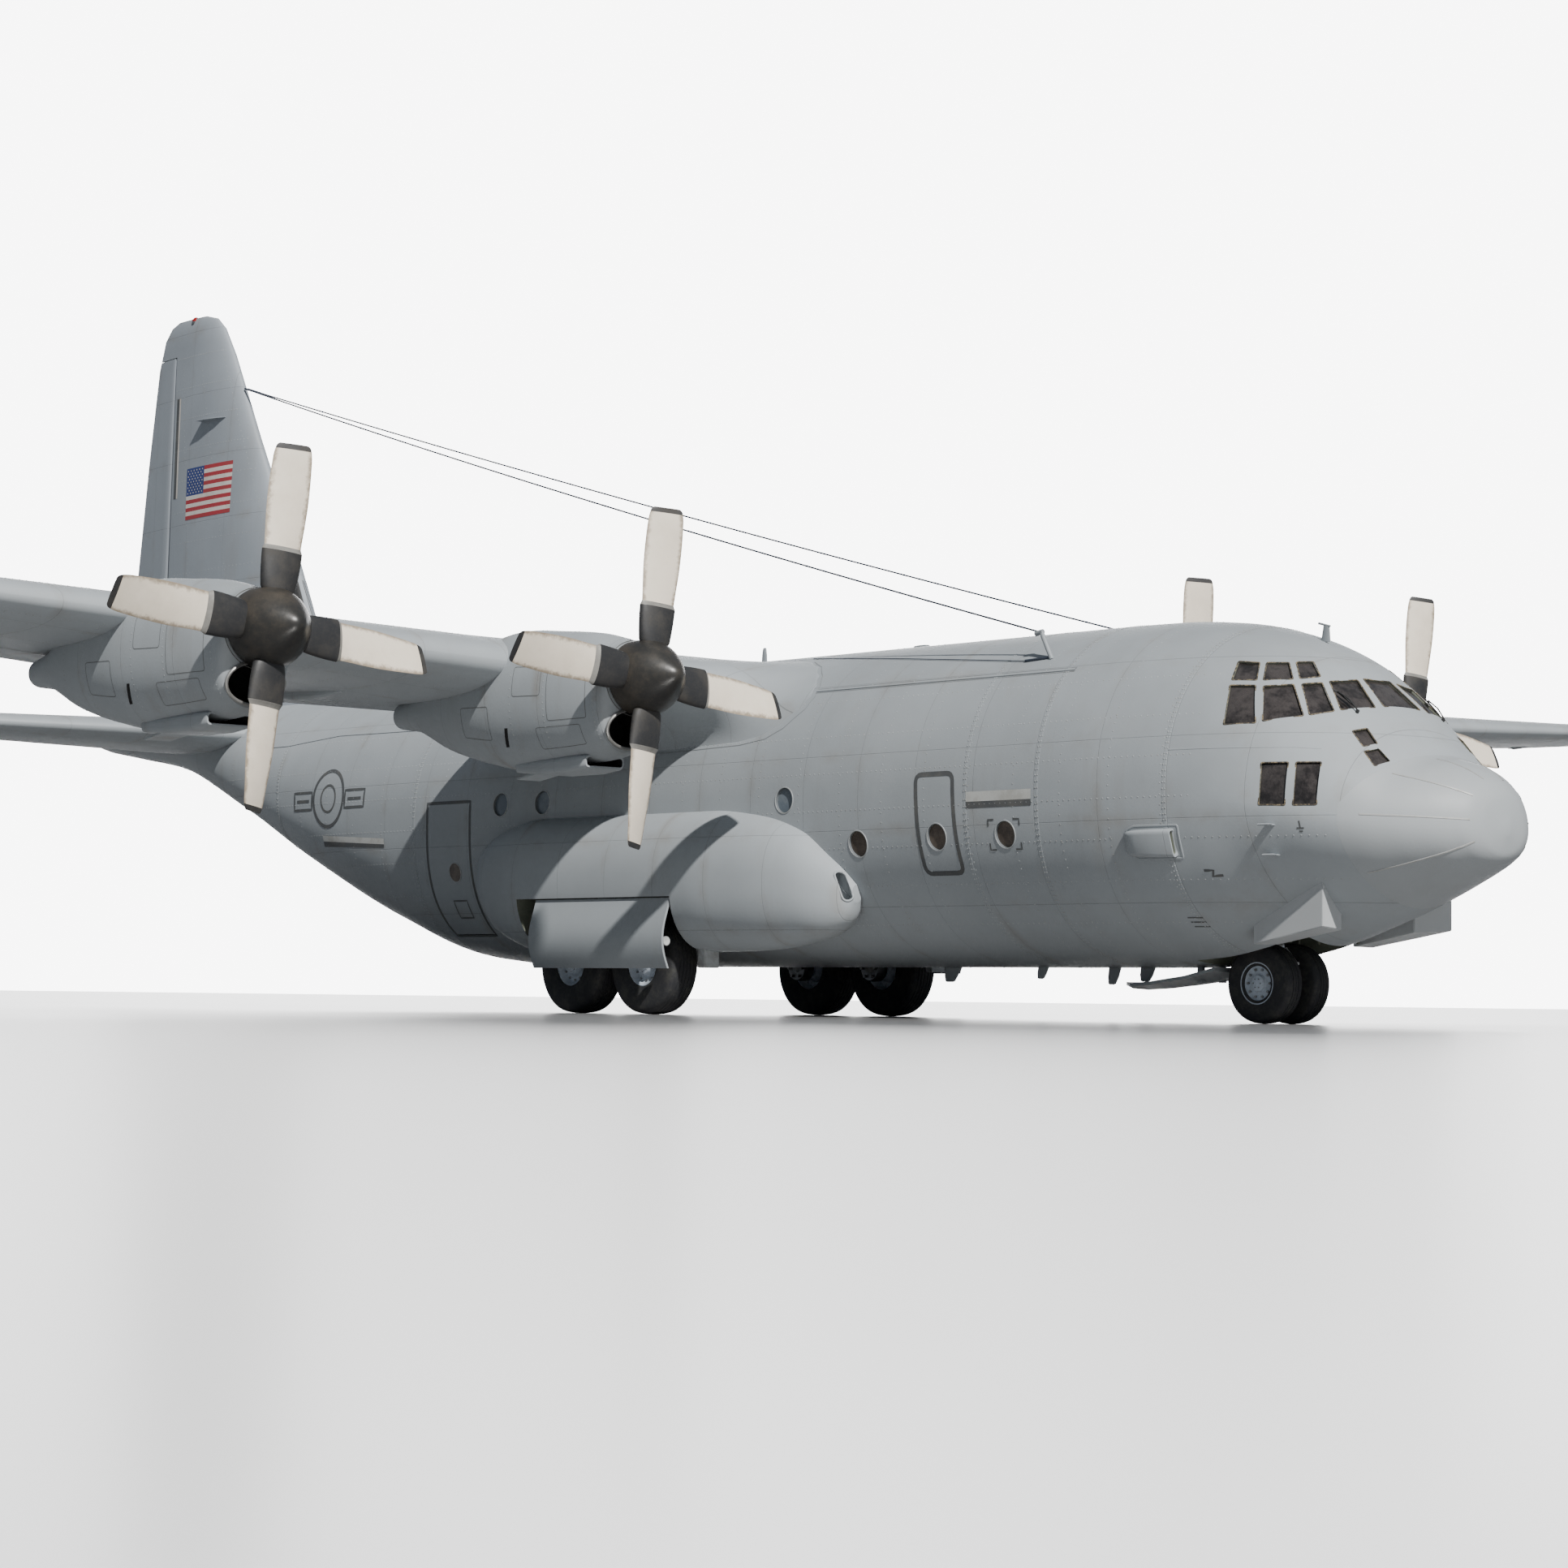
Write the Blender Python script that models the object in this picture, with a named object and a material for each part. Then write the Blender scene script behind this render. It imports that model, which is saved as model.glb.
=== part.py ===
"""Military transport plane: high wing, four turboprops, tail ramp, parked on its gear.

Every size below is of the full-size plane in metres. Stations (x) run forward from the middle of
the main gear, y runs to port and z up from the ground. The model is built at MODEL_SCALE, with its
origin on the ground under the middle of its length.
"""
import math

import bmesh
import bpy
from mathutils import Matrix, Vector

# Scale and clearances
MODEL_SCALE = 0.5
MID_LENGTH_X = -1.935
SEAT_GAP = 0.0006
RUNNING_GAP = 0.012
HULL_SIDES = 32

# Fuselage
WALL = 0.10
RADOME_X = 11.74
BULKHEAD_X = 7.96
LINING_FRONT_X = 11.64
WING_JOINT_X = 2.07
RAMP_X = -4.53
TAIL_X = -16.83
DECK_Z = 1.85
FLOOR_Z = 1.03
UNDERFLOOR_Z = 0.93
HOLD_HALF_WIDTH = 1.58
UPPER_FULLNESS = 2.1
JOINT_LEAN = 0.60
LEAN_FROM_Z = 2.45

# station, crown, keel, half width, height of the widest point, fullness of the lower half
HULL_LINES = (
    (12.96, 2.26, 2.14, 0.05, 2.20, 2.0),
    (12.90, 2.60, 1.91, 0.40, 2.21, 2.0),
    (12.70, 2.83, 1.77, 0.72, 2.22, 2.0),
    (12.40, 2.98, 1.64, 1.02, 2.23, 1.95),
    (12.12, 3.06, 1.52, 1.24, 2.26, 1.9),
    (11.85, 3.28, 1.39, 1.43, 2.30, 1.8),
    (11.50, 3.64, 1.23, 1.62, 2.36, 1.7),
    (11.10, 4.00, 1.08, 1.79, 2.44, 1.65),
    (10.60, 4.36, 0.93, 1.94, 2.54, 1.75),
    (10.00, 4.61, 0.80, 2.05, 2.64, 2.05),
    (9.30, 4.77, 0.71, 2.12, 2.72, 2.3),
    (8.40, 4.84, 0.66, 2.16, 2.76, 2.3),
    (7.50, 4.85, 0.66, 2.16, 2.76, 2.3),
    (5.00, 4.85, 0.66, 2.16, 2.76, 2.3),
    (2.07, 4.85, 0.66, 2.16, 2.76, 2.8),
    (-3.20, 4.85, 0.66, 2.16, 2.76, 2.8),
    (-4.53, 4.85, 0.74, 2.16, 2.78, 2.8),
    (-6.10, 4.85, 1.19, 2.12, 2.88, 2.8),
    (-8.24, 4.86, 2.04, 1.98, 3.22, 2.8),
    (-10.10, 4.87, 2.86, 1.76, 3.62, 2.7),
    (-12.90, 4.90, 3.80, 1.26, 4.25, 2.5),
    (-15.60, 4.88, 4.22, 0.78, 4.54, 2.2),
    (-16.50, 4.80, 4.36, 0.50, 4.58, 2.0),
    (-16.83, 4.66, 4.50, 0.16, 4.58, 2.0),
)

# Wing
SPAN = 40.41
ROOT_CHORD = 4.88
TIP_CHORD = 2.49
WING_JOINT_Y = 5.59
WING_LE_X = 1.80
TIP_LE_X = 0.95
WING_LE_Z = 4.40
DIHEDRAL = math.radians(2.5)
INCIDENCE = math.radians(3.0)
FLAP_FRACTION = 0.70
AILERON_HINGE = 0.75

# Power plants
PROP_RADIUS = 2.10
INNER_ENGINE = (3.94, 4.95, 4.107)
OUTER_ENGINE = (3.64, 10.20, 4.323)

# Landing gear
MAIN_TYRE_RADIUS = 0.67
MAIN_TYRE_WIDTH = 0.48
MAIN_WHEEL_X = 0.762
MAIN_WHEEL_Y = 2.18
NOSE_TYRE_RADIUS = 0.475
NOSE_TYRE_WIDTH = 0.30
NOSE_WHEEL_X = 9.66
NOSE_WHEEL_Y = 0.25

# Wells and doors: stations, then distance from the middle or heights
NOSE_WELL_X = (8.95, 10.55)
NOSE_WELL_Z = 1.55
WELL = (-1.60, 1.60, 1.64, 1.90)
CREW_DOOR = (8.70, 9.46, 1.06, 2.80)
PARA_DOOR = (-4.40, -3.42, 1.10, 2.95)
RAMP_HALF_WIDTH = 1.44
RAMP_REAR_X = -7.90
CARGO_DOOR_HALF_WIDTH = 1.20
CARGO_DOOR_X = (-11.20, -7.92)
DOOR_THICKNESS = 0.10
GEAR_DOOR_X = (-1.20, 1.62)
GEAR_DOOR_HINGE = (2.66, 1.53)
GEAR_DOOR_LENGTH = 0.92

SIDES = (("left", 1), ("right", -1))


def linear(hex_code):
    """Linear colour from an sRGB hex code."""
    channels = [int(hex_code[k:k + 2], 16) / 255 for k in (0, 2, 4)]
    return [c / 12.92 if c < 0.04045 else ((c + 0.055) / 1.055) ** 2.4 for c in channels] + [1]


def finish(name, hex_code, roughness, metallic=0.0):
    """One plain material."""
    material = bpy.data.materials.new(name)
    material.use_nodes = True
    shader = material.node_tree.nodes["Principled BSDF"]
    shader.inputs["Base Color"].default_value = linear(hex_code)
    shader.inputs["Roughness"].default_value = roughness
    shader.inputs["Metallic"].default_value = metallic
    return material


for old in list(bpy.data.objects):
    bpy.data.objects.remove(old)

GREY = finish("matt_grey_paint", "8f979b", 0.6)
WHITE = finish("gear_bay_white", "b9bfc1", 0.5)
CREAM = finish("blade_cream_paint", "cfc8ba", 0.5)
RUBBER = finish("tyre_rubber", "1d1f21", 0.85)
METAL = finish("rim_blue_grey", "77828c", 0.4, 0.2)
GLASS = finish("dark_glass", "2c3034", 0.1)
DECK = finish("deck_grey", "55595b", 0.7)
STEEL = finish("engine_steel", "6c6a66", 0.35, 0.9)


# Mesh helpers

def to_model(point, pivot=(0, 0, 0)):
    """Full-size point to model coordinates about a pivot."""
    return (Vector(point) - Vector(pivot)) * MODEL_SCALE


def add_object(name, bm, material, pivot=None, sharp=35):
    """Scale a full-size bmesh to the model and place it, with its origin on the pivot."""
    pivot = Vector(pivot) if pivot is not None else Vector((MID_LENGTH_X, 0, 0))
    for vert in bm.verts:
        vert.co = to_model(vert.co, pivot)
    bmesh.ops.remove_doubles(bm, verts=bm.verts, dist=0.00001)
    bmesh.ops.recalc_face_normals(bm, faces=bm.faces)
    mesh = bpy.data.meshes.new(name)
    bm.to_mesh(mesh)
    bm.free()
    obj = bpy.data.objects.new(name, mesh)
    bpy.context.scene.collection.objects.link(obj)
    obj.location = to_model(pivot, (MID_LENGTH_X, 0, 0))
    if material:
        mesh.materials.append(material)
        mesh.shade_smooth()
        mesh.set_sharp_from_angle(angle=math.radians(sharp))
    return obj


def add_cutter(name, bm):
    """A hidden guide for a Boolean."""
    obj = add_object(name, bm, None)
    obj.hide_render = True
    obj.display_type = "WIRE"
    return obj


def boolean(obj, other, operation="DIFFERENCE", crossing=False):
    """Cut or join with a hidden guide, whose own bodies may cross each other."""
    step = obj.modifiers.new(other.name, "BOOLEAN")
    step.operation = operation
    step.object = other
    step.solver = "EXACT"
    step.use_self = crossing


def add_quad(bm, corners):
    """A flat face, or two triangles that always meet on the same diagonal."""
    a, b, c, d = [corner.co for corner in corners]
    if abs((b - a).cross(c - a).dot(d - a)) < 1e-7:
        bm.faces.new(corners)
    else:
        bm.faces.new((corners[0], corners[1], corners[2]))
        bm.faces.new((corners[0], corners[2], corners[3]))


def add_cap(bm, row):
    """Close a ring: a bent one by level strips across it."""
    count = len(row)
    if len({round(vert.co.x, 6) for vert in row}) == 1 or count != HULL_SIDES:
        bm.faces.new(row)
        return
    pairs = [(row[count // 4 - 1 - k], row[count // 4 + k]) for k in range(count // 2)]
    for upper, lower in zip(pairs, pairs[1:]):
        bm.faces.new((upper[0], upper[1], lower[1], lower[0]))


def loft(bm, rings, cyclic=False):
    """Skin a list of rings with the same number of points, capped at both ends or joined up."""
    rows = [[bm.verts.new(point) for point in ring] for ring in rings]
    pairs = list(zip(rows, rows[1:])) + ([(rows[-1], rows[0])] if cyclic else [])
    for row, following in pairs:
        for k in range(len(row)):
            j = (k + 1) % len(row)
            add_quad(bm, (row[k], row[j], following[j], following[k]))
    if not cyclic:
        add_cap(bm, rows[0])
        add_cap(bm, rows[-1])
    return bm


def solid(rings, cyclic=False):
    return loft(bmesh.new(), rings, cyclic)


def add_box(bm, low, high):
    """An upright box from corner to corner."""
    matrix = Matrix.LocRotScale(
        [(a + b) / 2 for a, b in zip(low, high)], None, [b - a for a, b in zip(low, high)])
    bmesh.ops.create_cube(bm, size=1, matrix=matrix)
    return bm


def box(low, high):
    return add_box(bmesh.new(), low, high)


def add_prism(bm, outline, direction):
    """Extrude a flat outline along a vector."""
    direction = Vector(direction)
    return loft(bm, [[Vector(p) for p in outline], [Vector(p) + direction for p in outline]])


def add_rod(bm, start, end, radius, sides=12, end_radius=None):
    """A round bar between two points."""
    start, end = Vector(start), Vector(end)
    turn = (end - start).to_track_quat("Z", "Y")
    rings = []
    for centre, r in ((start, radius), (end, end_radius or radius)):
        angles = [2 * math.pi * (k + 0.5) / sides for k in range(sides)]
        rings.append([centre + turn @ Vector((r * math.cos(a), r * math.sin(a), 0)) for a in angles])
    return loft(bm, rings)


def add_lathe(bm, profile, centre, axis="Y", sides=24, closed=False):
    """Turn a profile of (distance along the axis, radius) points about X, Y or Z."""
    centre = Vector(centre)
    rings = []
    for along, radius in profile:
        ring = []
        for k in range(sides):
            a = 2 * math.pi * (k + 0.5) / sides
            c, s = radius * math.cos(a), radius * math.sin(a)
            spot = {"X": (along, c, s), "Y": (c, along, s), "Z": (c, s, along)}[axis]
            ring.append(centre + Vector(spot))
        rings.append(ring)
    return loft(bm, rings, closed)


def ellipse(x, y, z, half_width, half_height, count=24, fullness=2.0):
    """An upright oval ring at one station."""
    ring = []
    for k in range(count):
        a = 2 * math.pi * (k + 0.5) / count
        c, s = math.cos(a), math.sin(a)
        ring.append((x, y + half_width * math.copysign(abs(c) ** (2 / fullness), c),
                     z + half_height * math.copysign(abs(s) ** (2 / fullness), s)))
    return ring


def smooth_table(table, x):
    """Read a table by a cubic curve that never overshoots its points."""
    rows = sorted(table)
    x = min(max(x, rows[0][0]), rows[-1][0])
    k = max(j for j in range(len(rows) - 1) if rows[j][0] <= x)
    gaps = [b[0] - a[0] for a, b in zip(rows, rows[1:])]
    values = []
    for column in range(1, len(rows[0])):
        slopes = [(b[column] - a[column]) / gap for a, b, gap in zip(rows, rows[1:], gaps)]

        def tangent(j):
            if j in (0, len(rows) - 1):
                return slopes[min(j, len(slopes) - 1)]
            before, after = slopes[j - 1], slopes[j]
            if before * after <= 0:
                return 0.0
            w1, w2 = 2 * gaps[j] + gaps[j - 1], gaps[j] + 2 * gaps[j - 1]
            return (w1 + w2) / (w1 / before + w2 / after)

        t, h = (x - rows[k][0]) / gaps[k], gaps[k]
        a, b = rows[k][column], rows[k + 1][column]
        values.append(a * (1 + 2 * t) * (1 - t) ** 2 + h * tangent(k) * t * (1 - t) ** 2
                      + b * t * t * (3 - 2 * t) + h * tangent(k + 1) * t * t * (t - 1))
    return values


# Fuselage skin

def joint_lean(station):
    """The radome joint leans forward above the nose deck, and the rings near it lean too."""
    return JOINT_LEAN * max(0.0, 1 - abs(station - RADOME_X) / 0.95)


def hull_ring(station, inset=0.0, floor=None, corner=5, wall=None):
    """One ring of the fuselage skin, or of its lining with a flat floor between two corner points."""
    ring = []
    for k in range(HULL_SIDES):
        a = 2 * math.pi * (k + 0.5) / HULL_SIDES
        c, s = math.cos(a), math.sin(a)
        x = station
        for _ in range(5):
            crown, keel, half, widest, fullness = smooth_table(HULL_LINES, x)
            power = UPPER_FULLNESS if s > 0 else fullness
            height = (crown - widest if s > 0 else widest - keel) - inset
            y = (half - inset) * math.copysign(abs(c) ** (2 / power), c)
            z = widest + height * math.copysign(abs(s) ** (2 / power), s)
            x = station + joint_lean(station) * max(0.0, z - LEAN_FROM_Z)
        if floor is not None and s < 0:
            below = min(HULL_SIDES - 1 - k, k - HULL_SIDES // 2)
            edge = math.cos(2 * math.pi * (corner + 0.5) / HULL_SIDES)
            if below >= corner:
                y = skin_y(x, floor, inset) * c / edge
                z = floor
            else:
                z = max(z, floor + 0.02 * (corner - below))
        if wall is not None and z < 2.0:
            y = max(-wall, min(wall, y))
        ring.append((x, y, z))
    return ring


def skin_y(x, z, inset=0.0):
    """Half width of the skin at a station and a height."""
    crown, keel, half, widest, fullness = smooth_table(HULL_LINES, x)
    power = UPPER_FULLNESS if z > widest else fullness
    height = (crown - widest if z > widest else widest - keel) - inset
    ratio = min(1.0, abs(z - widest) / height)
    return (half - inset) * (1 - ratio ** power) ** (1 / power)


def skin_bottom(x, y, inset=0.0):
    """Height of the underside at a station and a distance from the middle."""
    crown, keel, half, widest, fullness = smooth_table(HULL_LINES, x)
    ratio = min(1.0, abs(y) / (half - inset))
    return widest - (widest - keel - inset) * (1 - ratio ** fullness) ** (1 / fullness)


def spread(start, end, count):
    """Evenly spaced values with both ends."""
    return [start + (end - start) * k / (count - 1) for k in range(count)]


def side_panel(x_low, x_high, z_low, z_high, side, thickness, straight=False):
    """A curved door that fills a rectangle of the side skin."""
    rings = []
    for z in spread(z_low, z_high, 7):
        rear, front = skin_y(x_low, z), skin_y(x_high, z)
        if straight and z == z_low:
            rear = front = min(rear, front)
        rings.append([(x_low, side * rear, z), (x_high, side * front, z),
                      (x_high, side * (front - thickness), z), (x_low, side * (rear - thickness), z)])
    return solid(rings)


def belly_panel(stations, half_width, top, bevel=0.0):
    """A panel of the underside, its inner face given by top(x, y) and its rear edge bevelled."""
    rings = []
    across = spread(-half_width, half_width, 9)
    for x in stations:
        shift = bevel if x == stations[0] else 0.0
        under = [(x, y, skin_bottom(x, y)) for y in across]
        over = [(x + shift, y, top(x + shift, y)) for y in reversed(across)]
        rings.append(under + over)
    return solid(rings)


def hinge_barrel(obj, start, end, radius=RUNNING_GAP - SEAT_GAP):
    """A barrel round the hinge line that carries a door on the edge of its opening."""
    boolean(obj, add_cutter("barrel_" + obj.name, add_rod(bmesh.new(), start, end, radius, 10)), "UNION")


def hinge_pins(obj, start, end, level, gap=RUNNING_GAP):
    """A pin at each end of a control surface, as long as the gap beside it."""
    reach = gap - SEAT_GAP
    for tag, near, far in (("a", Vector(start), Vector(end)), ("b", Vector(end), Vector(start))):
        way = (near - far) / abs((near - far)[level])
        rings = []
        for along in (-0.06, reach):
            centre = near + way * along
            ring = []
            for k in range(8):
                a = 2 * math.pi * k / 8
                c, s = 0.012 * math.cos(a), 0.012 * math.sin(a)
                ring.append(centre + (Vector((c, s, 0)) if level == 2 else Vector((c, 0, s))))
            rings.append(ring)
        boolean(obj, add_cutter(f"pin_{tag}_{obj.name}", solid(rings)), "UNION")


def hull_guide(name, stations):
    """A stretch of the fuselage, grown by the seat gap, for cutting what is fastened to it."""
    return add_cutter(name, solid([hull_ring(x, -SEAT_GAP) for x in stations]))


# Lifting surfaces

class Foil:
    """A tapered surface given by stations of (span, nose point, chord, thickness ratio)."""

    def __init__(self, stations, upright=False, incidence=0.0, camber=0.0):
        self.stations = stations
        self.camber = camber
        self.back = Vector((-math.cos(incidence), 0, -math.sin(incidence)))
        self.up = Vector((0, 1, 0)) if upright else Vector((-math.sin(incidence), 0, math.cos(incidence)))

    def at(self, span):
        rows = self.stations
        k = max([j for j in range(len(rows) - 1) if rows[j][0] <= span] or [0])
        low, high = rows[k], rows[k + 1]
        t = (span - low[0]) / (high[0] - low[0])
        nose = Vector(low[1]).lerp(Vector(high[1]), t)
        return nose, low[2] + t * (high[2] - low[2]), low[3] + t * (high[3] - low[3])

    def half_thickness(self, span, fraction):
        nose, chord, ratio = self.at(span)
        f = min(max(fraction, 0.0), 1.0)
        shape = 0.2969 * math.sqrt(f) - 0.1260 * f - 0.3516 * f ** 2 + 0.2843 * f ** 3 - 0.1036 * f ** 4
        return 5 * ratio * shape * chord + 0.006

    def middle(self, span, fraction):
        nose, chord, ratio = self.at(span)
        bow = 4 * self.camber * fraction * (1 - fraction) * chord
        return nose + self.back * (fraction * chord) + self.up * bow

    def point(self, span, fraction, side, grow=0.0):
        half = self.half_thickness(span, fraction) + grow
        return self.middle(span, fraction) + self.up * (side * half)

    def ring(self, span, front=0.0, rear=1.0, steps=8, grow=0.0, round_nose=False):
        """Outline of the section from front to rear, over the top and back below."""
        spacing = [(1 - math.cos(math.pi * k / steps)) / 2 for k in range(steps + 1)]
        if front > 0:
            spacing = spread(0, 1, 4)
        fractions = [front + (rear - front) * s for s in spacing]
        upper = [self.point(span, f, 1, grow) for f in reversed(fractions)]
        lower = [self.point(span, f, -1, grow) for f in fractions]
        nose = []
        if round_nose:
            radius = self.half_thickness(span, front)
            for a in (60, 20, -20, -60):
                a = math.radians(a)
                nose.append(self.middle(span, front) - self.back * (radius * math.cos(a))
                            + self.up * (radius * math.sin(a)))
        if grow:
            upper[0] = upper[0] + self.back * grow
            lower[-1] = lower[-1] + self.back * grow
            upper[-1] = upper[-1] - self.back * grow
            lower[0] = lower[0] - self.back * grow
        return upper + nose + lower

    def cove(self, bm, front, start, end, round_nose=False):
        """A block that clears the space of a moving surface behind its spar."""
        outline = []
        for span in (start, end):
            nose, chord, ratio = self.at(span)
            ahead = RUNNING_GAP + (self.half_thickness(span, front) if round_nose else 0.0)
            face = self.middle(span, front) - self.back * ahead
            rear = self.middle(span, 1.0) + self.back * 0.4
            outline.append((face, rear))
        rise = self.up * 0.7
        rings = [[face - rise, face + rise, rear + rise, rear - rise] for face, rear in outline]
        return loft(bm, rings)

    def mirrored(self):
        rows = [(-s, (n[0], -n[1], n[2]), c, r) for s, n, c, r in self.stations]
        twin = Foil(sorted(rows), camber=self.camber)
        twin.back, twin.up = self.back, self.up
        return twin


def wing_nose(y):
    """Leading edge of the port wing."""
    out = max(0.0, y - WING_JOINT_Y)
    length = SPAN / 2 - WING_JOINT_Y
    return (WING_LE_X + (TIP_LE_X - WING_LE_X) * out / length, y, WING_LE_Z + out * math.tan(DIHEDRAL))


TIP_Y = SPAN / 2
WING = Foil((
    (0.0, wing_nose(0), ROOT_CHORD, 0.165),
    (WING_JOINT_Y, wing_nose(WING_JOINT_Y), ROOT_CHORD, 0.165),
    (TIP_Y - 0.25, wing_nose(TIP_Y - 0.25), TIP_CHORD, 0.12),
    (TIP_Y - 0.08, (TIP_LE_X - 0.15, TIP_Y - 0.08, wing_nose(TIP_Y)[2]), TIP_CHORD * 0.88, 0.09),
    (TIP_Y, (TIP_LE_X - 0.42, TIP_Y, wing_nose(TIP_Y)[2]), TIP_CHORD * 0.66, 0.04),
), incidence=INCIDENCE, camber=0.02)
WING_RIGHT = WING.mirrored()
WING_SIDES = {1: WING, -1: WING_RIGHT}

# Root fairing, from the top of the wing round its nose to the underside: place on the hull, part of the chord
ROOT_FAIRING = (
    (0.60, 4.77, 1, 0.246), (1.40, 4.76, 1, 0.16), (2.00, 4.73, 1, 0.09), (2.49, 4.67, 1, 0.05),
    (2.85, 4.57, 1, 0.025), (3.12, 4.42, 1, 0.012), (3.27, 4.27, 1, 0.004), (3.33, 4.12, 1, 0.0),
    (3.28, 3.95, -1, 0.006), (3.02, 3.71, -1, 0.02), (2.73, 3.58, -1, 0.045), (2.26, 3.52, -1, 0.09),
    (1.53, 3.50, -1, 0.16), (0.77, 3.48, -1, 0.25), (0.00, 3.52, -1, 0.37), (-0.70, 3.65, -1, 0.50),
    (-1.20, 3.85, -1, 0.61), (-1.45, 4.02, -1, 0.655),
)
FAIRING_END_Y = 3.30
FAIRING_SINK = 0.015
FAIRING_STEPS = 8

FLAPS = (("flap_inner", 2.30, 5.50), ("flap_outer", 5.70, 12.95))
AILERON = (13.15, 19.70)
END_GAP = 0.030
FLAP_END_GAP = 0.080
FLAP_PIVOT_FRACTION = 0.78
FLAP_PIVOT_DROP = 0.45


def wing_coves(y_low, y_high, side):
    """Spaces for the flaps and the aileron within one stretch of the wing."""
    foil = WING_SIDES[side]
    bm = bmesh.new()
    for _, start, end in FLAPS:
        if y_low <= start < y_high:
            room = FLAP_END_GAP if start > WING_JOINT_Y else RUNNING_GAP
            foil.cove(bm, FLAP_FRACTION, side * (start - RUNNING_GAP), side * (end + room))
    if y_low <= AILERON[0] < y_high:
        foil.cove(bm, AILERON_HINGE, side * (AILERON[0] - END_GAP), side * (AILERON[1] + END_GAP), True)
    return bm


def flap_lugs(obj, foil, start, end):
    """Two carriage lugs on the front face of a flap."""
    for number, place in enumerate((0.2, 0.8)):
        middle = start + place * (end - start)
        rings = []
        for span in (middle - 0.06, middle + 0.06):
            face = foil.middle(span, FLAP_FRACTION)
            front, rear = face - foil.back * (RUNNING_GAP - SEAT_GAP), face + foil.back * 0.06
            rise = foil.up * 0.05
            rings.append([front - rise, front + rise, rear + rise, rear - rise])
        boolean(obj, add_cutter(f"lug_{number}_{obj.name}", solid(rings)), "UNION")


def root_fairing(side):
    """Rings of the blend between the hull side and the wing, ahead of and below the wing root."""
    rings = [[] for _ in range(FAIRING_STEPS + 2)]
    for x, z, face, fraction in ROOT_FAIRING:
        start = Vector((x, skin_y(x, z) - FAIRING_SINK, z))
        end = WING.point(FAIRING_END_Y, fraction, face, -FAIRING_SINK)
        corner = Vector((end.x, skin_y(end.x, end.z) + 0.25, end.z))
        rings[0].append(start - Vector((0, 0.30, 0)))
        for k in range(FAIRING_STEPS + 1):
            t = k / FAIRING_STEPS
            rings[k + 1].append(start * (1 - t) ** 2 + corner * (2 * t * (1 - t)) + end * t * t)
    return [[(p.x, side * p.y, p.z) for p in ring] for ring in rings]


def wing():
    """Flat centre section with its root fairings over the fuselage, and a tapered outer panel on each side."""
    joint = WING_JOINT_Y - SEAT_GAP / 2
    centre = add_object("wing_centre", solid([WING_RIGHT.ring(-joint), WING.ring(joint)]), GREY)
    for label, side in SIDES:
        fairing = add_cutter("fairing_" + label, solid(root_fairing(side)))
        boolean(fairing, hull_guide("hull_in_fairing_" + label, (4.2, 3.4, 2.6, 1.8, -3.2)))
        boolean(centre, fairing, "UNION")
        foil = WING_SIDES[side]
        boolean(centre, add_cutter("cut_inner_flap_" + label, wing_coves(0, WING_JOINT_Y, side)))
        spans = (WING_JOINT_Y + SEAT_GAP / 2, 9.0, 11.4, TIP_Y - 0.25, TIP_Y - 0.08, TIP_Y)
        outer = add_object("wing_" + label, solid([foil.ring(side * y) for y in spans]), GREY)
        boolean(outer, add_cutter("cut_outer_wing_" + label, wing_coves(WING_JOINT_Y, TIP_Y, side)))
        for name, start, end in FLAPS:
            pivot = foil.middle(side * (start + end) / 2, FLAP_PIVOT_FRACTION) - foil.up * FLAP_PIVOT_DROP
            rings = [foil.ring(side * y, FLAP_FRACTION) for y in (start, end)]
            flap = add_object(f"{name}_{label}", solid(rings), GREY, pivot)
            flap_lugs(flap, foil, side * start, side * end)
        rings = [foil.ring(side * y, AILERON_HINGE, round_nose=True) for y in AILERON]
        pivot = foil.middle(side * sum(AILERON) / 2, AILERON_HINGE)
        aileron = add_object("aileron_" + label, solid(rings), GREY, pivot)
        hinge_pins(aileron, *[foil.middle(side * y, AILERON_HINGE) for y in AILERON], 1, END_GAP)


def wing_guide(name, spans):
    """A stretch of the wing grown by the seat gap."""
    rings = [(WING if span > 0 else WING_RIGHT).ring(span, grow=SEAT_GAP) for span in spans]
    return add_cutter(name, solid(rings))


# Fuselage nodes

# station of the middle, height of the middle, radius
ROUND_WINDOWS = ((7.20, 2.22), (6.03, 2.22), (4.62, 2.17), (3.28, 2.76), (-1.74, 2.90), (-2.69, 2.90))
ROUND_WINDOW_RADIUS = 0.16

# Each cockpit window of the starboard side by its corners: station and height on the skin
FLIGHT_WINDOWS = {
    "upper_rear": ((10.13, 4.17), (10.35, 4.15), (10.48, 3.93), (10.22, 3.94)),
    "upper_middle": ((10.42, 4.15), (10.60, 4.15), (10.79, 3.94), (10.55, 3.93)),
    "upper_front": ((10.65, 4.16), (10.74, 4.17), (10.94, 3.98), (10.84, 3.95)),
    "side_rear": ((10.24, 3.87), (10.51, 3.86), (10.72, 3.41), (10.37, 3.40)),
    "side_middle": ((10.60, 3.85), (10.84, 3.87), (11.13, 3.49), (10.79, 3.43)),
    "side_front": ((10.90, 3.88), (11.01, 3.90), (11.32, 3.55), (11.18, 3.50)),
    "lower_rear": ((10.91, 2.94), (11.19, 2.94), (11.21, 2.46), (10.92, 2.47)),
    "lower_front": ((11.27, 2.94), (11.50, 2.94), (11.54, 2.46), (11.30, 2.46)),
}
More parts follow.
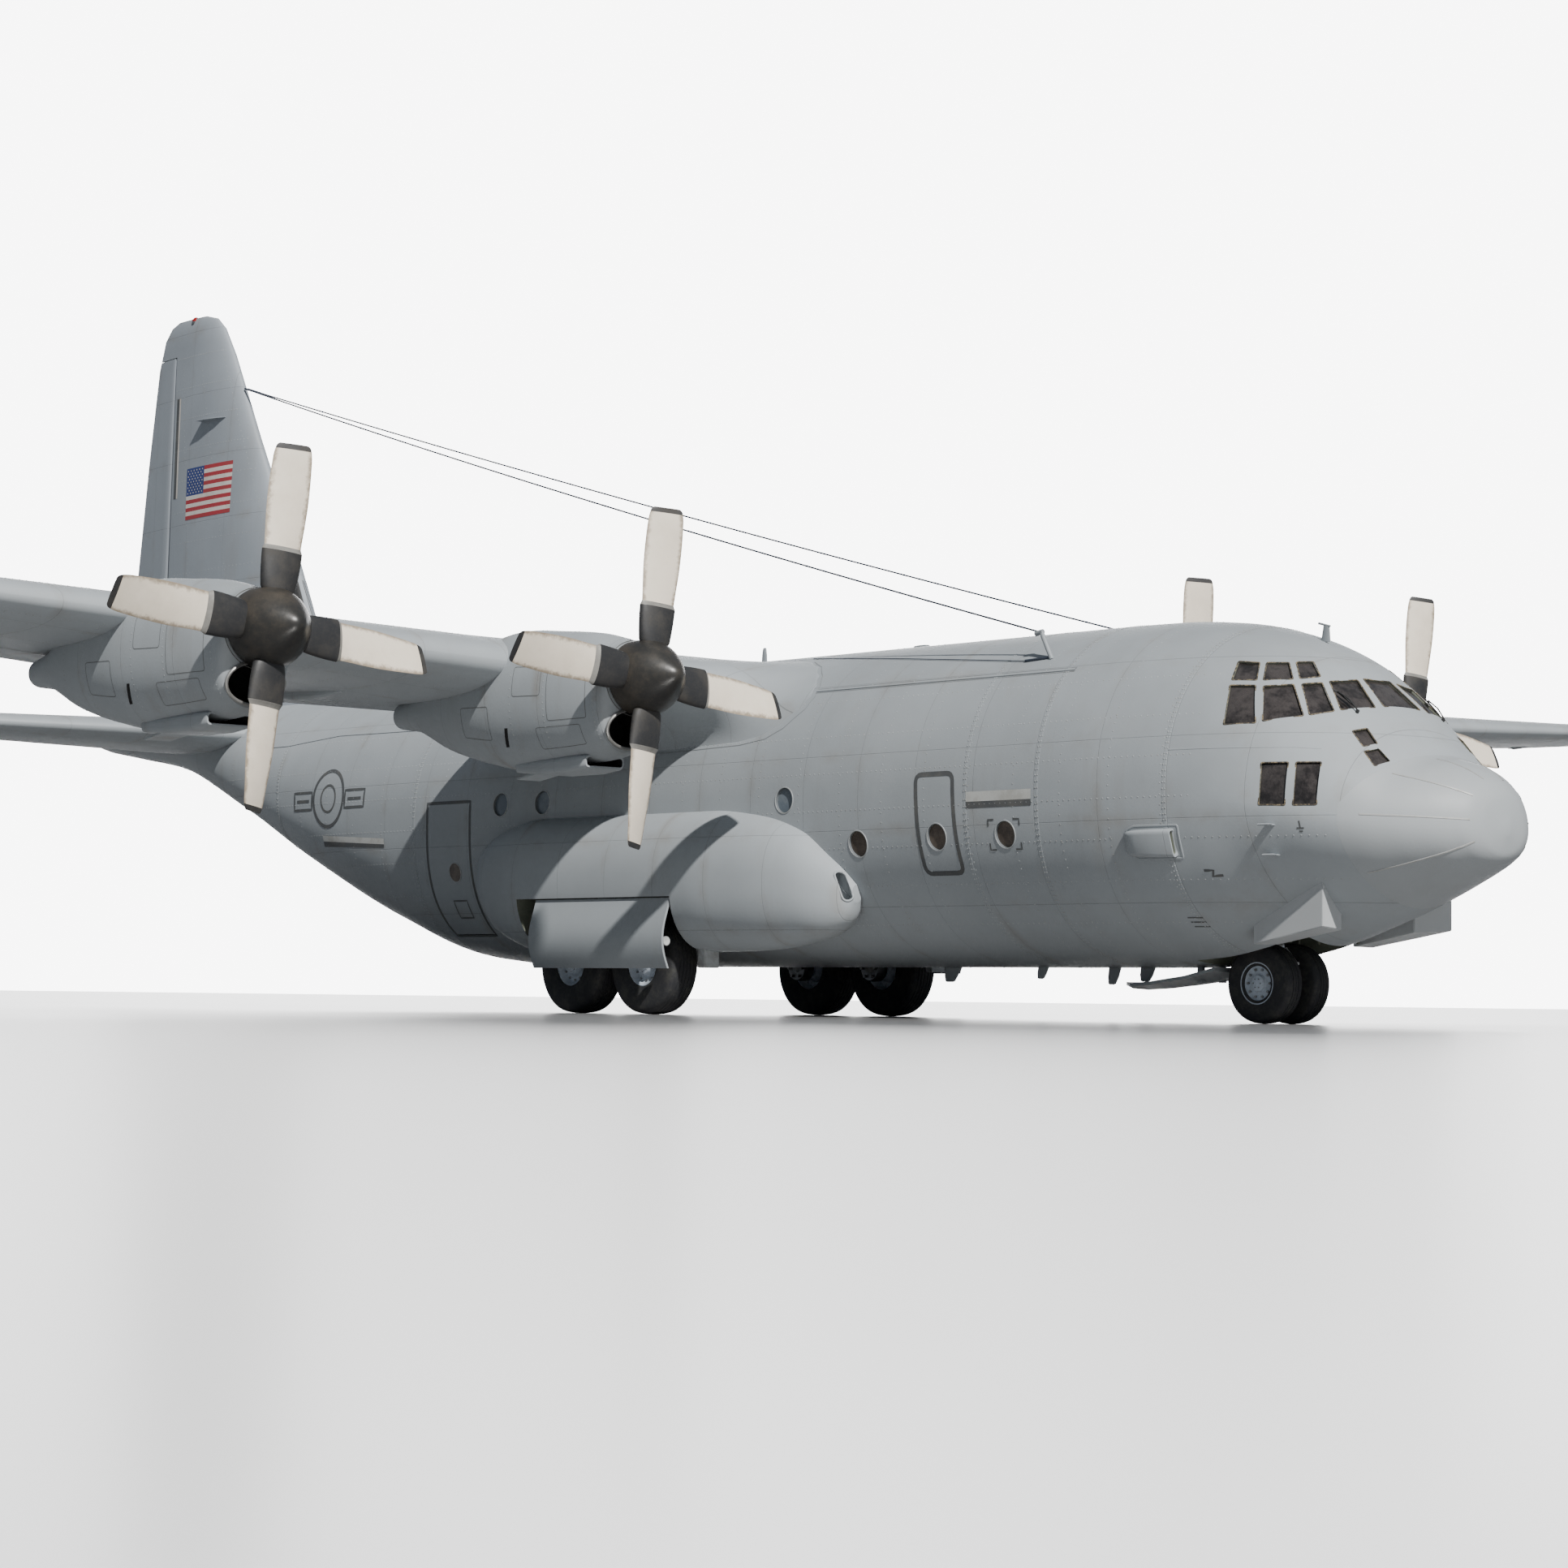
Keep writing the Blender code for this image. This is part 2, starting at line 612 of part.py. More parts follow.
# The windscreen and the quarter windows look forward: distance from the middle and height
SCREEN_WINDOWS = {
    "windscreen": ((0.76, 3.92), (0.36, 3.96), (0.48, 3.62), (0.94, 3.57)),
    "quarter_upper": ((1.01, 3.31), (0.82, 3.35), (0.84, 3.17), (1.02, 3.13)),
    "quarter_lower": ((1.05, 3.07), (0.87, 3.11), (0.86, 2.96), (1.06, 2.90)),
}
CENTRE_PANE = ((-0.24, 3.98), (0.24, 3.98), (0.33, 3.64), (-0.33, 3.64))


def window_cutters():
    """Prisms through the skin for all flight-deck windows."""
    bm = bmesh.new()
    for side in (1, -1):
        for corners in FLIGHT_WINDOWS.values():
            outline = []
            for x, z in corners:
                outline.append(Vector((x, side * skin_y(x, z), z)))
            push_through(bm, outline, Vector((outline[0].x - 0.9, 0, outline[0].z - 0.15)))
        for corners in SCREEN_WINDOWS.values():
            outline = [Vector((skin_front(y, z), side * y, z)) for y, z in corners]
            push_through(bm, outline, Vector((10.6, 0.0, outline[0].z - 0.25)))
    outline = [Vector((skin_front(abs(y), z), y, z)) for y, z in CENTRE_PANE]
    push_through(bm, outline, Vector((10.6, 0.0, 3.5)))
    return bm


def push_through(bm, outline, inward):
    """A tapering prism from just outside the skin to inside the lining."""
    middle = sum(outline, Vector()) / len(outline)
    way = (Vector(inward) - middle).normalized()
    rings = [[p - way * 0.10 for p in outline], [p + way * 0.24 for p in outline]]
    loft(bm, rings)


def skin_front(y, z):
    """Station where the nose skin passes through a point seen from ahead."""
    low, high = 9.0, 12.95
    for _ in range(30):
        x = (low + high) / 2
        crown, keel, half, widest, fullness = smooth_table(HULL_LINES, x)
        inside = keel < z < crown and skin_y(x, z) > y
        low, high = (x, high) if inside else (low, x)
    return (low + high) / 2


def fuselage():
    """Nose, flight deck, hold and tail, split at the real production joints."""
    g = SEAT_GAP / 2
    nose_stations = (RADOME_X + g, 11.95, 12.20, 12.45, 12.65, 12.80, 12.90, 12.945, 12.96)
    add_object("radome", solid([hull_ring(x) for x in nose_stations]), GREY, sharp=50)

    stations = (BULKHEAD_X + g, 8.6, 9.3, 10.0, 10.6, 11.1, 11.5, RADOME_X - g)
    outer = [hull_ring(x) for x in stations]
    lining = [hull_ring(x, WALL, DECK_Z, 2) for x in stations[:-1] + (LINING_FRONT_X,)]
    cockpit = add_object("cockpit_section", solid(lining[::-1] + outer), GREY, sharp=50)
    boolean(cockpit, add_cutter("cut_windows", window_cutters()), crossing=True)
    for label, side in SIDES:
        boolean(cockpit, add_cutter("chine_" + label, chine(side)), "UNION")
    boolean(cockpit, add_cutter("cut_nose_well", box(
        (NOSE_WELL_X[0], -0.64, 0.3), (NOSE_WELL_X[1], 0.64, NOSE_WELL_Z))))
    boolean(cockpit, add_cutter("cut_crew_doorway", box(
        (CREW_DOOR[0] - RUNNING_GAP, 0.76, CREW_DOOR[2] - RUNNING_GAP),
        (CREW_DOOR[1] + RUNNING_GAP, 2.6, CREW_DOOR[3] + RUNNING_GAP))))
    boolean(cockpit, add_cutter("cut_entrance", box(
        (7.5, 0.60, 1.05), (CREW_DOOR[0] + 0.1, 1.20, 2.6))))
    boolean(cockpit, add_cutter("cut_door_sill", box(
        (CREW_DOOR[0] - RUNNING_GAP, crew_hinge_y(), CREW_DOOR[2] - 0.30),
        (CREW_DOOR[1] + RUNNING_GAP, 2.6, CREW_DOOR[2]))))

    forward = hollow_section("forward_fuselage", (BULKHEAD_X - g, 5.0, WING_JOINT_X + g))
    scoop = add_cutter("side_scoops", side_scoops())
    boolean(cockpit, scoop, "UNION")
    centre = centre_fuselage(g)
    aft_fuselage(g)
    cutter = add_cutter("cut_round_windows", round_windows())
    boolean(forward, cutter)
    boolean(centre, cutter)


def hollow_section(name, stations, walls=None):
    """A stretch of the hold, open at both ends."""
    walls = walls or [None] * len(stations)
    outer = [hull_ring(x) for x in stations]
    lining = [hull_ring(x, WALL, UNDERFLOOR_Z, wall=wall) for x, wall in zip(stations, walls)]
    return add_object(name, solid(outer + lining[::-1], cyclic=True), GREY, sharp=50)


def centre_fuselage(g):
    """The hold under the wing, with the wheel wells, the wing slot and the side doorways."""
    stations = (WING_JOINT_X - g, 1.95, 1.75, -1.75, -1.95, -3.2, RAMP_X + g)
    wall = HOLD_HALF_WIDTH
    centre = hollow_section("centre_fuselage", stations, (None, None, wall, wall, None, None, None))
    boolean(centre, wing_guide("cut_wing_slot", (-3.0, 3.0)))
    for label, side in SIDES:
        low, high = sorted((side * WELL[2], side * 3.0))
        boolean(centre, add_cutter("cut_well_" + label, box((WELL[0], low, 0.3), (WELL[1], high, WELL[3]))))
        low, high = sorted((side * 1.3, side * 2.6))
        doorway = box((PARA_DOOR[0] - SEAT_GAP, low, PARA_DOOR[2] - SEAT_GAP),
                      (PARA_DOOR[1] + SEAT_GAP, high, PARA_DOOR[3] + SEAT_GAP))
        boolean(centre, add_cutter("cut_doorway_" + label, doorway))
    return centre


AFT_STATIONS = (RAMP_X, -5.3, -6.1, -7.2, -8.24, -9.2, -10.1, -11.6, -12.9, -14.4, -15.6, -16.2, -16.5,
                -16.7, TAIL_X)


def aft_fuselage(g):
    """The swept-up tail, hollow over the ramp and closed behind the cargo door."""
    stations = (RAMP_X - g,) + AFT_STATIONS[1:]
    outer = [hull_ring(x) for x in stations]
    lining = [hull_ring(x, WALL) for x in stations[:11]]
    aft = add_object("aft_fuselage", solid(lining[::-1] + outer), GREY, sharp=50)
    low, high = CARGO_DOOR_X[0] - 0.10, CARGO_DOOR_X[0] - RUNNING_GAP
    boolean(aft, add_cutter("rear_bulkhead", solid([hull_ring(low, 0.05), hull_ring(high, 0.05)])), "UNION")
    boolean(aft, add_cutter("cut_manhole", box((low - 0.2, -0.35, 4.05), (high + 0.2, 0.35, 4.45))))
    half = RAMP_HALF_WIDTH + RUNNING_GAP
    boolean(aft, add_cutter("cut_ramp_way", box((RAMP_REAR_X, -half, 0.3), (-4.0, half, 2.4))))
    half = CARGO_DOOR_HALF_WIDTH + RUNNING_GAP
    low, high = CARGO_DOOR_X[0] - RUNNING_GAP - 0.0005, RAMP_REAR_X + 0.01
    boolean(aft, add_cutter("cut_cargo_doorway", box((low, -half, 1.2), (high, half, 3.55))))
    boolean(aft, tailplane_guide())


def round_windows():
    """Round holes on both sides of the hold."""
    bm = bmesh.new()
    for x, z in ROUND_WINDOWS:
        for side in (1, -1):
            y = side * skin_y(x, z)
            add_rod(bm, (x, y + side * 0.15, z), (x, y - side * 0.25, z), ROUND_WINDOW_RADIUS, 12)
    return bm


def crew_hinge_y():
    """The crew door's hinge is straight, so it lies where the skin is narrowest along the sill."""
    x_low, x_high, z_low, _ = CREW_DOOR
    return min(skin_y(x, z_low) for x in (x_low, x_high))


def chine(side):
    """Wedge fairing low on the nose side, with a flat underside."""
    bm = bmesh.new()
    plan = ((11.20, 1.02), (10.29, 1.15), (10.29, 0.50), (11.20, 0.40), (11.28, 0.79))
    low = [Vector((x, side * y, 0.90 + 0.209 * (x - 10.29))) for x, y in plan]
    high = [Vector((x, side * (y - 0.02), 1.10 + 0.57 * (x - 10.29))) for x, y in plan]
    return loft(bm, [low, high])


SCOOP_Z = 2.07


def side_scoops():
    """Ram-air scoop on the starboard side behind the flight deck, with its mouth forward."""
    bm = bmesh.new()
    for side in (-1,):
        rings = []
        for x, out, half_height in ((9.02, -0.05, 0.06), (9.15, 0.10, 0.13), (9.60, 0.15, 0.16), (9.80, 0.16, 0.16)):
            low, high = SCOOP_Z - half_height, SCOOP_Z + half_height
            inner, outer = skin_y(x, SCOOP_Z) - 0.12, skin_y(x, SCOOP_Z) + out
            rings.append([(x, side * inner, low), (x, side * outer, low), (x, side * outer, high),
                          (x, side * inner, high)])
        loft(bm, rings)
    return bm


def doors():
    """Crew door, paratroop doors, loading ramp and cargo door."""
    x_low, x_high, z_low, z_high = CREW_DOOR
    hinge = Vector(((x_low + x_high) / 2, crew_hinge_y(), z_low))
    door = add_object("crew_door", side_panel(*CREW_DOOR, 1, DOOR_THICKNESS, True), GREY, hinge)
    hinge_barrel(door, (x_low + 0.02, hinge.y, z_low), (x_high - 0.02, hinge.y, z_low))
    for label, side in SIDES:
        panel = side_panel(*PARA_DOOR, side, DOOR_THICKNESS)
        add_object("paratroop_door_" + label, panel, GREY)

    slope = (2.22 - FLOOR_Z) / (RAMP_REAR_X - RAMP_X)
    front = RAMP_X - RUNNING_GAP
    ramp = belly_panel(spread(RAMP_REAR_X + RUNNING_GAP, front, 6), RAMP_HALF_WIDTH,
                       lambda x, y: max(FLOOR_Z + slope * (x - RAMP_X), skin_bottom(x, y) + 0.05), 0.13)
    hinge = Vector((front, 0, skin_bottom(front, 0) + 0.009))
    ramp = add_object("cargo_ramp", ramp, GREY, hinge)
    hinge_barrel(ramp, hinge - Vector((0, 0.25, 0)), hinge + Vector((0, 0.25, 0)), RUNNING_GAP - SEAT_GAP / 2)

    x_rear, x_front = CARGO_DOOR_X
    door = belly_panel(spread(x_rear, x_front, 6), CARGO_DOOR_HALF_WIDTH,
                       lambda x, y: skin_bottom(x, y) + DOOR_THICKNESS)
    rise = skin_bottom(x_rear, CARGO_DOOR_HALF_WIDTH) + DOOR_THICKNESS
    door = add_object("cargo_door", door, GREY, (x_rear, 0, rise))
    for label, side in SIDES:
        low, high = sorted((side * 1.02, side * 1.12))
        lug = box((x_rear, low, rise - 0.12), (x_rear + 0.16, high, rise + 0.005))
        boolean(door, add_cutter("door_lug_" + label, lug), "UNION")
        rod = add_rod(bmesh.new(), (x_rear, low, rise), (x_rear, high, rise), RUNNING_GAP - SEAT_GAP, 10)
        boolean(door, add_cutter("door_barrel_" + label, rod), "UNION")


def interior():
    """Hold floor, and the flight deck with its seats, panel and rear bulkhead."""
    rings = []
    low, high = UNDERFLOOR_Z + SEAT_GAP, FLOOR_Z
    for x in (RAMP_X + 0.005, -3.2, WING_JOINT_X, 5.0, BULKHEAD_X - 0.005):
        half = skin_y(x, UNDERFLOOR_Z, WALL) - 0.01
        rings.append([(x, -half, low), (x, half, low), (x, half, high), (x, -half, high)])
    add_object("cargo_floor", solid(rings), DECK)
    deck = add_object("flight_deck", box((8.05, -1.12, DECK_Z + SEAT_GAP), (11.25, 0.56, DECK_Z + 0.08)), DECK)
    top = DECK_Z + 0.05
    parts = bmesh.new()
    add_box(parts, (10.95, -1.00, top), (11.15, 0.85, 2.90))
    add_box(parts, (10.30, -0.16, top), (10.90, 0.16, 2.45))
    boolean(deck, add_cutter("join_panel", parts), "UNION")
    side_floor = box((9.55, 0.50, DECK_Z + SEAT_GAP), (11.25, 1.00, DECK_Z + 0.08))
    boolean(deck, add_cutter("join_side_floor", side_floor), "UNION")
    for number, (x, y) in enumerate(((10.05, -0.62), (10.05, 0.62), (9.0, -0.35))):
        seat = bmesh.new()
        add_box(seat, (x - 0.20, y - 0.20, top), (x + 0.20, y + 0.20, 2.32))
        boolean(deck, add_cutter(f"join_seat_base_{number}", seat), "UNION")
        seat = bmesh.new()
        add_box(seat, (x - 0.36, y - 0.23, 2.30), (x - 0.21, y + 0.23, 3.15))
        boolean(deck, add_cutter(f"join_seat_back_{number}", seat), "UNION")
        seat = bmesh.new()
        add_box(seat, (x - 0.25, y - 0.24, 2.28), (x + 0.24, y + 0.24, 2.42))
        boolean(deck, add_cutter(f"join_seat_{number}", seat), "UNION")
    add_object("cockpit_glazing", glazing(), GLASS)


def glazing():
    """A thin liner of glass behind the window openings, from the front to the rear."""
    arc = range(-2, HULL_SIDES // 2 + 2)
    rings = []
    for station in (LINING_FRONT_X, 11.5, 11.1, 10.6, 10.0):
        shift = -0.004 if station == LINING_FRONT_X else 0.0
        outer = hull_ring(station, WALL + SEAT_GAP)
        inner = hull_ring(station, WALL + 0.03)
        ring = [outer[k] for k in arc] + [inner[k] for k in reversed(arc)]
        rings.append([(x + shift, y, z) for x, y, z in ring])
    return solid(rings)


# Power plants

# distance behind the propeller, top, bottom, half width, all about the shaft height
NACELLE_LINES = (
    (0.30, 0.46, -0.46, 0.46),
    (0.42, 0.49, -0.90, 0.49),
    (0.90, 0.60, -0.99, 0.56),
    (1.60, 0.67, -1.03, 0.61),
    (2.30, 0.72, -1.05, 0.63),
    (3.10, 0.60, -0.93, 0.59),
    (3.80, 0.40, -0.76, 0.49),
    (4.60, 0.02, -0.46, 0.31),
    (5.05, -0.06, -0.40, 0.20),
)


def nacelle(number, hub):
    """Cowling with the chin intake, its engine and its propeller."""
    x0, y0, z0 = hub
    rings = []
    for behind, top, bottom, half in NACELLE_LINES:
        rings.append(ellipse(x0 - behind, y0, z0 + (top + bottom) / 2, half, (top - bottom) / 2, 16, 2.2))
    cowl = add_object(f"nacelle_{number}", solid(rings), GREY, sharp=50)
    side = 1 if y0 > 0 else -1
    spans = (3.75, 5.585) if abs(y0) < 6 else (9.0, 11.4)
    boolean(cowl, wing_guide(f"cut_wing_{number}", [side * span for span in spans]))
    mouth = solid([ellipse(x0 - 0.2, y0, z0 - 0.62, 0.40, 0.25, 14),
                   ellipse(x0 - 0.85, y0, z0 - 0.62, 0.28, 0.19, 14)])
    boolean(cowl, add_cutter(f"cut_intake_{number}", mouth))
    stages = ((1.10, -0.48, 0.34), (3.00, -0.46, 0.34), (4.00, -0.33, 0.18), (5.30, -0.23, 0.12))
    bay = solid([ellipse(x0 - b, y0, z0 + z, r, r, 12) for b, z, r in stages])
    boolean(cowl, add_cutter(f"cut_engine_bay_{number}", bay))
    block = solid([ellipse(x0 - b, y0, z0 + z, r, r, 12) for b, z, r in
                   ((1.10 + SEAT_GAP, -0.48, 0.34 - SEAT_GAP), (3.00, -0.46, 0.34 - SEAT_GAP))])
    add_object(f"engine_{number}", block, STEEL)
    propeller(number, hub)


# radius, chord, thickness, pitch in degrees
BLADE_LINES = (
    (0.30, 0.20, 0.18, 5),
    (0.44, 0.44, 0.19, 5),
    (0.86, 0.50, 0.15, 8),
    (0.90, 0.45, 0.075, 9),
    (1.40, 0.48, 0.055, 18),
    (1.95, 0.44, 0.032, 27),
    (PROP_RADIUS, 0.32, 0.020, 28),
)
# distance ahead of the blades, radius
SPINNER_LINES = (
    (-0.30 + SEAT_GAP, 0.12), (-0.26, 0.12), (-0.26, 0.45), (0.03, 0.46), (0.22, 0.39), (0.38, 0.27),
    (0.50, 0.13), (0.55, 0.03),
)
BLADE_REST = {1: 6.7, 2: 2.4, 3: 6.15, 4: 6.2}


def propeller(number, hub):
    """Spinner and four blades, parked in the pitch that the blades show at rest."""
    bm = add_lathe(bmesh.new(), SPINNER_LINES, hub, "X", 16)
    prop = add_object(f"propeller_{number}", bm, CREAM, hub)
    for blade in range(4):
        turn = Matrix.Rotation(math.radians(90 * blade - BLADE_REST[number]), 4, "X")
        rings = []
        for radius, chord, thickness, pitch in BLADE_LINES:
            ring = []
            for k in range(6):
                a = 2 * math.pi * k / 6
                flat = Vector((thickness / 2 * math.sin(a), chord / 2 * math.cos(a), 0))
                flat = Matrix.Rotation(-math.radians(pitch), 4, "Z") @ flat
                ring.append(Vector(hub) + turn @ (flat + Vector((0, 0, radius))))
            rings.append(ring)
        boolean(prop, add_cutter(f"blade_{number}_{blade}", solid(rings)), "UNION")
    return prop


# Tail

FIN = Foil((
    (4.70, (-9.60, 0, 4.70), 6.70, 0.105),
    (5.60, (-10.25, 0, 5.60), 5.97, 0.11),
    (7.20, (-11.05, 0, 7.20), 4.95, 0.12),
    (9.40, (-12.27, 0, 9.40), 3.41, 0.12),
    (10.90, (-13.06, 0, 10.90), 2.36, 0.12),
    (11.40, (-13.38, 0, 11.40), 1.86, 0.11),
    (11.60, (-13.62, 0, 11.60), 1.42, 0.08),
    (11.68, (-13.95, 0, 11.68), 0.85, 0.04),
), upright=True)
RUDDER_SPAN = (5.30, 11.05)
RUDDER_HINGE_X = (-14.93, -14.83)

TAILPLANE_Z = 4.30
TAILPLANE_HALF = 8.025
ELEVATOR_HINGE = 0.68
ELEVATOR_SPAN = (1.34, 7.55)
SHELL = 0.045


def tailplane_nose(y):
    """Leading edge, swept so that the elevators' hinge line is square to the fuselage."""
    sweep = ELEVATOR_HINGE * (4.50 - 2.25) / (TAILPLANE_HALF - 0.20)
    return (-9.95 - abs(y) * sweep, y, TAILPLANE_Z)


TAILPLANE = Foil((
    (0.0, tailplane_nose(0), 4.50, 0.125),
    (TAILPLANE_HALF - 0.20, tailplane_nose(TAILPLANE_HALF - 0.20), 2.25, 0.11),
    (TAILPLANE_HALF - 0.06, (-11.65, TAILPLANE_HALF - 0.06, TAILPLANE_Z), 1.95, 0.08),
    (TAILPLANE_HALF, (-11.85, TAILPLANE_HALF, TAILPLANE_Z), 1.50, 0.04),
))


def tailplane_guide():
    """The tailplane's root stretch grown by the seat gap."""
    twin = TAILPLANE.mirrored()
    spans = [row[0] for row in TAILPLANE.stations[:2]]
    rings = [twin.ring(-spans[1], grow=SEAT_GAP)] + [TAILPLANE.ring(y, grow=SEAT_GAP) for y in spans]
    return add_cutter("cut_tailplane_slot", solid(rings))


def rudder_fraction(z):
    nose, chord, _ = FIN.at(z)
    low, high = RUDDER_SPAN
    x = RUDDER_HINGE_X[0] + (RUDDER_HINGE_X[1] - RUDDER_HINGE_X[0]) * (z - low) / (high - low)
    return (nose.x - x) / chord


def tail():
    """Fin and rudder, tailplane and elevators."""
    fin = add_object("fin", solid([FIN.ring(row[0]) for row in FIN.stations]), GREY)
    low, high = RUDDER_SPAN
    bm = bmesh.new()
    rings = []
    for z in (low - RUNNING_GAP, 5.6, 7.2, 9.4, 10.9, high + RUNNING_GAP):
        fraction = rudder_fraction(z)
        x = FIN.middle(z, fraction).x + FIN.half_thickness(z, fraction) + RUNNING_GAP
        rings.append([(x, -0.6, z), (x, 0.6, z), (-17.5, 0.6, z), (-17.5, -0.6, z)])
    boolean(fin, add_cutter("cut_rudder", loft(bm, rings)))
    boolean(fin, hull_guide("cut_fin_seat", AFT_STATIONS[4:]))
    boolean(fin, tailplane_guide())
    hollow = solid([FIN.ring(z, 0.06, 0.68, grow=-SHELL) for z in (4.0, 5.6, 7.2, 9.4, 10.9)])
    boolean(fin, add_cutter("cut_fin_hollow", hollow))
    rings = [FIN.ring(z, rudder_fraction(z), round_nose=True) for z in (low, 7.2, 9.4, 10.9, high)]
    pivot = FIN.middle((low + high) / 2, rudder_fraction((low + high) / 2))
    rudder = add_object("rudder", solid(rings), GREY, pivot)
    hinge_pins(rudder, *[FIN.middle(z, rudder_fraction(z)) for z in RUDDER_SPAN], 2)

    twin = TAILPLANE.mirrored()
    rings = [twin.ring(row[0]) for row in twin.stations]
    rings += [TAILPLANE.ring(row[0]) for row in TAILPLANE.stations[1:]]
    plane = add_object("tailplane", solid(rings), GREY)
    inside = TAILPLANE_HALF - 0.35
    hollow = solid([(TAILPLANE if y >= 0 else twin).ring(y, 0.06, 0.60, grow=-SHELL) for y in (-inside, 0, inside)])
    boolean(plane, add_cutter("cut_tailplane_hollow", hollow))
    boolean(plane, add_cutter("cut_tailplane_hatch", box((-11.60, -0.30, 3.6), (-11.00, 0.30, TAILPLANE_Z))))
    for label, side in SIDES:
        foil = TAILPLANE if side > 0 else twin
        start, end = (side * y for y in ELEVATOR_SPAN)
        bm = foil.cove(bmesh.new(), ELEVATOR_HINGE, start - side * RUNNING_GAP, end + side * RUNNING_GAP, True)
        boolean(plane, add_cutter("cut_elevator_" + label, bm))
        rings = [foil.ring(y, ELEVATOR_HINGE, round_nose=True) for y in (start, end)]
        pivot = foil.middle(0.0, ELEVATOR_HINGE)
        elevator = add_object("elevator_" + label, solid(rings), GREY, pivot)
        hinge_pins(elevator, foil.middle(start, ELEVATOR_HINGE), foil.middle(end, ELEVATOR_HINGE), 1)


# Landing gear

# station, height of the middle, half width, half height
SPONSON_LINES = (
    (4.44, 1.56, 0.08, 0.11),
    (4.34, 1.53, 0.20, 0.28),
    (4.12, 1.55, 0.34, 0.47),
    (3.62, 1.67, 0.53, 0.72),
    (2.80, 1.73, 0.68, 0.88),
    (1.90, 1.76, 0.75, 0.93),
    (-1.70, 1.76, 0.75, 0.93),
    (-2.40, 1.78, 0.62, 0.80),
    (-3.00, 1.86, 0.36, 0.52),
    (-3.35, 1.94, 0.10, 0.20),
)
SPONSON_Y = 1.95


def tyre(name, centre, radius, width, rim_radius, sides):
    """Tyre with rounded shoulders."""
    half = width / 2
    profile = ((-half * 0.80, rim_radius), (-half, radius * 0.72), (-half * 0.94, radius * 0.88),
               (-half * 0.66, radius * 0.975), (0, radius), (half * 0.66, radius * 0.975),
               (half * 0.94, radius * 0.88), (half, radius * 0.72), (half * 0.80, rim_radius))
    bm = add_lathe(bmesh.new(), profile, centre, "Y", sides, closed=True)
    add_object(name, bm, RUBBER, centre, sharp=60)


def main_gear():
    """Tandem wheels on two oleo legs on each side, in an open sponson with its door."""
    axle_z = MAIN_TYRE_RADIUS
    rim_radius = 0.30
    for label, side in SIDES:
        rings = [ellipse(x, side * SPONSON_Y, z, half, height, 24, 2.3) for x, z, half, height in SPONSON_LINES]
        pod = add_object("sponson_" + label, solid(rings), GREY, sharp=50)
        boolean(pod, hull_guide("cut_sponson_seat_" + label, (5.0, WING_JOINT_X, -3.2, RAMP_X)))
        low, high = sorted((side * 1.0, side * (GEAR_DOOR_HINGE[0] - 0.06)))
        boolean(pod, add_cutter("cut_bay_" + label, box((WELL[0], low, 0.2), (WELL[1], high, WELL[3]))))
        low, high = sorted((side * 1.0, side * 3.4))
        boolean(pod, add_cutter("cut_bay_side_" + label, box(
            (WELL[0], low, 0.2), (WELL[1] + 0.05, high, GEAR_DOOR_HINGE[1] + RUNNING_GAP))))

        y, z = side * GEAR_DOOR_HINGE[0], GEAR_DOOR_HINGE[1]
        rings = []
        for t in spread(0, 1, 7):
            drop = z - 0.004 - t * GEAR_DOOR_LENGTH
            bulge = 0.10 * math.sin(math.pi * min(1.0, t * 1.25)) + 0.10 * max(0.0, t - 0.8) / 0.2
            out = y + side * bulge
            rings.append([(GEAR_DOOR_X[0], out, drop), (GEAR_DOOR_X[1], out, drop),
                          (GEAR_DOOR_X[1], out - side * 0.05, drop), (GEAR_DOOR_X[0], out - side * 0.05, drop)])
        door = add_object("gear_door_" + label, solid(rings), GREY, (0.21, y, z))
        hinge_barrel(door, (GEAR_DOOR_X[0] + 0.02, y, z), (GEAR_DOOR_X[1] - 0.02, y, z))

        leg_y = side * 1.78
        legs = bmesh.new()
        add_box(legs, (-MAIN_WHEEL_X, leg_y - 0.05, 1.22), (MAIN_WHEEL_X, leg_y + 0.05, 1.36))
        leg = add_object("main_leg_" + label, legs, WHITE)
        for place, x in (("front", MAIN_WHEEL_X), ("rear", -MAIN_WHEEL_X)):
            name = f"{place}_{label}"
            rod = add_rod(bmesh.new(), (x, leg_y, axle_z + 0.30), (x, leg_y, WELL[3] - SEAT_GAP), 0.12, 14)
            boolean(leg, add_cutter("oleo_" + name, rod), "UNION")
            rod = add_rod(bmesh.new(), (x, leg_y, axle_z - 0.05), (x, leg_y, axle_z + 0.32), 0.085, 14)
            boolean(leg, add_cutter("piston_" + name, rod), "UNION")
            rod = add_rod(bmesh.new(), (x, leg_y - side * 0.06, axle_z), (x, side * 2.34, axle_z), 0.065, 14)
            boolean(leg, add_cutter("axle_" + name, rod), "UNION")
            centre = (x, side * MAIN_WHEEL_Y, axle_z)
            tyre("main_tyre_" + name, centre, MAIN_TYRE_RADIUS, MAIN_TYRE_WIDTH, rim_radius, 22)
            rim = rim_radius - SEAT_GAP
            profile = [(side * a, r) for a, r in (
                (-0.20, 0.0665), (-0.20, 0.14), (-0.05, 0.20), (-0.05, 0.26), (-0.200, rim), (0.200, rim),
                (0.16, 0.26), (0.12, 0.17), (0.20, 0.12), (0.20, 0.0665))]
            bm = add_lathe(bmesh.new(), profile, centre, "Y", 22, closed=True)
            add_object("main_rim_" + name, bm, METAL, centre)


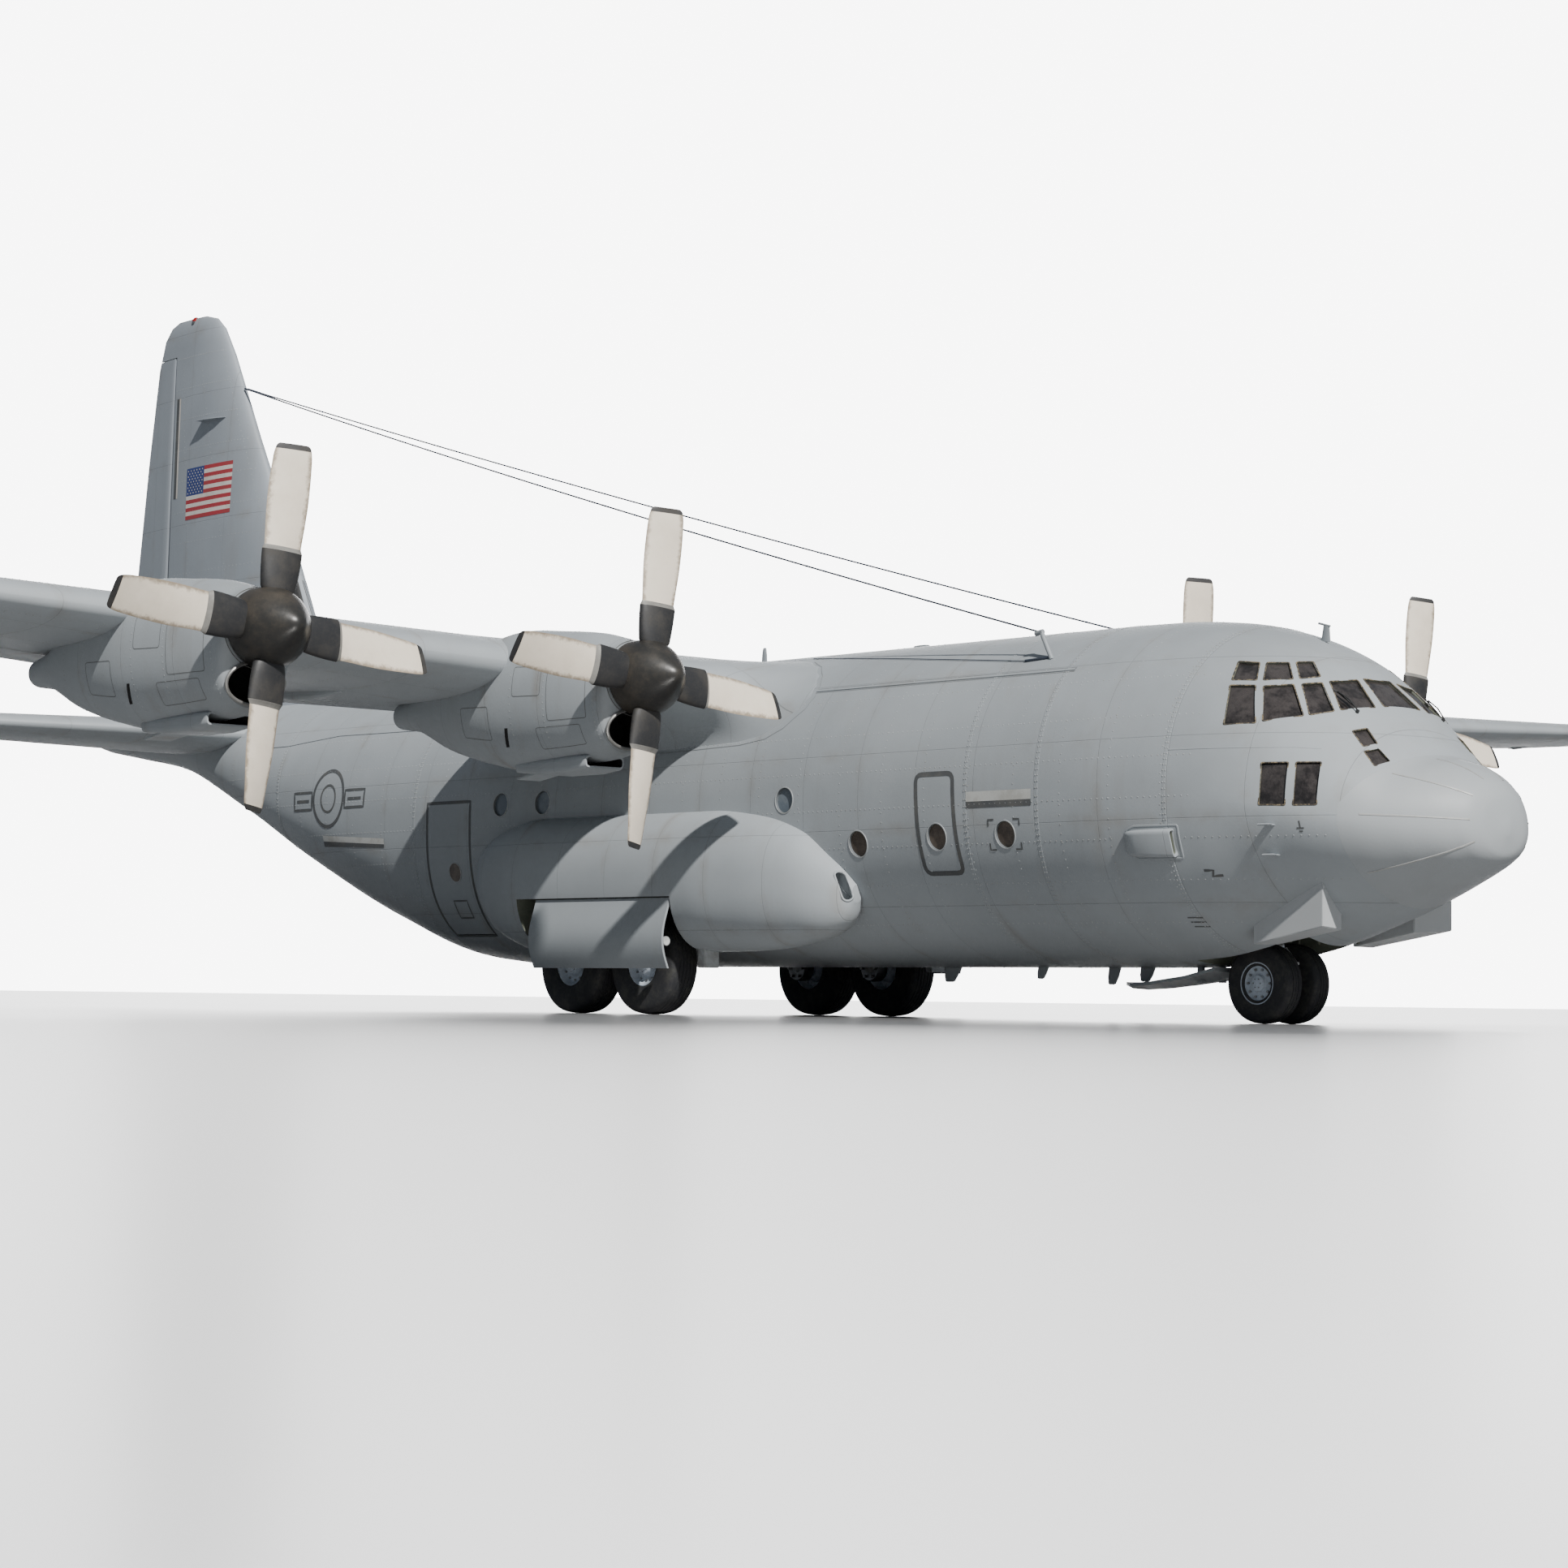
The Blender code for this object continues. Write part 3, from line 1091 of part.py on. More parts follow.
def nose_gear():
    """Steered twin wheels on one leg, and the door that hangs on links behind them."""
    x, z = NOSE_WHEEL_X, NOSE_TYRE_RADIUS
    upper = add_rod(bmesh.new(), (x, 0, 0.98), (x, 0, NOSE_WELL_Z - SEAT_GAP), 0.12, 14)
    leg = add_object("nose_leg", upper, WHITE)
    rod = add_rod(bmesh.new(), (x, 0, 1.15), (x - 0.60, 0, NOSE_WELL_Z - 0.06), 0.05, 10)
    boolean(leg, add_cutter("nose_brace", rod), "UNION")
    fork = add_object("nose_fork", add_rod(bmesh.new(), (x, 0, z + 0.085), (x, 0, 0.98 - SEAT_GAP), 0.075, 14),
                      WHITE, (x, 0, z))
    sleeve = add_lathe(bmesh.new(), ((-0.10, 0.0575), (-0.10, 0.11), (0.10, 0.11), (0.10, 0.0575)),
                       (x, 0, z), "Y", 16, closed=True)
    boolean(fork, add_cutter("nose_axle_sleeve", sleeve), "UNION")
    rim = 0.205
    bead = rim - SEAT_GAP
    half = ((0.115, 0.055), (0.115, 0.13), (0.13, 0.17), (0.13, bead), (0.37, bead), (0.37, 0.17), (0.33, 0.12),
            (0.37, 0.08))
    profile = [(-a, r) for a, r in reversed(half)] + list(half)
    profile = [(-0.37, 0.0005)] + profile + [(0.37, 0.0005)]
    add_object("nose_wheels", add_lathe(bmesh.new(), profile, (x, 0, z), "Y", 18), METAL, (x, 0, z))
    for label, side in SIDES:
        tyre("nose_tyre_" + label, (x, side * NOSE_WHEEL_Y, z), NOSE_TYRE_RADIUS, NOSE_TYRE_WIDTH, rim, 18)
    rings = []
    for px, half_width, pz in ((9.05, 0.46, 0.60), (8.60, 0.48, 0.50), (8.00, 0.44, 0.43), (7.60, 0.34, 0.41),
                               (7.34, 0.12, 0.425)):
        rings.append([(px, -half_width, pz + 0.06), (px, half_width, pz + 0.06), (px, half_width, pz + 0.02),
                      (px, 0, pz - 0.02), (px, -half_width, pz + 0.02)])
    door = add_object("nose_aft_door", solid(rings), GREY)
    for label, side in SIDES:
        top = skin_bottom(8.62, 0.2) + 0.05
        link = add_prism(bmesh.new(), ((8.58, side * 0.17, 0.48), (8.66, side * 0.17, 0.48),
                                       (8.66, side * 0.17, top), (8.58, side * 0.17, top)), (0, side * 0.05, 0))
        boolean(door, add_cutter("nose_door_link_" + label, link), "UNION")
    boolean(door, hull_guide("cut_link_seat", (BULKHEAD_X, 8.6, 9.3)))


def engines():
    """Numbered 1 to 4 from the port wing tip to the starboard one."""
    hubs = {1: OUTER_ENGINE, 2: INNER_ENGINE,
            3: (INNER_ENGINE[0], -INNER_ENGINE[1], INNER_ENGINE[2]),
            4: (OUTER_ENGINE[0], -OUTER_ENGINE[1], OUTER_ENGINE[2])}
    for number, hub in hubs.items():
        nacelle(number, hub)


fuselage()
doors()
interior()
wing()
engines()
tail()
main_gear()
nose_gear()
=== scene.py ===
"""Looks for the military transport plane: fine skins, paint, glass, seams, rivets and fittings.

Sizes are of the full-size plane in metres: x forward from the middle of the main gear, y to port,
z up from the ground. Every piece is built at MODEL_SCALE in the frame of the part.
"""
import math

import bmesh
import bpy
from mathutils import Matrix, Vector


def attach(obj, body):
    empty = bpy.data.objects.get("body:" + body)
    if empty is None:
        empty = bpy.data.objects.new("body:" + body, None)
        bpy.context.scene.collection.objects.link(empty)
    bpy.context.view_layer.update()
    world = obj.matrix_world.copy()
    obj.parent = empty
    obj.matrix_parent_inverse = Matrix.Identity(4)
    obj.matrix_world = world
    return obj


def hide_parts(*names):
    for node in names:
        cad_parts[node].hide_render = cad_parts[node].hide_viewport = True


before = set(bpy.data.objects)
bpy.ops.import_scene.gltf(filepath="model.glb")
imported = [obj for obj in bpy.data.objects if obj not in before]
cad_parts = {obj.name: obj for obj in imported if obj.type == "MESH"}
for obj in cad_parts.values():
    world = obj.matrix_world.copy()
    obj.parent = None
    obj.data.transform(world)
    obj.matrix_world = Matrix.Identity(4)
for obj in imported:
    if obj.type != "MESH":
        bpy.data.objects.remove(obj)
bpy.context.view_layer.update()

# Scale and clearances, as in the part
MODEL_SCALE = 0.5
MID_LENGTH_X = -1.935
SEAT_GAP = 0.0006
RUNNING_GAP = 0.012
HULL_SIDES = 128

# Fuselage
WALL = 0.10
RADOME_X = 11.74
BULKHEAD_X = 7.96
LINING_FRONT_X = 11.64
WING_JOINT_X = 2.07
RAMP_X = -4.53
TAIL_X = -16.83
DECK_Z = 1.85
FLOOR_Z = 1.03
UNDERFLOOR_Z = 0.93
HOLD_HALF_WIDTH = 1.58
UPPER_FULLNESS = 2.1
JOINT_LEAN = 0.60
LEAN_FROM_Z = 2.45
LEAN_REACH = 0.95

# station, crown, keel, half width, height of the widest point, fullness of the lower half
HULL_LINES = (
    (12.96, 2.26, 2.14, 0.05, 2.20, 2.0),
    (12.90, 2.60, 1.91, 0.40, 2.21, 2.0),
    (12.70, 2.83, 1.77, 0.72, 2.22, 2.0),
    (12.40, 2.98, 1.64, 1.02, 2.23, 1.95),
    (12.12, 3.06, 1.52, 1.24, 2.26, 1.9),
    (11.85, 3.28, 1.39, 1.43, 2.30, 1.8),
    (11.50, 3.64, 1.23, 1.62, 2.36, 1.7),
    (11.10, 4.00, 1.08, 1.79, 2.44, 1.65),
    (10.60, 4.36, 0.93, 1.94, 2.54, 1.75),
    (10.00, 4.61, 0.80, 2.05, 2.64, 2.05),
    (9.30, 4.77, 0.71, 2.12, 2.72, 2.3),
    (8.40, 4.84, 0.66, 2.16, 2.76, 2.3),
    (7.50, 4.85, 0.66, 2.16, 2.76, 2.3),
    (5.00, 4.85, 0.66, 2.16, 2.76, 2.3),
    (2.07, 4.85, 0.66, 2.16, 2.76, 2.8),
    (-3.20, 4.85, 0.66, 2.16, 2.76, 2.8),
    (-4.53, 4.85, 0.74, 2.16, 2.78, 2.8),
    (-6.10, 4.85, 1.19, 2.12, 2.88, 2.8),
    (-8.24, 4.86, 2.04, 1.98, 3.22, 2.8),
    (-10.10, 4.87, 2.86, 1.76, 3.62, 2.7),
    (-12.90, 4.90, 3.80, 1.26, 4.25, 2.5),
    (-15.60, 4.88, 4.22, 0.78, 4.54, 2.2),
    (-16.50, 4.80, 4.36, 0.50, 4.58, 2.0),
    (-16.83, 4.66, 4.50, 0.16, 4.58, 2.0),
)

# Wing
SPAN = 40.41
ROOT_CHORD = 4.88
TIP_CHORD = 2.49
WING_JOINT_Y = 5.59
WING_LE_X = 1.80
TIP_LE_X = 0.95
WING_LE_Z = 4.40
DIHEDRAL = math.radians(2.5)
INCIDENCE = math.radians(3.0)
FLAP_FRACTION = 0.70
AILERON_HINGE = 0.75

# Power plants
PROP_RADIUS = 2.10
INNER_ENGINE = (3.94, 4.95, 4.107)
OUTER_ENGINE = (3.64, 10.20, 4.323)
HUBS = {1: OUTER_ENGINE, 2: INNER_ENGINE, 3: (INNER_ENGINE[0], -INNER_ENGINE[1], INNER_ENGINE[2]),
        4: (OUTER_ENGINE[0], -OUTER_ENGINE[1], OUTER_ENGINE[2])}

# Landing gear
MAIN_TYRE_RADIUS = 0.67
MAIN_TYRE_WIDTH = 0.48
MAIN_WHEEL_X = 0.762
MAIN_WHEEL_Y = 2.18
NOSE_TYRE_RADIUS = 0.475
NOSE_TYRE_WIDTH = 0.30
NOSE_WHEEL_X = 9.66
NOSE_WHEEL_Y = 0.25

# Wells and doors: stations, then distance from the middle or heights
NOSE_WELL_X = (8.95, 10.55)
NOSE_WELL_Z = 1.55
WELL = (-1.60, 1.60, 1.64, 1.90)
CREW_DOOR = (8.70, 9.46, 1.06, 2.80)
PARA_DOOR = (-4.40, -3.42, 1.10, 2.95)
RAMP_HALF_WIDTH = 1.44
RAMP_REAR_X = -7.90
CARGO_DOOR_HALF_WIDTH = 1.20
CARGO_DOOR_X = (-11.20, -7.92)
DOOR_THICKNESS = 0.10
PARA_GAP = 0.008
RAMP_REAR_Z = 2.22
GEAR_DOOR_X = (-1.20, 1.62)
GEAR_DOOR_HINGE = (2.66, 1.53)
GEAR_DOOR_LENGTH = 0.92
GEAR_DOOR_THICKNESS = 0.03

SIDES = (("left", 1), ("right", -1))


# Camera of the photograph, and the light

# Place in metres of the model; yaw, upward pitch and roll in degrees; lens and sensor in millimetres
CAMERA_PLACE = (19.3604, -16.0875, 0.11135)
CAMERA_TURN = (138.1497, 3.4932, 0.6917)
CAMERA_LENS = 80.92
CAMERA_SENSOR = 36
CAMERA_REACH = 2000

# The sun and the middle of the bright backdrop are given by the way towards them
SUN_WAY = (0.709, -0.258, 0.656)
SUN_COLOUR = (1.0, 0.975, 0.94)
SUN_ENERGY = 6.2
SUN_DEGREES = 1.2
BACKDROP_WAY = (-0.745, 0.667, 0.04)
BACKDROP_EDGE = (0.925, 0.957)
BACKDROP_STRENGTH = 8.0
DOME_COLOUR = (0.21, 0.235, 0.27, 1)
FLOOR_REACH = 600
FLOOR_SIDES = 96
FLOOR_COLOUR = (0.15, 0.15, 0.153, 1)
FLOOR_ROUGHNESS = 0.28
FLOOR_IOR = 2.6


def put(obj):
    """Link an object into the scene."""
    bpy.context.scene.collection.objects.link(obj)
    return obj


def turns(count, shift=0.0):
    """Angles of points spaced evenly round a circle."""
    return [2 * math.pi * (k + shift) / count for k in range(count)]


def add_camera():
    """Stands to starboard of the nose just above the floor, looking slightly up."""
    yaw, pitch, roll = (math.radians(a) for a in CAMERA_TURN)
    ahead = Vector((math.cos(pitch) * math.cos(yaw), math.cos(pitch) * math.sin(yaw), math.sin(pitch)))
    level = ahead.cross(Vector((0, 0, 1))).normalized()
    above = level.cross(ahead)
    right = math.cos(roll) * level + math.sin(roll) * above
    up = -math.sin(roll) * level + math.cos(roll) * above
    data = bpy.data.cameras.new("camera")
    data.sensor_width = CAMERA_SENSOR
    data.lens = CAMERA_LENS
    data.clip_end = CAMERA_REACH
    camera = put(bpy.data.objects.new("camera", data))
    turned = Matrix((right, up, -ahead)).transposed().to_4x4()
    camera.matrix_world = Matrix.Translation(CAMERA_PLACE) @ turned
    bpy.context.scene.camera = camera


def add_sun():
    """A sun from ahead and a little to starboard, as the shadows on the nose and the sponson show it."""
    lamp = bpy.data.lights.new("sun", "SUN")
    lamp.energy = SUN_ENERGY
    lamp.angle = math.radians(SUN_DEGREES)
    lamp.color = SUN_COLOUR
    sun = put(bpy.data.objects.new("sun", lamp))
    sun.rotation_euler = Vector(SUN_WAY).to_track_quat("Z", "Y").to_euler()


def add_world():
    """A dim dome with a bright backdrop behind the plane; the plain background is pale from every side."""
    world = bpy.data.worlds.new("studio")
    world.use_nodes = True
    tree = world.node_tree
    sky = tree.nodes["Background"]
    around = add(tree, "ShaderNodeTexCoord").outputs["Generated"]
    facing = add(tree, "ShaderNodeVectorMath", {0: around, 1: BACKDROP_WAY}, operation="DOT_PRODUCT")
    seen = add(tree, "ShaderNodeLightPath").outputs["Is Camera Ray"]
    lit = calc(tree, "MAXIMUM", ramp(tree, facing.outputs["Value"], *BACKDROP_EDGE), seen)
    tree.links.new(mix(tree, lit, DOME_COLOUR, (1, 1, 1, 1)), sky.inputs["Color"])
    tree.links.new(ramp(tree, lit, 0.0, 1.0, 1.0, BACKDROP_STRENGTH), sky.inputs["Strength"])
    bpy.context.scene.world = world


def add_floor():
    """A wide plain disc, smooth enough to mirror the backdrop."""
    mesh = bpy.data.meshes.new("floor")
    rim = [(FLOOR_REACH * math.cos(a), FLOOR_REACH * math.sin(a), 0) for a in turns(FLOOR_SIDES)]
    mesh.from_pydata(rim, [], [tuple(range(FLOOR_SIDES))])
    floor = put(bpy.data.objects.new("floor", mesh))
    material = bpy.data.materials.new("pale_floor")
    material.use_nodes = True
    shader = material.node_tree.nodes["Principled BSDF"]
    shader.inputs["Base Color"].default_value = FLOOR_COLOUR
    shader.inputs["Roughness"].default_value = FLOOR_ROUGHNESS
    shader.inputs["IOR"].default_value = FLOOR_IOR
    mesh.materials.append(material)


# Materials

def linear(hex_code):
    """Linear colour from an sRGB hex code."""
    channels = [int(hex_code[k:k + 2], 16) / 255 for k in (0, 2, 4)]
    return [c / 12.92 if c < 0.04045 else ((c + 0.055) / 1.055) ** 2.4 for c in channels] + [1]


def add(tree, kind, inputs=None, **settings):
    """One shader node with its settings, and its inputs linked or set."""
    node = tree.nodes.new(kind)
    for key, value in settings.items():
        setattr(node, key, value)
    for key, value in (inputs or {}).items():
        if isinstance(value, bpy.types.NodeSocket):
            tree.links.new(value, node.inputs[key])
        else:
            node.inputs[key].default_value = value
    return node


def ramp(tree, value, low, high, to_low=0.0, to_high=1.0):
    """Turn a value from one range to another, smoothly and clamped."""
    node = add(tree, "ShaderNodeMapRange", {0: value, 1: low, 2: high, 3: to_low, 4: to_high},
               interpolation_type="SMOOTHSTEP")
    return node.outputs[0]


def calc(tree, operation, first, second=0.0, third=0.0):
    return add(tree, "ShaderNodeMath", {0: first, 1: second, 2: third}, operation=operation).outputs[0]


def times(tree, first, second):
    return calc(tree, "MULTIPLY", first, second)


def mix(tree, factor, first, second):
    """Mix two colours."""
    return add(tree, "ShaderNodeMix", {0: factor, 6: first, 7: second}, data_type="RGBA").outputs[2]


def noise(tree, vector, scale, detail=3.0, roughness=0.5):
    node = add(tree, "ShaderNodeTexNoise", {"Vector": vector, "Scale": scale, "Detail": detail,
                                           "Roughness": roughness})
    return node.outputs[0]


def start(name, roughness, metallic=0.0, specular=0.5):
    """A new material with its tree, its shader and its Object coordinates."""
    material = bpy.data.materials.new(name)
    material.use_nodes = True
    tree = material.node_tree
    shader = tree.nodes["Principled BSDF"]
    shader.inputs["Roughness"].default_value = roughness
    shader.inputs["Metallic"].default_value = metallic
    shader.inputs["Specular IOR Level"].default_value = specular
    place = add(tree, "ShaderNodeTexCoord").outputs["Object"]
    return material, tree, shader, place


def add_bump(tree, shader, height, strength):
    """Raise the surface by a height in metres."""
    bump = add(tree, "ShaderNodeBump", {"Strength": strength, "Distance": 1.0, "Height": height})
    tree.links.new(bump.outputs[0], shader.inputs["Normal"])


def stretched(tree, place, scale):
    return add(tree, "ShaderNodeMapping", {"Vector": place, "Scale": scale}).outputs[0]


def seam_distance(tree, place, seams):
    """Distance in metres to the nearest of several families of seam planes."""
    axes = add(tree, "ShaderNodeSeparateXYZ", {0: place}).outputs
    nearest = None
    for axis, pitch, offset in seams:
        shifted = calc(tree, "SUBTRACT", axes["XYZ".index(axis)], offset)
        gap = calc(tree, "PINGPONG", shifted, pitch / 2)
        nearest = gap if nearest is None else calc(tree, "MINIMUM", nearest, gap)
    return nearest


STAIN_HEX = "7f776b"
SEAM_HEX = "4d4f50"


def paint(name, hex_code, seams=(), roughness=0.52, stain=1.0):
    """Matt aircraft enamel: faded in patches, rain streaks, brown stains that start at the seams."""
    material, tree, shader, place = start(name, roughness, specular=0.35)
    patches = noise(tree, place, 0.45, 5.0, 0.6)
    streaks = noise(tree, stretched(tree, place, (3.2, 3.2, 0.35)), 1.0, 4.0, 0.65)
    grit = noise(tree, place, 55.0, 2.0)
    base = linear(hex_code)
    light = [min(1.0, c * 1.10) for c in base[:3]] + [1]
    dark = [c * 0.88 for c in base[:3]] + [1]
    colour = mix(tree, ramp(tree, patches, 0.30, 0.70), dark, light)
    brown = linear(STAIN_HEX)
    colour = mix(tree, times(tree, ramp(tree, streaks, 0.52, 0.78), 0.16 * stain), colour, brown)
    height = times(tree, grit, 0.0004)
    if seams:
        away = seam_distance(tree, place, seams)
        line = ramp(tree, away, 0.0006, 0.0028, 1.0, 0.0)
        halo = ramp(tree, away, 0.0, 0.07, 1.0, 0.0)
        soiled = times(tree, halo, ramp(tree, noise(tree, place, 2.2, 5.0, 0.7), 0.45, 0.70))
        colour = mix(tree, times(tree, soiled, 0.30 * stain), colour, brown)
        colour = mix(tree, times(tree, line, 0.38), colour, linear(SEAM_HEX))
        height = calc(tree, "SUBTRACT", height, times(tree, line, 0.0012))
    colour = mix(tree, times(tree, ramp(tree, grit, 0.60, 0.78), 0.10), colour, light)
    tree.links.new(colour, shader.inputs["Base Color"])
    tree.links.new(ramp(tree, patches, 0.3, 0.7, roughness - 0.06, roughness + 0.08),
                   shader.inputs["Roughness"])
    add_bump(tree, shader, height, 0.6)
    return material


def worn(name, hex_code, dirt_hex, roughness, metallic=0.0, dirt=0.35, scale=6.0, bumps=0.0006):
    """One plain finish with dirt in patches and fine bumps."""
    material, tree, shader, place = start(name, roughness, metallic)
    patches = noise(tree, place, scale, 6.0, 0.65)
    amount = times(tree, ramp(tree, patches, 0.42, 0.68), dirt)
    colour = mix(tree, amount, linear(hex_code), linear(dirt_hex))
    grain = noise(tree, place, scale * 14, 3.0)
    colour = mix(tree, times(tree, ramp(tree, grain, 0.45, 0.75), 0.10), colour, linear(dirt_hex))
    tree.links.new(colour, shader.inputs["Base Color"])
    tree.links.new(ramp(tree, patches, 0.35, 0.7, roughness * 0.85, min(1.0, roughness * 1.2)),
                   shader.inputs["Roughness"])
    if bumps:
        add_bump(tree, shader, times(tree, grain, bumps), 0.7)
    return material


def glass_finish():
    """Cockpit glass seen from outside: nearly black, with dust settled in blotches."""
    material, tree, shader, place = start("cockpit_glass", 0.10, specular=0.6)
    dust = noise(tree, place, 9.0, 7.0, 0.75)
    smears = noise(tree, stretched(tree, place, (14, 14, 3)), 1.0, 5.0, 0.7)
    colour = mix(tree, ramp(tree, dust, 0.36, 0.60), linear("211f1f"), linear("3f3b3a"))
    colour = mix(tree, times(tree, ramp(tree, smears, 0.55, 0.8), 0.12), colour, linear("6f6c69"))
    tree.links.new(colour, shader.inputs["Base Color"])
    tree.links.new(ramp(tree, dust, 0.4, 0.8, 0.06, 0.42), shader.inputs["Roughness"])
    shader.inputs["Alpha"].default_value = 0.93
    return material


def blade_finish():
    """Cream blade paint worn to brown along its edges, told from the distance to the blade's middle."""
    material, tree, shader, place = start("blade_cream", 0.45, specular=0.4)
    patches = noise(tree, place, 3.0, 6.0, 0.7)
    fine = noise(tree, place, 26.0, 5.0, 0.7)
    edge = add(tree, "ShaderNodeAttribute", attribute_name="edge").outputs["Fac"]
    rubbed = calc(tree, "ADD", edge, times(tree, calc(tree, "SUBTRACT", fine, 0.5), 0.55))
    faded = times(tree, ramp(tree, patches, 0.40, 0.70), 0.25)
    colour = mix(tree, faded, linear("e6dccb"), linear("b5a993"))
    colour = mix(tree, times(tree, ramp(tree, rubbed, 0.72, 1.0), 0.75), colour, linear("6e5d48"))
    tree.links.new(colour, shader.inputs["Base Color"])
    return material


def rubber_finish():
    """Tyre rubber: near black, dusted grey in blotches."""
    material, tree, shader, place = start("tyre_rubber", 0.75, specular=0.3)
    dust = noise(tree, place, 11.0, 6.0, 0.7)
    fine = noise(tree, place, 160.0, 3.0)
    dusted = times(tree, ramp(tree, dust, 0.42, 0.75), 0.45)
    tree.links.new(mix(tree, dusted, linear("2c2d30"), linear("58574f")), shader.inputs["Base Color"])
    add_bump(tree, shader, times(tree, fine, 0.0008), 0.6)
    return material


GREY_HEX = "969ca0"
HULL_SEAMS = (("X", 0.508, 4.8175), ("Z", 0.475, 0.2195))
# Painted sheet metal: the seams break a big grey surface into real sheets
HULL_PAINT = paint("hull_grey", GREY_HEX, HULL_SEAMS)
RADOME_PAINT = paint("radome_grey", "989da0", roughness=0.42, stain=0.6)
WING_PAINT = paint("wing_grey", GREY_HEX, (("Y", 0.61, 0.3), ("X", 0.55, 0.35)))
FIN_PAINT = paint("fin_grey", "9299a0", (("Z", 0.55, 0.21), ("X", 0.62, 0.1)))
NACELLE_PAINT = paint("nacelle_grey", GREY_HEX, (("X", 0.52, 0.12),), stain=1.6)
POD_PAINT = paint("sponson_grey", GREY_HEX, (("X", 0.50, 0.12), ("Z", 0.6, 0.55)))
DOOR_PAINT = paint("door_grey", "8f9599", roughness=0.5)
# Zinc chromate primer inside: tells the eye that the shell is hollow sheet metal
PRIMER = worn("interior_primer", "6f7468", "45463f", 0.7, scale=4)
DECK = worn("deck_grit", "55585a", "2f2f2d", 0.85, scale=8, bumps=0.002)
GLASS = glass_finish()
SEAL = worn("window_sealant", "2e2c2a", "9a8a6c", 0.7, dirt=0.75, scale=55)
BLACK = worn("black_paint", "1f2022", "4a4640", 0.6, scale=5)
# Near-black painted shade for the insides of the chin intakes, the oil cooler mouths and the cowling slots
OPENING_SHADE = worn("opening_painted_shade", "0c0c0d", "201e1b", 0.9)
SPINNER = worn("spinner_black", "252524", "4f473c", 0.40, dirt=0.45, scale=3.2)
CUFF = worn("cuff_rubber", "242527", "4d4840", 0.6, scale=4)
BLADE = blade_finish()
BAND = worn("blade_band", "7e7d79", "4b4843", 0.5, scale=8)
RUBBER = rubber_finish()
RIM = worn("rim_enamel", "b2bdc9", "55524c", 0.42, scale=9)
STEEL = worn("bare_steel", "8f9192", "4f4a43", 0.35, 0.9, scale=14)
CHROME = worn("oleo_chrome", "d5d7d8", "9a9a98", 0.12, 1.0, dirt=0.15, scale=10, bumps=0)
GEAR = worn("gear_enamel", "a9aeb0", "5b554a", 0.5, dirt=0.5, scale=7)
HOSE = worn("black_hose", "17181a", "3a3733", 0.6, scale=30)
SOOT = worn("sooty_metal", "3a3836", "141312", 0.55, 0.6, dirt=0.7, scale=5)
LIP = worn("intake_lip", "9b9b99", "5b5750", 0.35, 0.6, scale=12)
STRIP = worn("lightning_strip", "b2b4b3", "77756c", 0.45, 0.3, scale=20, bumps=0)
WIRE = worn("antenna_wire", "4a5260", "33363c", 0.5, 0.6, scale=30, bumps=0)
RED = worn("red_beacon", "8e1715", "3f0c0a", 0.2, scale=20, bumps=0)
FLAG_RED = worn("stripe_red", "a3323a", "7b4a46", 0.55, scale=6, bumps=0)
FLAG_WHITE = worn("stripe_white", "cfcac4", "a39d92", 0.55, scale=6, bumps=0)
FLAG_BLUE = worn("field_blue", "303f78", "39405c", 0.55, scale=6, bumps=0)
LAMP = worn("lamp_glass", "cfd3d2", "8a8a84", 0.08, 0.2, scale=20, bumps=0)
GREEN = worn("green_light", "1c6e45", "123f2a", 0.15, scale=20, bumps=0)
ACRYLIC = worn("brown_acrylic", "4c443d", "7a7065", 0.12, dirt=0.5, scale=7, bumps=0)
PORTHOLE = worn("grey_acrylic", "5f6972", "7f8589", 0.12, dirt=0.5, scale=7, bumps=0)
FRAME_PAINT = worn("window_ring_paint", "9a9fa2", "85816f", 0.5, dirt=0.3, scale=9, bumps=0)
# Window reveals painted darker than the hull grey: painted shade in the recess round each pane
REVEAL_SHADE = worn("window_reveal_painted_shade", "64696d", "55524a", 0.6, scale=9, bumps=0)
CHINE_PAINT = paint("chine_grey", "b0b4b6", roughness=0.5, stain=0.8)
EDGE = worn("joint_edge", "777b7d", "66625a", 0.6, scale=9, bumps=0)
MARK = worn("marking_dark", "4c4f51", "6d6b64", 0.6, dirt=0.35, scale=7, bumps=0)
MARK_PALE = worn("marking_pale", "b7b9b6", "8d8a81", 0.6, dirt=0.45, scale=7, bumps=0)
SEAM = worn("panel_seam", "5e5f5e", "4a463f", 0.7, scale=9, bumps=0)
RIVET = worn("rivet_heads", "a4a9ab", "77746c", 0.45, dirt=0.5, scale=4, bumps=0)
SEAT = worn("seat_cloth", "3c4037", "24241f", 0.9, scale=16, bumps=0.001)


# Mesh helpers

def to_model(point):
    return Vector(((point[0] - MID_LENGTH_X) * MODEL_SCALE, point[1] * MODEL_SCALE, point[2] * MODEL_SCALE))


def place_mesh(name, mesh, materials, body, nodes=(), sharp=32):
    """A finished piece at the origin: its materials, its smooth shading and the body it rides on."""
    numbers = [face.material_index for face in mesh.polygons]
    mesh.materials.clear()
    for material in materials if isinstance(materials, (list, tuple)) else [materials]:
        mesh.materials.append(material)
    mesh.polygons.foreach_set("material_index", numbers)
    mesh.shade_smooth()
    mesh.set_sharp_from_angle(angle=math.radians(sharp))
    obj = put(bpy.data.objects.new(name, mesh))
    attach(obj, body)
    if nodes:
        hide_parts(*nodes)
    return obj


def as_mesh(name, bm, flip=True):
    """Scale a full-size bmesh to the model."""
    for vert in bm.verts:
        vert.co = to_model(vert.co)
    if flip:
        bmesh.ops.recalc_face_normals(bm, faces=bm.faces)
    mesh = bpy.data.meshes.new(name)
    bm.to_mesh(mesh)
    bm.free()
    return mesh


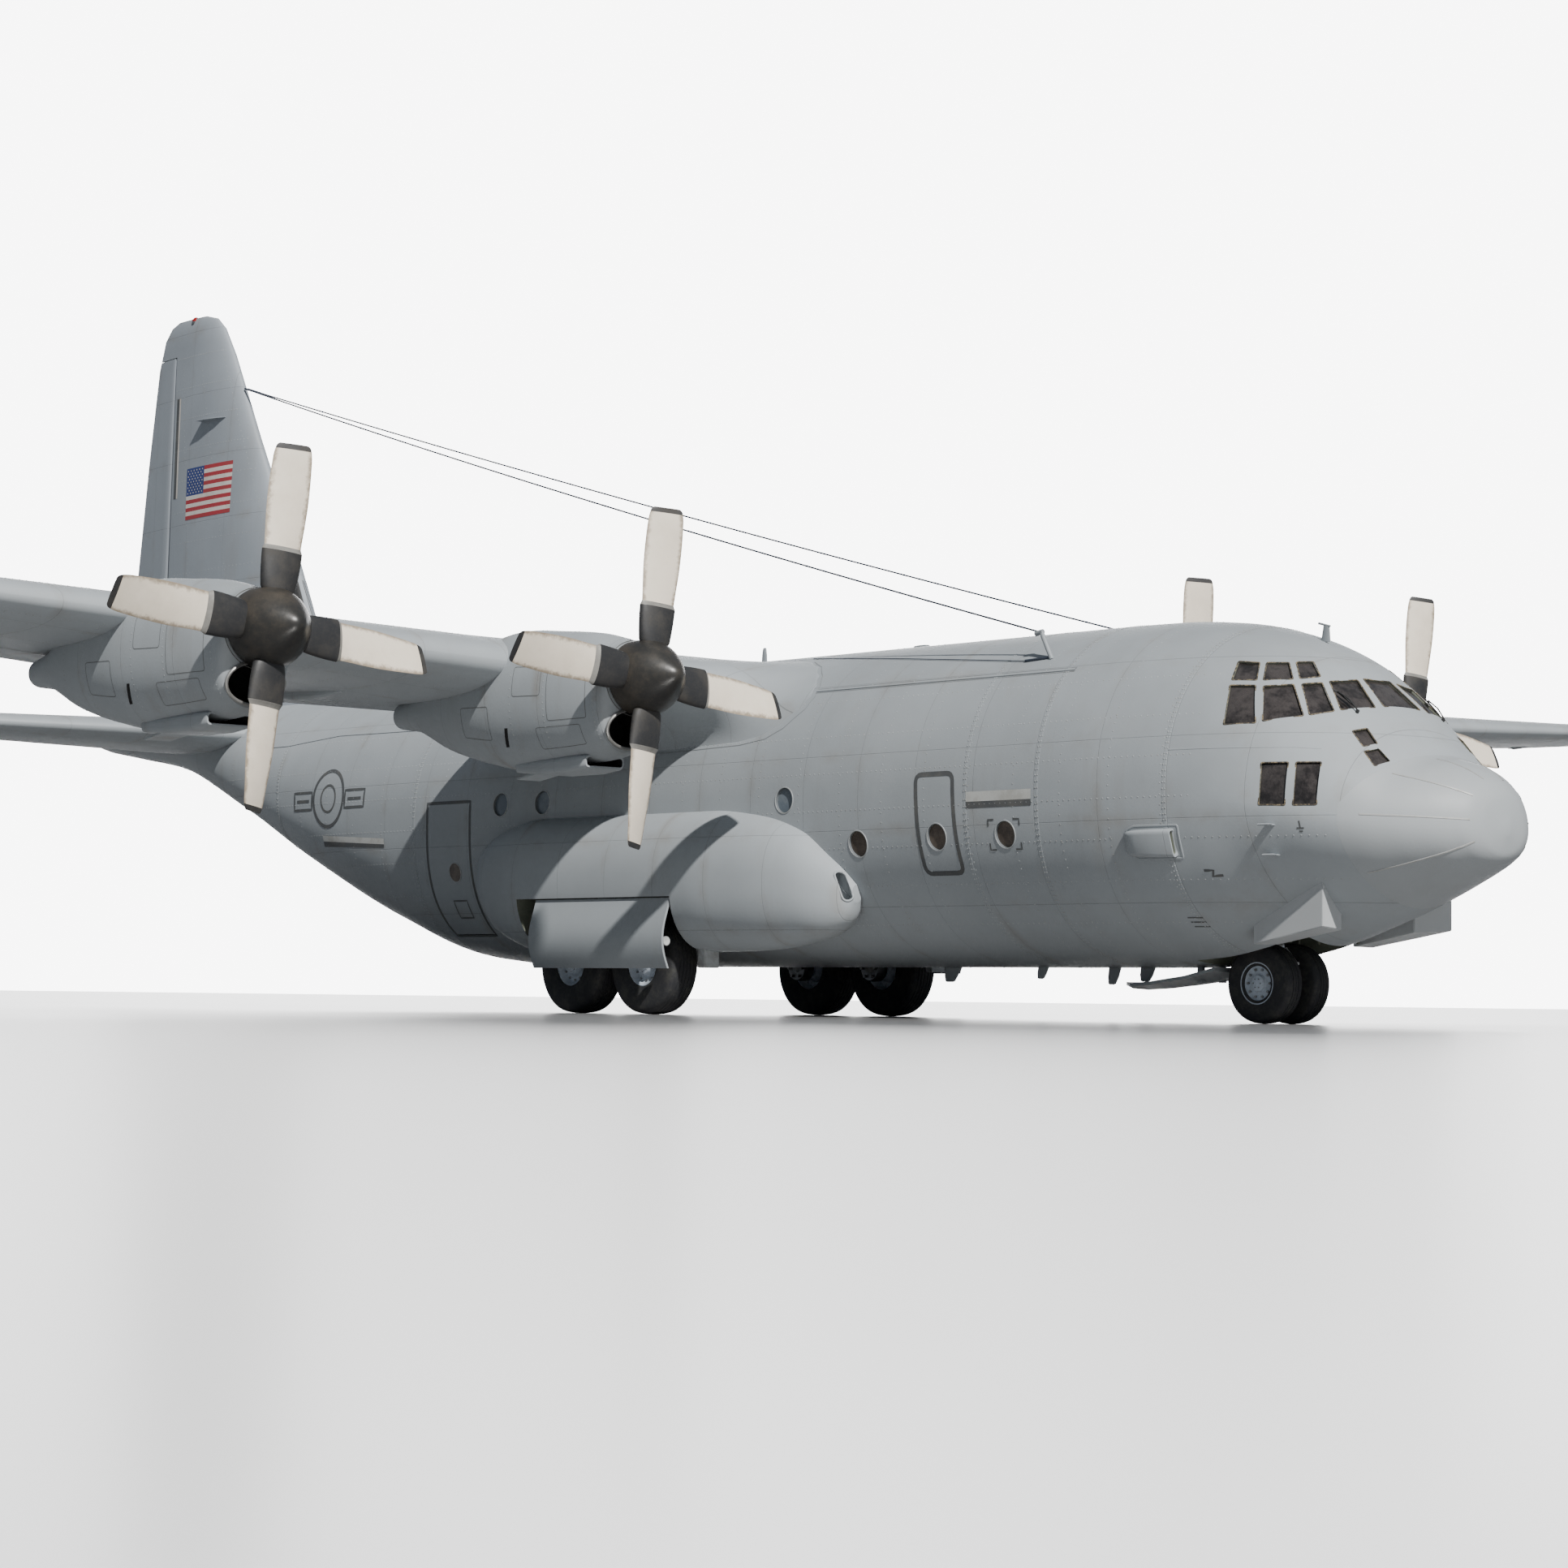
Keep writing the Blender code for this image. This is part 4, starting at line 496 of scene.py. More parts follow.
def piece(name, bm, materials, body="airframe", nodes=(), sharp=32, flip=True):
    return place_mesh(name, as_mesh(name, bm, flip), materials, body, nodes, sharp)


def cuts(*guides):
    """Steps of carve that take guides away."""
    return [("DIFFERENCE", guide) for guide in guides]


def carve(name, bm, steps):
    """Cut and join with throwaway guides, and give back the finished mesh."""
    made = []

    def stand(tag, source):
        mesh = as_mesh(tag, source)
        for _ in range(3):
            mesh.materials.append(None)
        made.append(put(bpy.data.objects.new(tag, mesh)))
        return made[-1]

    base = stand("base_" + name, bm)
    for number, step in enumerate(steps):
        operation, guide = step[:2]
        modifier = base.modifiers.new(f"step{number}", "BOOLEAN")
        modifier.operation = operation
        modifier.object = stand(f"guide_{number}", guide)
        modifier.solver = "EXACT"
        modifier.use_self = len(step) > 2
    graph = bpy.context.evaluated_depsgraph_get()
    mesh = bpy.data.meshes.new_from_object(base.evaluated_get(graph))
    mesh.name = name
    for obj in made:
        data = obj.data
        bpy.data.objects.remove(obj)
        bpy.data.meshes.remove(data)
    return mesh


def neighbours(items, closed=False):
    """Each item with the next, and the last with the first if closed."""
    return list(zip(items, items[1:])) + ([(items[-1], items[0])] if closed else [])


def strip(bm, row, following, mat=0, closed=True):
    """Faces between two rows of vertices."""
    for k in range(len(row) if closed else len(row) - 1):
        j = (k + 1) % len(row)
        bm.faces.new((row[k], row[j], following[j], following[k])).material_index = mat


def loft(bm, rings, cyclic=False, inner=(), mat=0):
    """Skin rings with the same number of points; strips whose number is in inner use the second slot."""
    rows = [[bm.verts.new(point) for point in ring] for ring in rings]
    for number, (row, following) in enumerate(neighbours(rows, cyclic)):
        strip(bm, row, following, 1 if number in inner else mat)
    if not cyclic:
        for row in (rows[0], rows[-1]):
            for face in add_cap(bm, row):
                face.material_index = 1 if inner else mat
    return bm


def add_cap(bm, row):
    """Close a ring: a bent one by level strips across it."""
    count = len(row)
    if len({round(vert.co.x, 6) for vert in row}) == 1 or count != HULL_SIDES:
        return [bm.faces.new(row)]
    pairs = [(row[count // 4 - 1 - k], row[count // 4 + k]) for k in range(count // 2)]
    return [bm.faces.new((a[0], a[1], b[1], b[0])) for a, b in zip(pairs, pairs[1:])]


def solid(rings, cyclic=False, inner=(), mat=0):
    return loft(bmesh.new(), rings, cyclic, inner, mat)


def add_box(bm, low, high, mat=0):
    matrix = Matrix.LocRotScale(
        [(a + b) / 2 for a, b in zip(low, high)], None, [b - a for a, b in zip(low, high)])
    made = bmesh.ops.create_cube(bm, size=1, matrix=matrix)
    for face in {f for vert in made["verts"] for f in vert.link_faces}:
        face.material_index = mat
    return bm


def box(low, high, mat=0):
    return add_box(bmesh.new(), low, high, mat)


def side_box(bm, side, x_range, y_range, z_range, mat=0):
    """A box on one side of the plane, its y given for the port side."""
    low, high = sorted(side * y for y in y_range)
    return add_box(bm, (x_range[0], low, z_range[0]), (x_range[1], high, z_range[1]), mat)


def add_rod(bm, start, end, radius, sides=16, end_radius=None, mat=0):
    """A round bar between two points."""
    start, end = Vector(start), Vector(end)
    turn = (end - start).to_track_quat("Z", "Y")
    rings = []
    for centre, r in ((start, radius), (end, radius if end_radius is None else end_radius)):
        rings.append([centre + turn @ Vector((r * math.cos(a), r * math.sin(a), 0))
                      for a in turns(sides, 0.5)])
    return loft(bm, rings, mat=mat)


def add_tube(bm, points, radius, sides=8, mat=0):
    """A bent round bar along points."""
    points = [Vector(p) for p in points]
    rings = []
    for k, point in enumerate(points):
        way = (points[min(k + 1, len(points) - 1)] - points[max(k - 1, 0)]).normalized()
        turn = way.to_track_quat("Z", "Y")
        rings.append([point + turn @ Vector((radius * math.cos(a), radius * math.sin(a), 0))
                      for a in turns(sides)])
    return loft(bm, rings, mat=mat)


def add_lathe(bm, profile, centre, axis="Y", sides=48, closed=False, mats=None):
    """Turn a profile of (distance along the axis, radius) points about X, Y or Z."""
    centre = Vector(centre)
    rows = []
    for along, radius in profile:
        row = []
        for a in turns(sides, 0.5):
            c, s = radius * math.cos(a), radius * math.sin(a)
            spot = {"X": (along, c, s), "Y": (c, along, s), "Z": (c, s, along)}[axis]
            row.append(bm.verts.new(centre + Vector(spot)))
        rows.append(row)
    for number, (row, following) in enumerate(neighbours(rows, closed)):
        strip(bm, row, following, mats[number] if mats else 0)
    if not closed:
        bm.faces.new(rows[0]).material_index = mats[0] if mats else 0
        bm.faces.new(rows[-1]).material_index = mats[-1] if mats else 0
    return bm


def bulged(value, power):
    """A sine or cosine raised to a power with its sign kept."""
    return math.copysign(abs(value) ** power, value)


def ellipse(x, y, z, half_width, half_height, count=64, fullness=2.0):
    """An upright oval ring at one station."""
    return [(x, y + half_width * bulged(math.cos(a), 2 / fullness),
             z + half_height * bulged(math.sin(a), 2 / fullness)) for a in turns(count, 0.5)]


def spread(start, end, count):
    """Evenly spaced values with both ends."""
    return [start + (end - start) * k / (count - 1) for k in range(count)]


def rect(left, bottom, right, top):
    """The corners of an upright rectangle."""
    return (left, bottom), (right, bottom), (right, top), (left, top)


class Table:
    """Reads a table by a cubic curve that never overshoots its points."""

    def __init__(self, rows):
        self.rows = sorted(rows)
        self.gaps = [b[0] - a[0] for a, b in zip(self.rows, self.rows[1:])]
        self.tangents = [self.tangents_of(column) for column in range(1, len(self.rows[0]))]
        self.seen = {}

    def tangents_of(self, column):
        rows, gaps = self.rows, self.gaps
        slopes = [(b[column] - a[column]) / gap for a, b, gap in zip(rows, rows[1:], gaps)]
        found = [slopes[0]]
        for j in range(1, len(rows) - 1):
            before, after = slopes[j - 1], slopes[j]
            w1, w2 = 2 * gaps[j] + gaps[j - 1], gaps[j] + 2 * gaps[j - 1]
            found.append((w1 + w2) / (w1 / before + w2 / after) if before * after > 0 else 0.0)
        return found + [slopes[-1]]

    def at(self, x):
        if x in self.seen:
            return self.seen[x]
        rows = self.rows
        place = min(max(x, rows[0][0]), rows[-1][0])
        k = 0
        while k < len(rows) - 2 and rows[k + 1][0] <= place:
            k += 1
        t, h = (place - rows[k][0]) / self.gaps[k], self.gaps[k]
        values = []
        for column, tangent in enumerate(self.tangents, 1):
            a, b = rows[k][column], rows[k + 1][column]
            values.append(a * (1 + 2 * t) * (1 - t) ** 2 + h * tangent[k] * t * (1 - t) ** 2
                          + b * t * t * (3 - 2 * t) + h * tangent[k + 1] * t * t * (t - 1))
        self.seen[x] = values
        return values


HULL = Table(HULL_LINES)


# Fuselage skin

def joint_lean(station):
    """The radome joint leans forward above the nose deck, and the rings near it lean too."""
    return JOINT_LEAN * max(0.0, 1 - abs(station - RADOME_X) / LEAN_REACH)


def hull_point(station, a, inset=0.0):
    """The skin at a station and an angle from the widest line."""
    c, s = math.cos(a), math.sin(a)
    x = station
    for _ in range(5 if joint_lean(station) else 1):
        crown, keel, half, widest, fullness = HULL.at(x)
        power = UPPER_FULLNESS if s > 0 else fullness
        height = (crown - widest if s > 0 else widest - keel) - inset
        y = (half - inset) * bulged(c, 2 / power)
        z = widest + height * bulged(s, 2 / power)
        x = station + joint_lean(station) * max(0.0, z - LEAN_FROM_Z)
    return x, y, z


def hull_ring(station, inset=0.0, floor=None, corner=22, wall=None):
    """One ring of the fuselage skin, or of its lining with a flat floor between two corner points."""
    ring = []
    for k in range(HULL_SIDES):
        a = 2 * math.pi * (k + 0.5) / HULL_SIDES
        x, y, z = hull_point(station, a, inset)
        if floor is not None and math.sin(a) < 0:
            below = min(HULL_SIDES - 1 - k, k - HULL_SIDES // 2)
            edge = math.cos(2 * math.pi * (corner + 0.5) / HULL_SIDES)
            if below >= corner:
                y = skin_y(x, floor, inset) * math.cos(a) / edge
                z = floor
            else:
                z = max(z, floor + 0.005 * (corner - below))
        if wall is not None and z < 2.0:
            y = max(-wall, min(wall, y))
        ring.append((x, y, z))
    return ring


def skin_y(x, z, inset=0.0):
    """Half width of the skin at a station and a height."""
    crown, keel, half, widest, fullness = HULL.at(x)
    power = UPPER_FULLNESS if z > widest else fullness
    height = (crown - widest if z > widest else widest - keel) - inset
    ratio = min(1.0, abs(z - widest) / height)
    return (half - inset) * (1 - ratio ** power) ** (1 / power)


def skin_bottom(x, y, inset=0.0):
    """Height of the underside at a station and a distance from the middle."""
    _, keel, half, widest, fullness = HULL.at(x)
    ratio = min(1.0, abs(y) / (half - inset))
    return widest - (widest - keel - inset) * (1 - ratio ** fullness) ** (1 / fullness)


def skin_front(y, z):
    """Station where the nose skin passes through a point seen from ahead."""
    low, high = 9.0, 12.95
    for _ in range(40):
        x = (low + high) / 2
        crown, keel = HULL.at(x)[:2]
        inside = keel < z < crown and skin_y(x, z) > abs(y)
        low, high = (x, high) if inside else (low, x)
    return (low + high) / 2


def side_spot(x, z, side, lift=0.0):
    """A point on the side skin, lifted along its normal, and that normal."""
    step = 0.01
    slope_x = (skin_y(x + step, z) - skin_y(x - step, z)) / (2 * step)
    slope_z = (skin_y(x, z + step) - skin_y(x, z - step)) / (2 * step)
    normal = Vector((-slope_x, side, -slope_z)).normalized()
    return Vector((x, side * skin_y(x, z), z)) + normal * lift, normal


def front_spot(y, z, lift=0.0):
    """A point on the nose skin seen from ahead, lifted along its normal, and that normal."""
    step = 0.01
    slope_y = (skin_front(y + step, z) - skin_front(y - step, z)) / (2 * step)
    slope_z = (skin_front(y, z + step) - skin_front(y, z - step)) / (2 * step)
    normal = Vector((1, -slope_y, -slope_z)).normalized()
    return Vector((skin_front(y, z), y, z)) + normal * lift, normal


def add_ribbon(bm, spots, width, mat=0, closed=False, thick=0.0):
    """A band on the skin along (point, normal) pairs, with a bead's thickness if thick is given."""
    count = len(spots)
    rows = []
    for k, (point, normal) in enumerate(spots):
        before = spots[(k - 1) % count][0] if closed or k else point
        after = spots[(k + 1) % count][0] if closed or k < count - 1 else point
        across = (after - before).cross(normal).normalized() * (width / 2)
        row = [point - across, point + across]
        if thick:
            rise = normal * thick
            row[1:1] = [point - across * 0.7 + rise, point + across * 0.7 + rise]
        rows.append([bm.verts.new(p) for p in row])
    for a, b in neighbours(rows, closed):
        for k in range(len(a) - 1):
            bm.faces.new((a[k], b[k], b[k + 1], a[k + 1])).material_index = mat
    return bm


# Lifting surfaces

# Half the thickness of a trailing edge
TRAILING_HALF = 0.006


class Foil:
    """A tapered surface given by stations of (span, nose point, chord, thickness ratio)."""

    def __init__(self, stations, upright=False, incidence=0.0, camber=0.0):
        self.stations = stations
        self.camber = camber
        self.back = Vector((-math.cos(incidence), 0, -math.sin(incidence)))
        self.up = Vector((0, 1, 0)) if upright else Vector((-math.sin(incidence), 0, math.cos(incidence)))

    def at(self, span):
        rows = self.stations
        k = max([j for j in range(len(rows) - 1) if rows[j][0] <= span] or [0])
        low, high = rows[k], rows[k + 1]
        t = (span - low[0]) / (high[0] - low[0])
        nose = Vector(low[1]).lerp(Vector(high[1]), t)
        return nose, low[2] + t * (high[2] - low[2]), low[3] + t * (high[3] - low[3])

    def half_thickness(self, span, fraction):
        _, chord, ratio = self.at(span)
        f = min(max(fraction, 0.0), 1.0)
        shape = 0.2969 * math.sqrt(f) - 0.1260 * f - 0.3516 * f ** 2 + 0.2843 * f ** 3 - 0.1036 * f ** 4
        return 5 * ratio * shape * chord + TRAILING_HALF

    def middle(self, span, fraction):
        nose, chord, _ = self.at(span)
        bow = 4 * self.camber * fraction * (1 - fraction) * chord
        return nose + self.back * (fraction * chord) + self.up * bow

    def point(self, span, fraction, side, grow=0.0):
        half = self.half_thickness(span, fraction) + grow
        return self.middle(span, fraction) + self.up * (side * half)

    def ring(self, span, front=0.0, rear=1.0, steps=28, grow=0.0, round_nose=False):
        """Outline of the section from front to rear, over the top and back below."""
        spacing = [(1 - math.cos(math.pi * k / steps)) / 2 for k in range(steps + 1)]
        if front > 0:
            spacing = spread(0, 1, 8)
        fractions = [front + (rear - front) * s for s in spacing]
        upper = [self.point(span, f, 1, grow) for f in reversed(fractions)]
        lower = [self.point(span, f, -1, grow) for f in fractions]
        nose = []
        if round_nose:
            radius = self.half_thickness(span, front)
            for a in range(75, -90, -15):
                a = math.radians(a)
                nose.append(self.middle(span, front) - self.back * (radius * math.cos(a))
                            + self.up * (radius * math.sin(a)))
        if grow:
            upper[0] = upper[0] + self.back * grow
            lower[-1] = lower[-1] + self.back * grow
            upper[-1] = upper[-1] - self.back * grow
            lower[0] = lower[0] - self.back * grow
        return upper + nose + lower

    def cove(self, bm, front, start, end, round_nose=False):
        """A block that clears the space of a moving surface behind its spar."""
        outline = []
        for span in (start, end):
            ahead = RUNNING_GAP + (self.half_thickness(span, front) if round_nose else 0.0)
            outline.append((self.middle(span, front) - self.back * ahead,
                            self.middle(span, 1.0) + self.back * 0.4))
        rise = self.up * 0.7
        rings = [[face - rise, face + rise, rear + rise, rear - rise] for face, rear in outline]
        return loft(bm, rings, mat=1)

    def mirrored(self):
        rows = [(-s, (n[0], -n[1], n[2]), c, r) for s, n, c, r in self.stations]
        twin = Foil(sorted(rows), camber=self.camber)
        twin.back, twin.up = self.back, self.up
        return twin


def wing_nose(y):
    """Leading edge of the port wing."""
    out = max(0.0, y - WING_JOINT_Y)
    length = SPAN / 2 - WING_JOINT_Y
    return (WING_LE_X + (TIP_LE_X - WING_LE_X) * out / length, y, WING_LE_Z + out * math.tan(DIHEDRAL))


TIP_Y = SPAN / 2
WING = Foil((
    (0.0, wing_nose(0), ROOT_CHORD, 0.165),
    (WING_JOINT_Y, wing_nose(WING_JOINT_Y), ROOT_CHORD, 0.165),
    (TIP_Y - 0.25, wing_nose(TIP_Y - 0.25), TIP_CHORD, 0.12),
    (TIP_Y - 0.08, (TIP_LE_X - 0.15, TIP_Y - 0.08, wing_nose(TIP_Y)[2]), TIP_CHORD * 0.88, 0.09),
    (TIP_Y, (TIP_LE_X - 0.42, TIP_Y, wing_nose(TIP_Y)[2]), TIP_CHORD * 0.66, 0.04),
), incidence=INCIDENCE, camber=0.02)
WING_SIDES = {1: WING, -1: WING.mirrored()}
FLAPS = (("flap_inner", 2.30, 5.50), ("flap_outer", 5.70, 12.95))
AILERON = (13.15, 19.70)
END_GAP = 0.030
FLAP_END_GAP = 0.080


def wing_coves(y_low, y_high, side):
    """Spaces for the flaps and the aileron within one stretch of the wing."""
    foil = WING_SIDES[side]
    bm = bmesh.new()
    for _, start, end in FLAPS:
        if y_low <= start < y_high:
            room = FLAP_END_GAP if start > WING_JOINT_Y else RUNNING_GAP
            foil.cove(bm, FLAP_FRACTION, side * (start - RUNNING_GAP), side * (end + room))
    if y_low <= AILERON[0] < y_high:
        foil.cove(bm, AILERON_HINGE, side * (AILERON[0] - END_GAP), side * (AILERON[1] + END_GAP), True)
    return bm


def wing_guide(spans):
    """A stretch of the wing grown by the seat gap."""
    rings = [WING_SIDES[1 if span > 0 else -1].ring(span, grow=SEAT_GAP) for span in spans]
    return solid(rings, mat=1)


def wing():
    """Flat centre section over the fuselage and a tapered outer panel on each side."""
    joint = WING_JOINT_Y - SEAT_GAP / 2
    steps = cuts(*(wing_coves(0, WING_JOINT_Y, side) for _, side in SIDES))
    centre = carve("wing_centre_skin", solid([WING_SIDES[-1].ring(-joint), WING.ring(joint)]), steps)
    place_mesh("wing_centre_skin", centre, [WING_PAINT, PRIMER], "airframe", ["wing_centre"])
    for label, side in SIDES:
        fairing = carve("fairing", solid(root_fairing(side, 20)), [])
        place_mesh("root_fairing_" + label, fairing, [WING_PAINT], "airframe", ["wing_centre"], sharp=60)
        foil = WING_SIDES[side]
        spans = [WING_JOINT_Y + SEAT_GAP / 2, 9.0, 11.4, 16.0, TIP_Y - 0.25, TIP_Y - 0.16, TIP_Y - 0.08,
                 TIP_Y - 0.03, TIP_Y]
        outer = carve(f"wing_{label}_skin", solid([foil.ring(side * y) for y in spans]),
                      cuts(wing_coves(WING_JOINT_Y, TIP_Y, side)))
        place_mesh(f"wing_{label}_skin", outer, [WING_PAINT, PRIMER], "airframe", ["wing_" + label])
        for name, start, end in FLAPS:
            rings = [foil.ring(side * y, FLAP_FRACTION) for y in (start, end)]
            piece(f"{name}_{label}_skin", solid(rings), WING_PAINT, f"{name}_{label}", [f"{name}_{label}"])
        rings = [foil.ring(side * y, AILERON_HINGE, round_nose=True) for y in AILERON]
        piece(f"aileron_{label}_skin", solid(rings), WING_PAINT, "aileron_" + label, ["aileron_" + label])


# Root fairing, from the top of the wing round its nose to the underside:
# station and height on the hull, face of the wing and part of its chord
ROOT_FAIRING = (
    (0.60, 4.77, 1, 0.246), (1.40, 4.76, 1, 0.16), (2.00, 4.73, 1, 0.09), (2.49, 4.67, 1, 0.05),
    (2.85, 4.57, 1, 0.025), (3.12, 4.42, 1, 0.012), (3.27, 4.27, 1, 0.004), (3.33, 4.12, 1, 0.0),
    (3.28, 3.95, -1, 0.006), (3.02, 3.71, -1, 0.02), (2.73, 3.58, -1, 0.045), (2.26, 3.52, -1, 0.09),
    (1.53, 3.50, -1, 0.16), (0.77, 3.48, -1, 0.25), (0.00, 3.52, -1, 0.37), (-0.70, 3.65, -1, 0.50),
    (-1.20, 3.85, -1, 0.61), (-1.45, 4.02, -1, 0.655),
)
FAIRING_END_Y = 3.30


def root_fairing(side, steps):
    """Closed blend between the hull side and the wing, ahead of and below the wing root."""
    rings = [[] for _ in range(steps + 2)]
    for x, z, face, fraction in ROOT_FAIRING:
        start = Vector((x, skin_y(x, z) - 0.015, z))
        end = WING.point(FAIRING_END_Y, fraction, face, -0.012)
        corner = Vector((end.x, skin_y(end.x, end.z) + 0.25, end.z))
        for k in range(steps + 1):
            t = k / steps
            rings[k + 1].append(start * (1 - t) ** 2 + corner * (2 * t * (1 - t)) + end * t * t)
        rings[0].append(start - Vector((0, 0.08, 0)))
    return [[(p.x, side * p.y, p.z) for p in ring] for ring in rings]


# Tail

FIN = Foil((
    (4.70, (-9.60, 0, 4.70), 6.70, 0.105),
    (5.60, (-10.25, 0, 5.60), 5.97, 0.11),
    (7.20, (-11.05, 0, 7.20), 4.95, 0.12),
    (9.40, (-12.27, 0, 9.40), 3.41, 0.12),
    (10.90, (-13.06, 0, 10.90), 2.36, 0.12),
    (11.40, (-13.38, 0, 11.40), 1.86, 0.11),
    (11.60, (-13.62, 0, 11.60), 1.42, 0.08),
    (11.68, (-13.95, 0, 11.68), 0.85, 0.04),
), upright=True)
RUDDER_SPAN = (5.30, 11.05)
RUDDER_HINGE_X = (-14.93, -14.83)
TAILPLANE_Z = 4.30
TAILPLANE_HALF = 8.025
ELEVATOR_HINGE = 0.68
ELEVATOR_SPAN = (1.34, 7.55)


def tailplane_nose(y):
    """Leading edge, swept so that the elevators' hinge line is square to the fuselage."""
    sweep = ELEVATOR_HINGE * (4.50 - 2.25) / (TAILPLANE_HALF - 0.20)
    return (-9.95 - abs(y) * sweep, y, TAILPLANE_Z)


TAILPLANE = Foil((
    (0.0, tailplane_nose(0), 4.50, 0.125),
    (TAILPLANE_HALF - 0.20, tailplane_nose(TAILPLANE_HALF - 0.20), 2.25, 0.11),
    (TAILPLANE_HALF - 0.06, (-11.65, TAILPLANE_HALF - 0.06, TAILPLANE_Z), 1.95, 0.08),
    (TAILPLANE_HALF, (-11.85, TAILPLANE_HALF, TAILPLANE_Z), 1.50, 0.04),
))


def rudder_fraction(z):
    nose, chord, _ = FIN.at(z)
    low, high = RUDDER_SPAN
    x = RUDDER_HINGE_X[0] + (RUDDER_HINGE_X[1] - RUDDER_HINGE_X[0]) * (z - low) / (high - low)
    return (nose.x - x) / chord


def tailplane_guide():
    """The tailplane's root stretch grown by the seat gap."""
    twin = TAILPLANE.mirrored()
    spans = [row[0] for row in TAILPLANE.stations[:2]]
    rings = [twin.ring(-spans[1], grow=SEAT_GAP)] + [TAILPLANE.ring(y, grow=SEAT_GAP) for y in spans]
    return solid(rings, mat=1)


def tail():
    """Fin and rudder, tailplane and elevators."""
    low, high = RUDDER_SPAN
    rings = []
    for z in (low - RUNNING_GAP, 5.6, 7.2, 9.4, 10.9, high + RUNNING_GAP):
        fraction = rudder_fraction(z)
        x = FIN.middle(z, fraction).x + FIN.half_thickness(z, fraction) + RUNNING_GAP
        rings.append([(x, -0.6, z), (x, 0.6, z), (-17.5, 0.6, z), (-17.5, -0.6, z)])
    stations = spread(-8.3, TAIL_X, 30)
    seat = solid([hull_ring(x, -SEAT_GAP) for x in stations], mat=1)
    spans = sorted({row[0] for row in FIN.stations} | {11.2, 11.5, 11.64})
    fin = carve("fin_skin", solid([FIN.ring(z) for z in spans]),
                cuts(solid(rings, mat=1), seat, tailplane_guide()))
    place_mesh("fin_skin", fin, [FIN_PAINT, PRIMER], "airframe", ["fin"])
    rings = [FIN.ring(z, rudder_fraction(z), round_nose=True) for z in (low, 5.6, 7.2, 9.4, 10.9, high)]
    piece("rudder_skin", solid(rings), FIN_PAINT, "rudder", ["rudder"])
    twin = TAILPLANE.mirrored()
    rings = [twin.ring(row[0]) for row in twin.stations]
    rings += [TAILPLANE.ring(row[0]) for row in TAILPLANE.stations[1:]]
    coves = []
    for label, side in SIDES:
        foil = TAILPLANE if side > 0 else twin
        start, end = (side * y for y in ELEVATOR_SPAN)
        gap = side * RUNNING_GAP
        coves.append(foil.cove(bmesh.new(), ELEVATOR_HINGE, start - gap, end + gap, True))
        surface = [foil.ring(y, ELEVATOR_HINGE, round_nose=True) for y in (start, end)]
        piece(f"elevator_{label}_skin", solid(surface), WING_PAINT, "elevators", ["elevator_" + label])
    plane = carve("tailplane_skin", solid(rings), cuts(*coves))
    place_mesh("tailplane_skin", plane, [WING_PAINT, PRIMER], "airframe", ["tailplane"])


# Fuselage pieces

# station of the middle, height of the middle, radius
ROUND_WINDOWS = ((7.20, 2.22), (6.03, 2.22), (4.62, 2.17), (3.28, 2.76), (-1.74, 2.90), (-2.69, 2.90))
ROUND_WINDOW_RADIUS = 0.16

# Each cockpit window of the starboard side by its corners: station and height on the skin
FLIGHT_WINDOWS = {
    "upper_rear": ((10.13, 4.17), (10.35, 4.15), (10.48, 3.93), (10.22, 3.94)),
    "upper_middle": ((10.42, 4.15), (10.60, 4.15), (10.79, 3.94), (10.55, 3.93)),
    "upper_front": ((10.65, 4.16), (10.74, 4.17), (10.94, 3.98), (10.84, 3.95)),
    "side_rear": ((10.24, 3.87), (10.51, 3.86), (10.72, 3.41), (10.37, 3.40)),
    "side_middle": ((10.60, 3.85), (10.84, 3.87), (11.13, 3.49), (10.79, 3.43)),
    "side_front": ((10.90, 3.88), (11.01, 3.90), (11.32, 3.55), (11.18, 3.50)),
    "lower_rear": ((10.91, 2.94), (11.19, 2.94), (11.21, 2.46), (10.92, 2.47)),
    "lower_front": ((11.27, 2.94), (11.50, 2.94), (11.54, 2.46), (11.30, 2.46)),
}
# The windscreen and the quarter windows look forward: distance from the middle and height
SCREEN_WINDOWS = {
    "windscreen": ((0.76, 3.92), (0.36, 3.96), (0.48, 3.62), (0.94, 3.57)),
    "quarter_upper": ((1.01, 3.31), (0.82, 3.35), (0.84, 3.17), (1.02, 3.13)),
    "quarter_lower": ((1.05, 3.07), (0.87, 3.11), (0.86, 2.96), (1.06, 2.90)),
}
CENTRE_PANE = ((-0.24, 3.98), (0.24, 3.98), (0.33, 3.64), (-0.33, 3.64))
WINDOW_CORNER = 0.014
PANE_LIFT = -0.022


def rounded(corners, radius, steps=4):
    """A flat outline of (a, b) points with its corners rounded."""
    outline = []
    count = len(corners)
    for k in range(count):
        here = Vector(corners[k])
        before = Vector(corners[k - 1]) - here
        after = Vector(corners[(k + 1) % count]) - here
        r = min(radius, before.length * 0.4, after.length * 0.4)
        first, last = here + before.normalized() * r, here + after.normalized() * r
        for j in range(steps + 1):
            t = j / steps
            outline.append(first * (1 - t) ** 2 + here * (2 * t * (1 - t)) + last * t * t)
    return outline


def widened(outline, reach):
    """A flat outline moved outward by one distance all round."""
    centre = sum(outline, Vector((0, 0))) / len(outline)
    grown = []
    for k, here in enumerate(outline):
        along = (outline[(k + 1) % len(outline)] - outline[k - 1]).normalized()
        out = Vector((along.y, -along.x))
        grown.append(here + out * (reach if out.dot(here - centre) > 0 else -reach))
    return grown


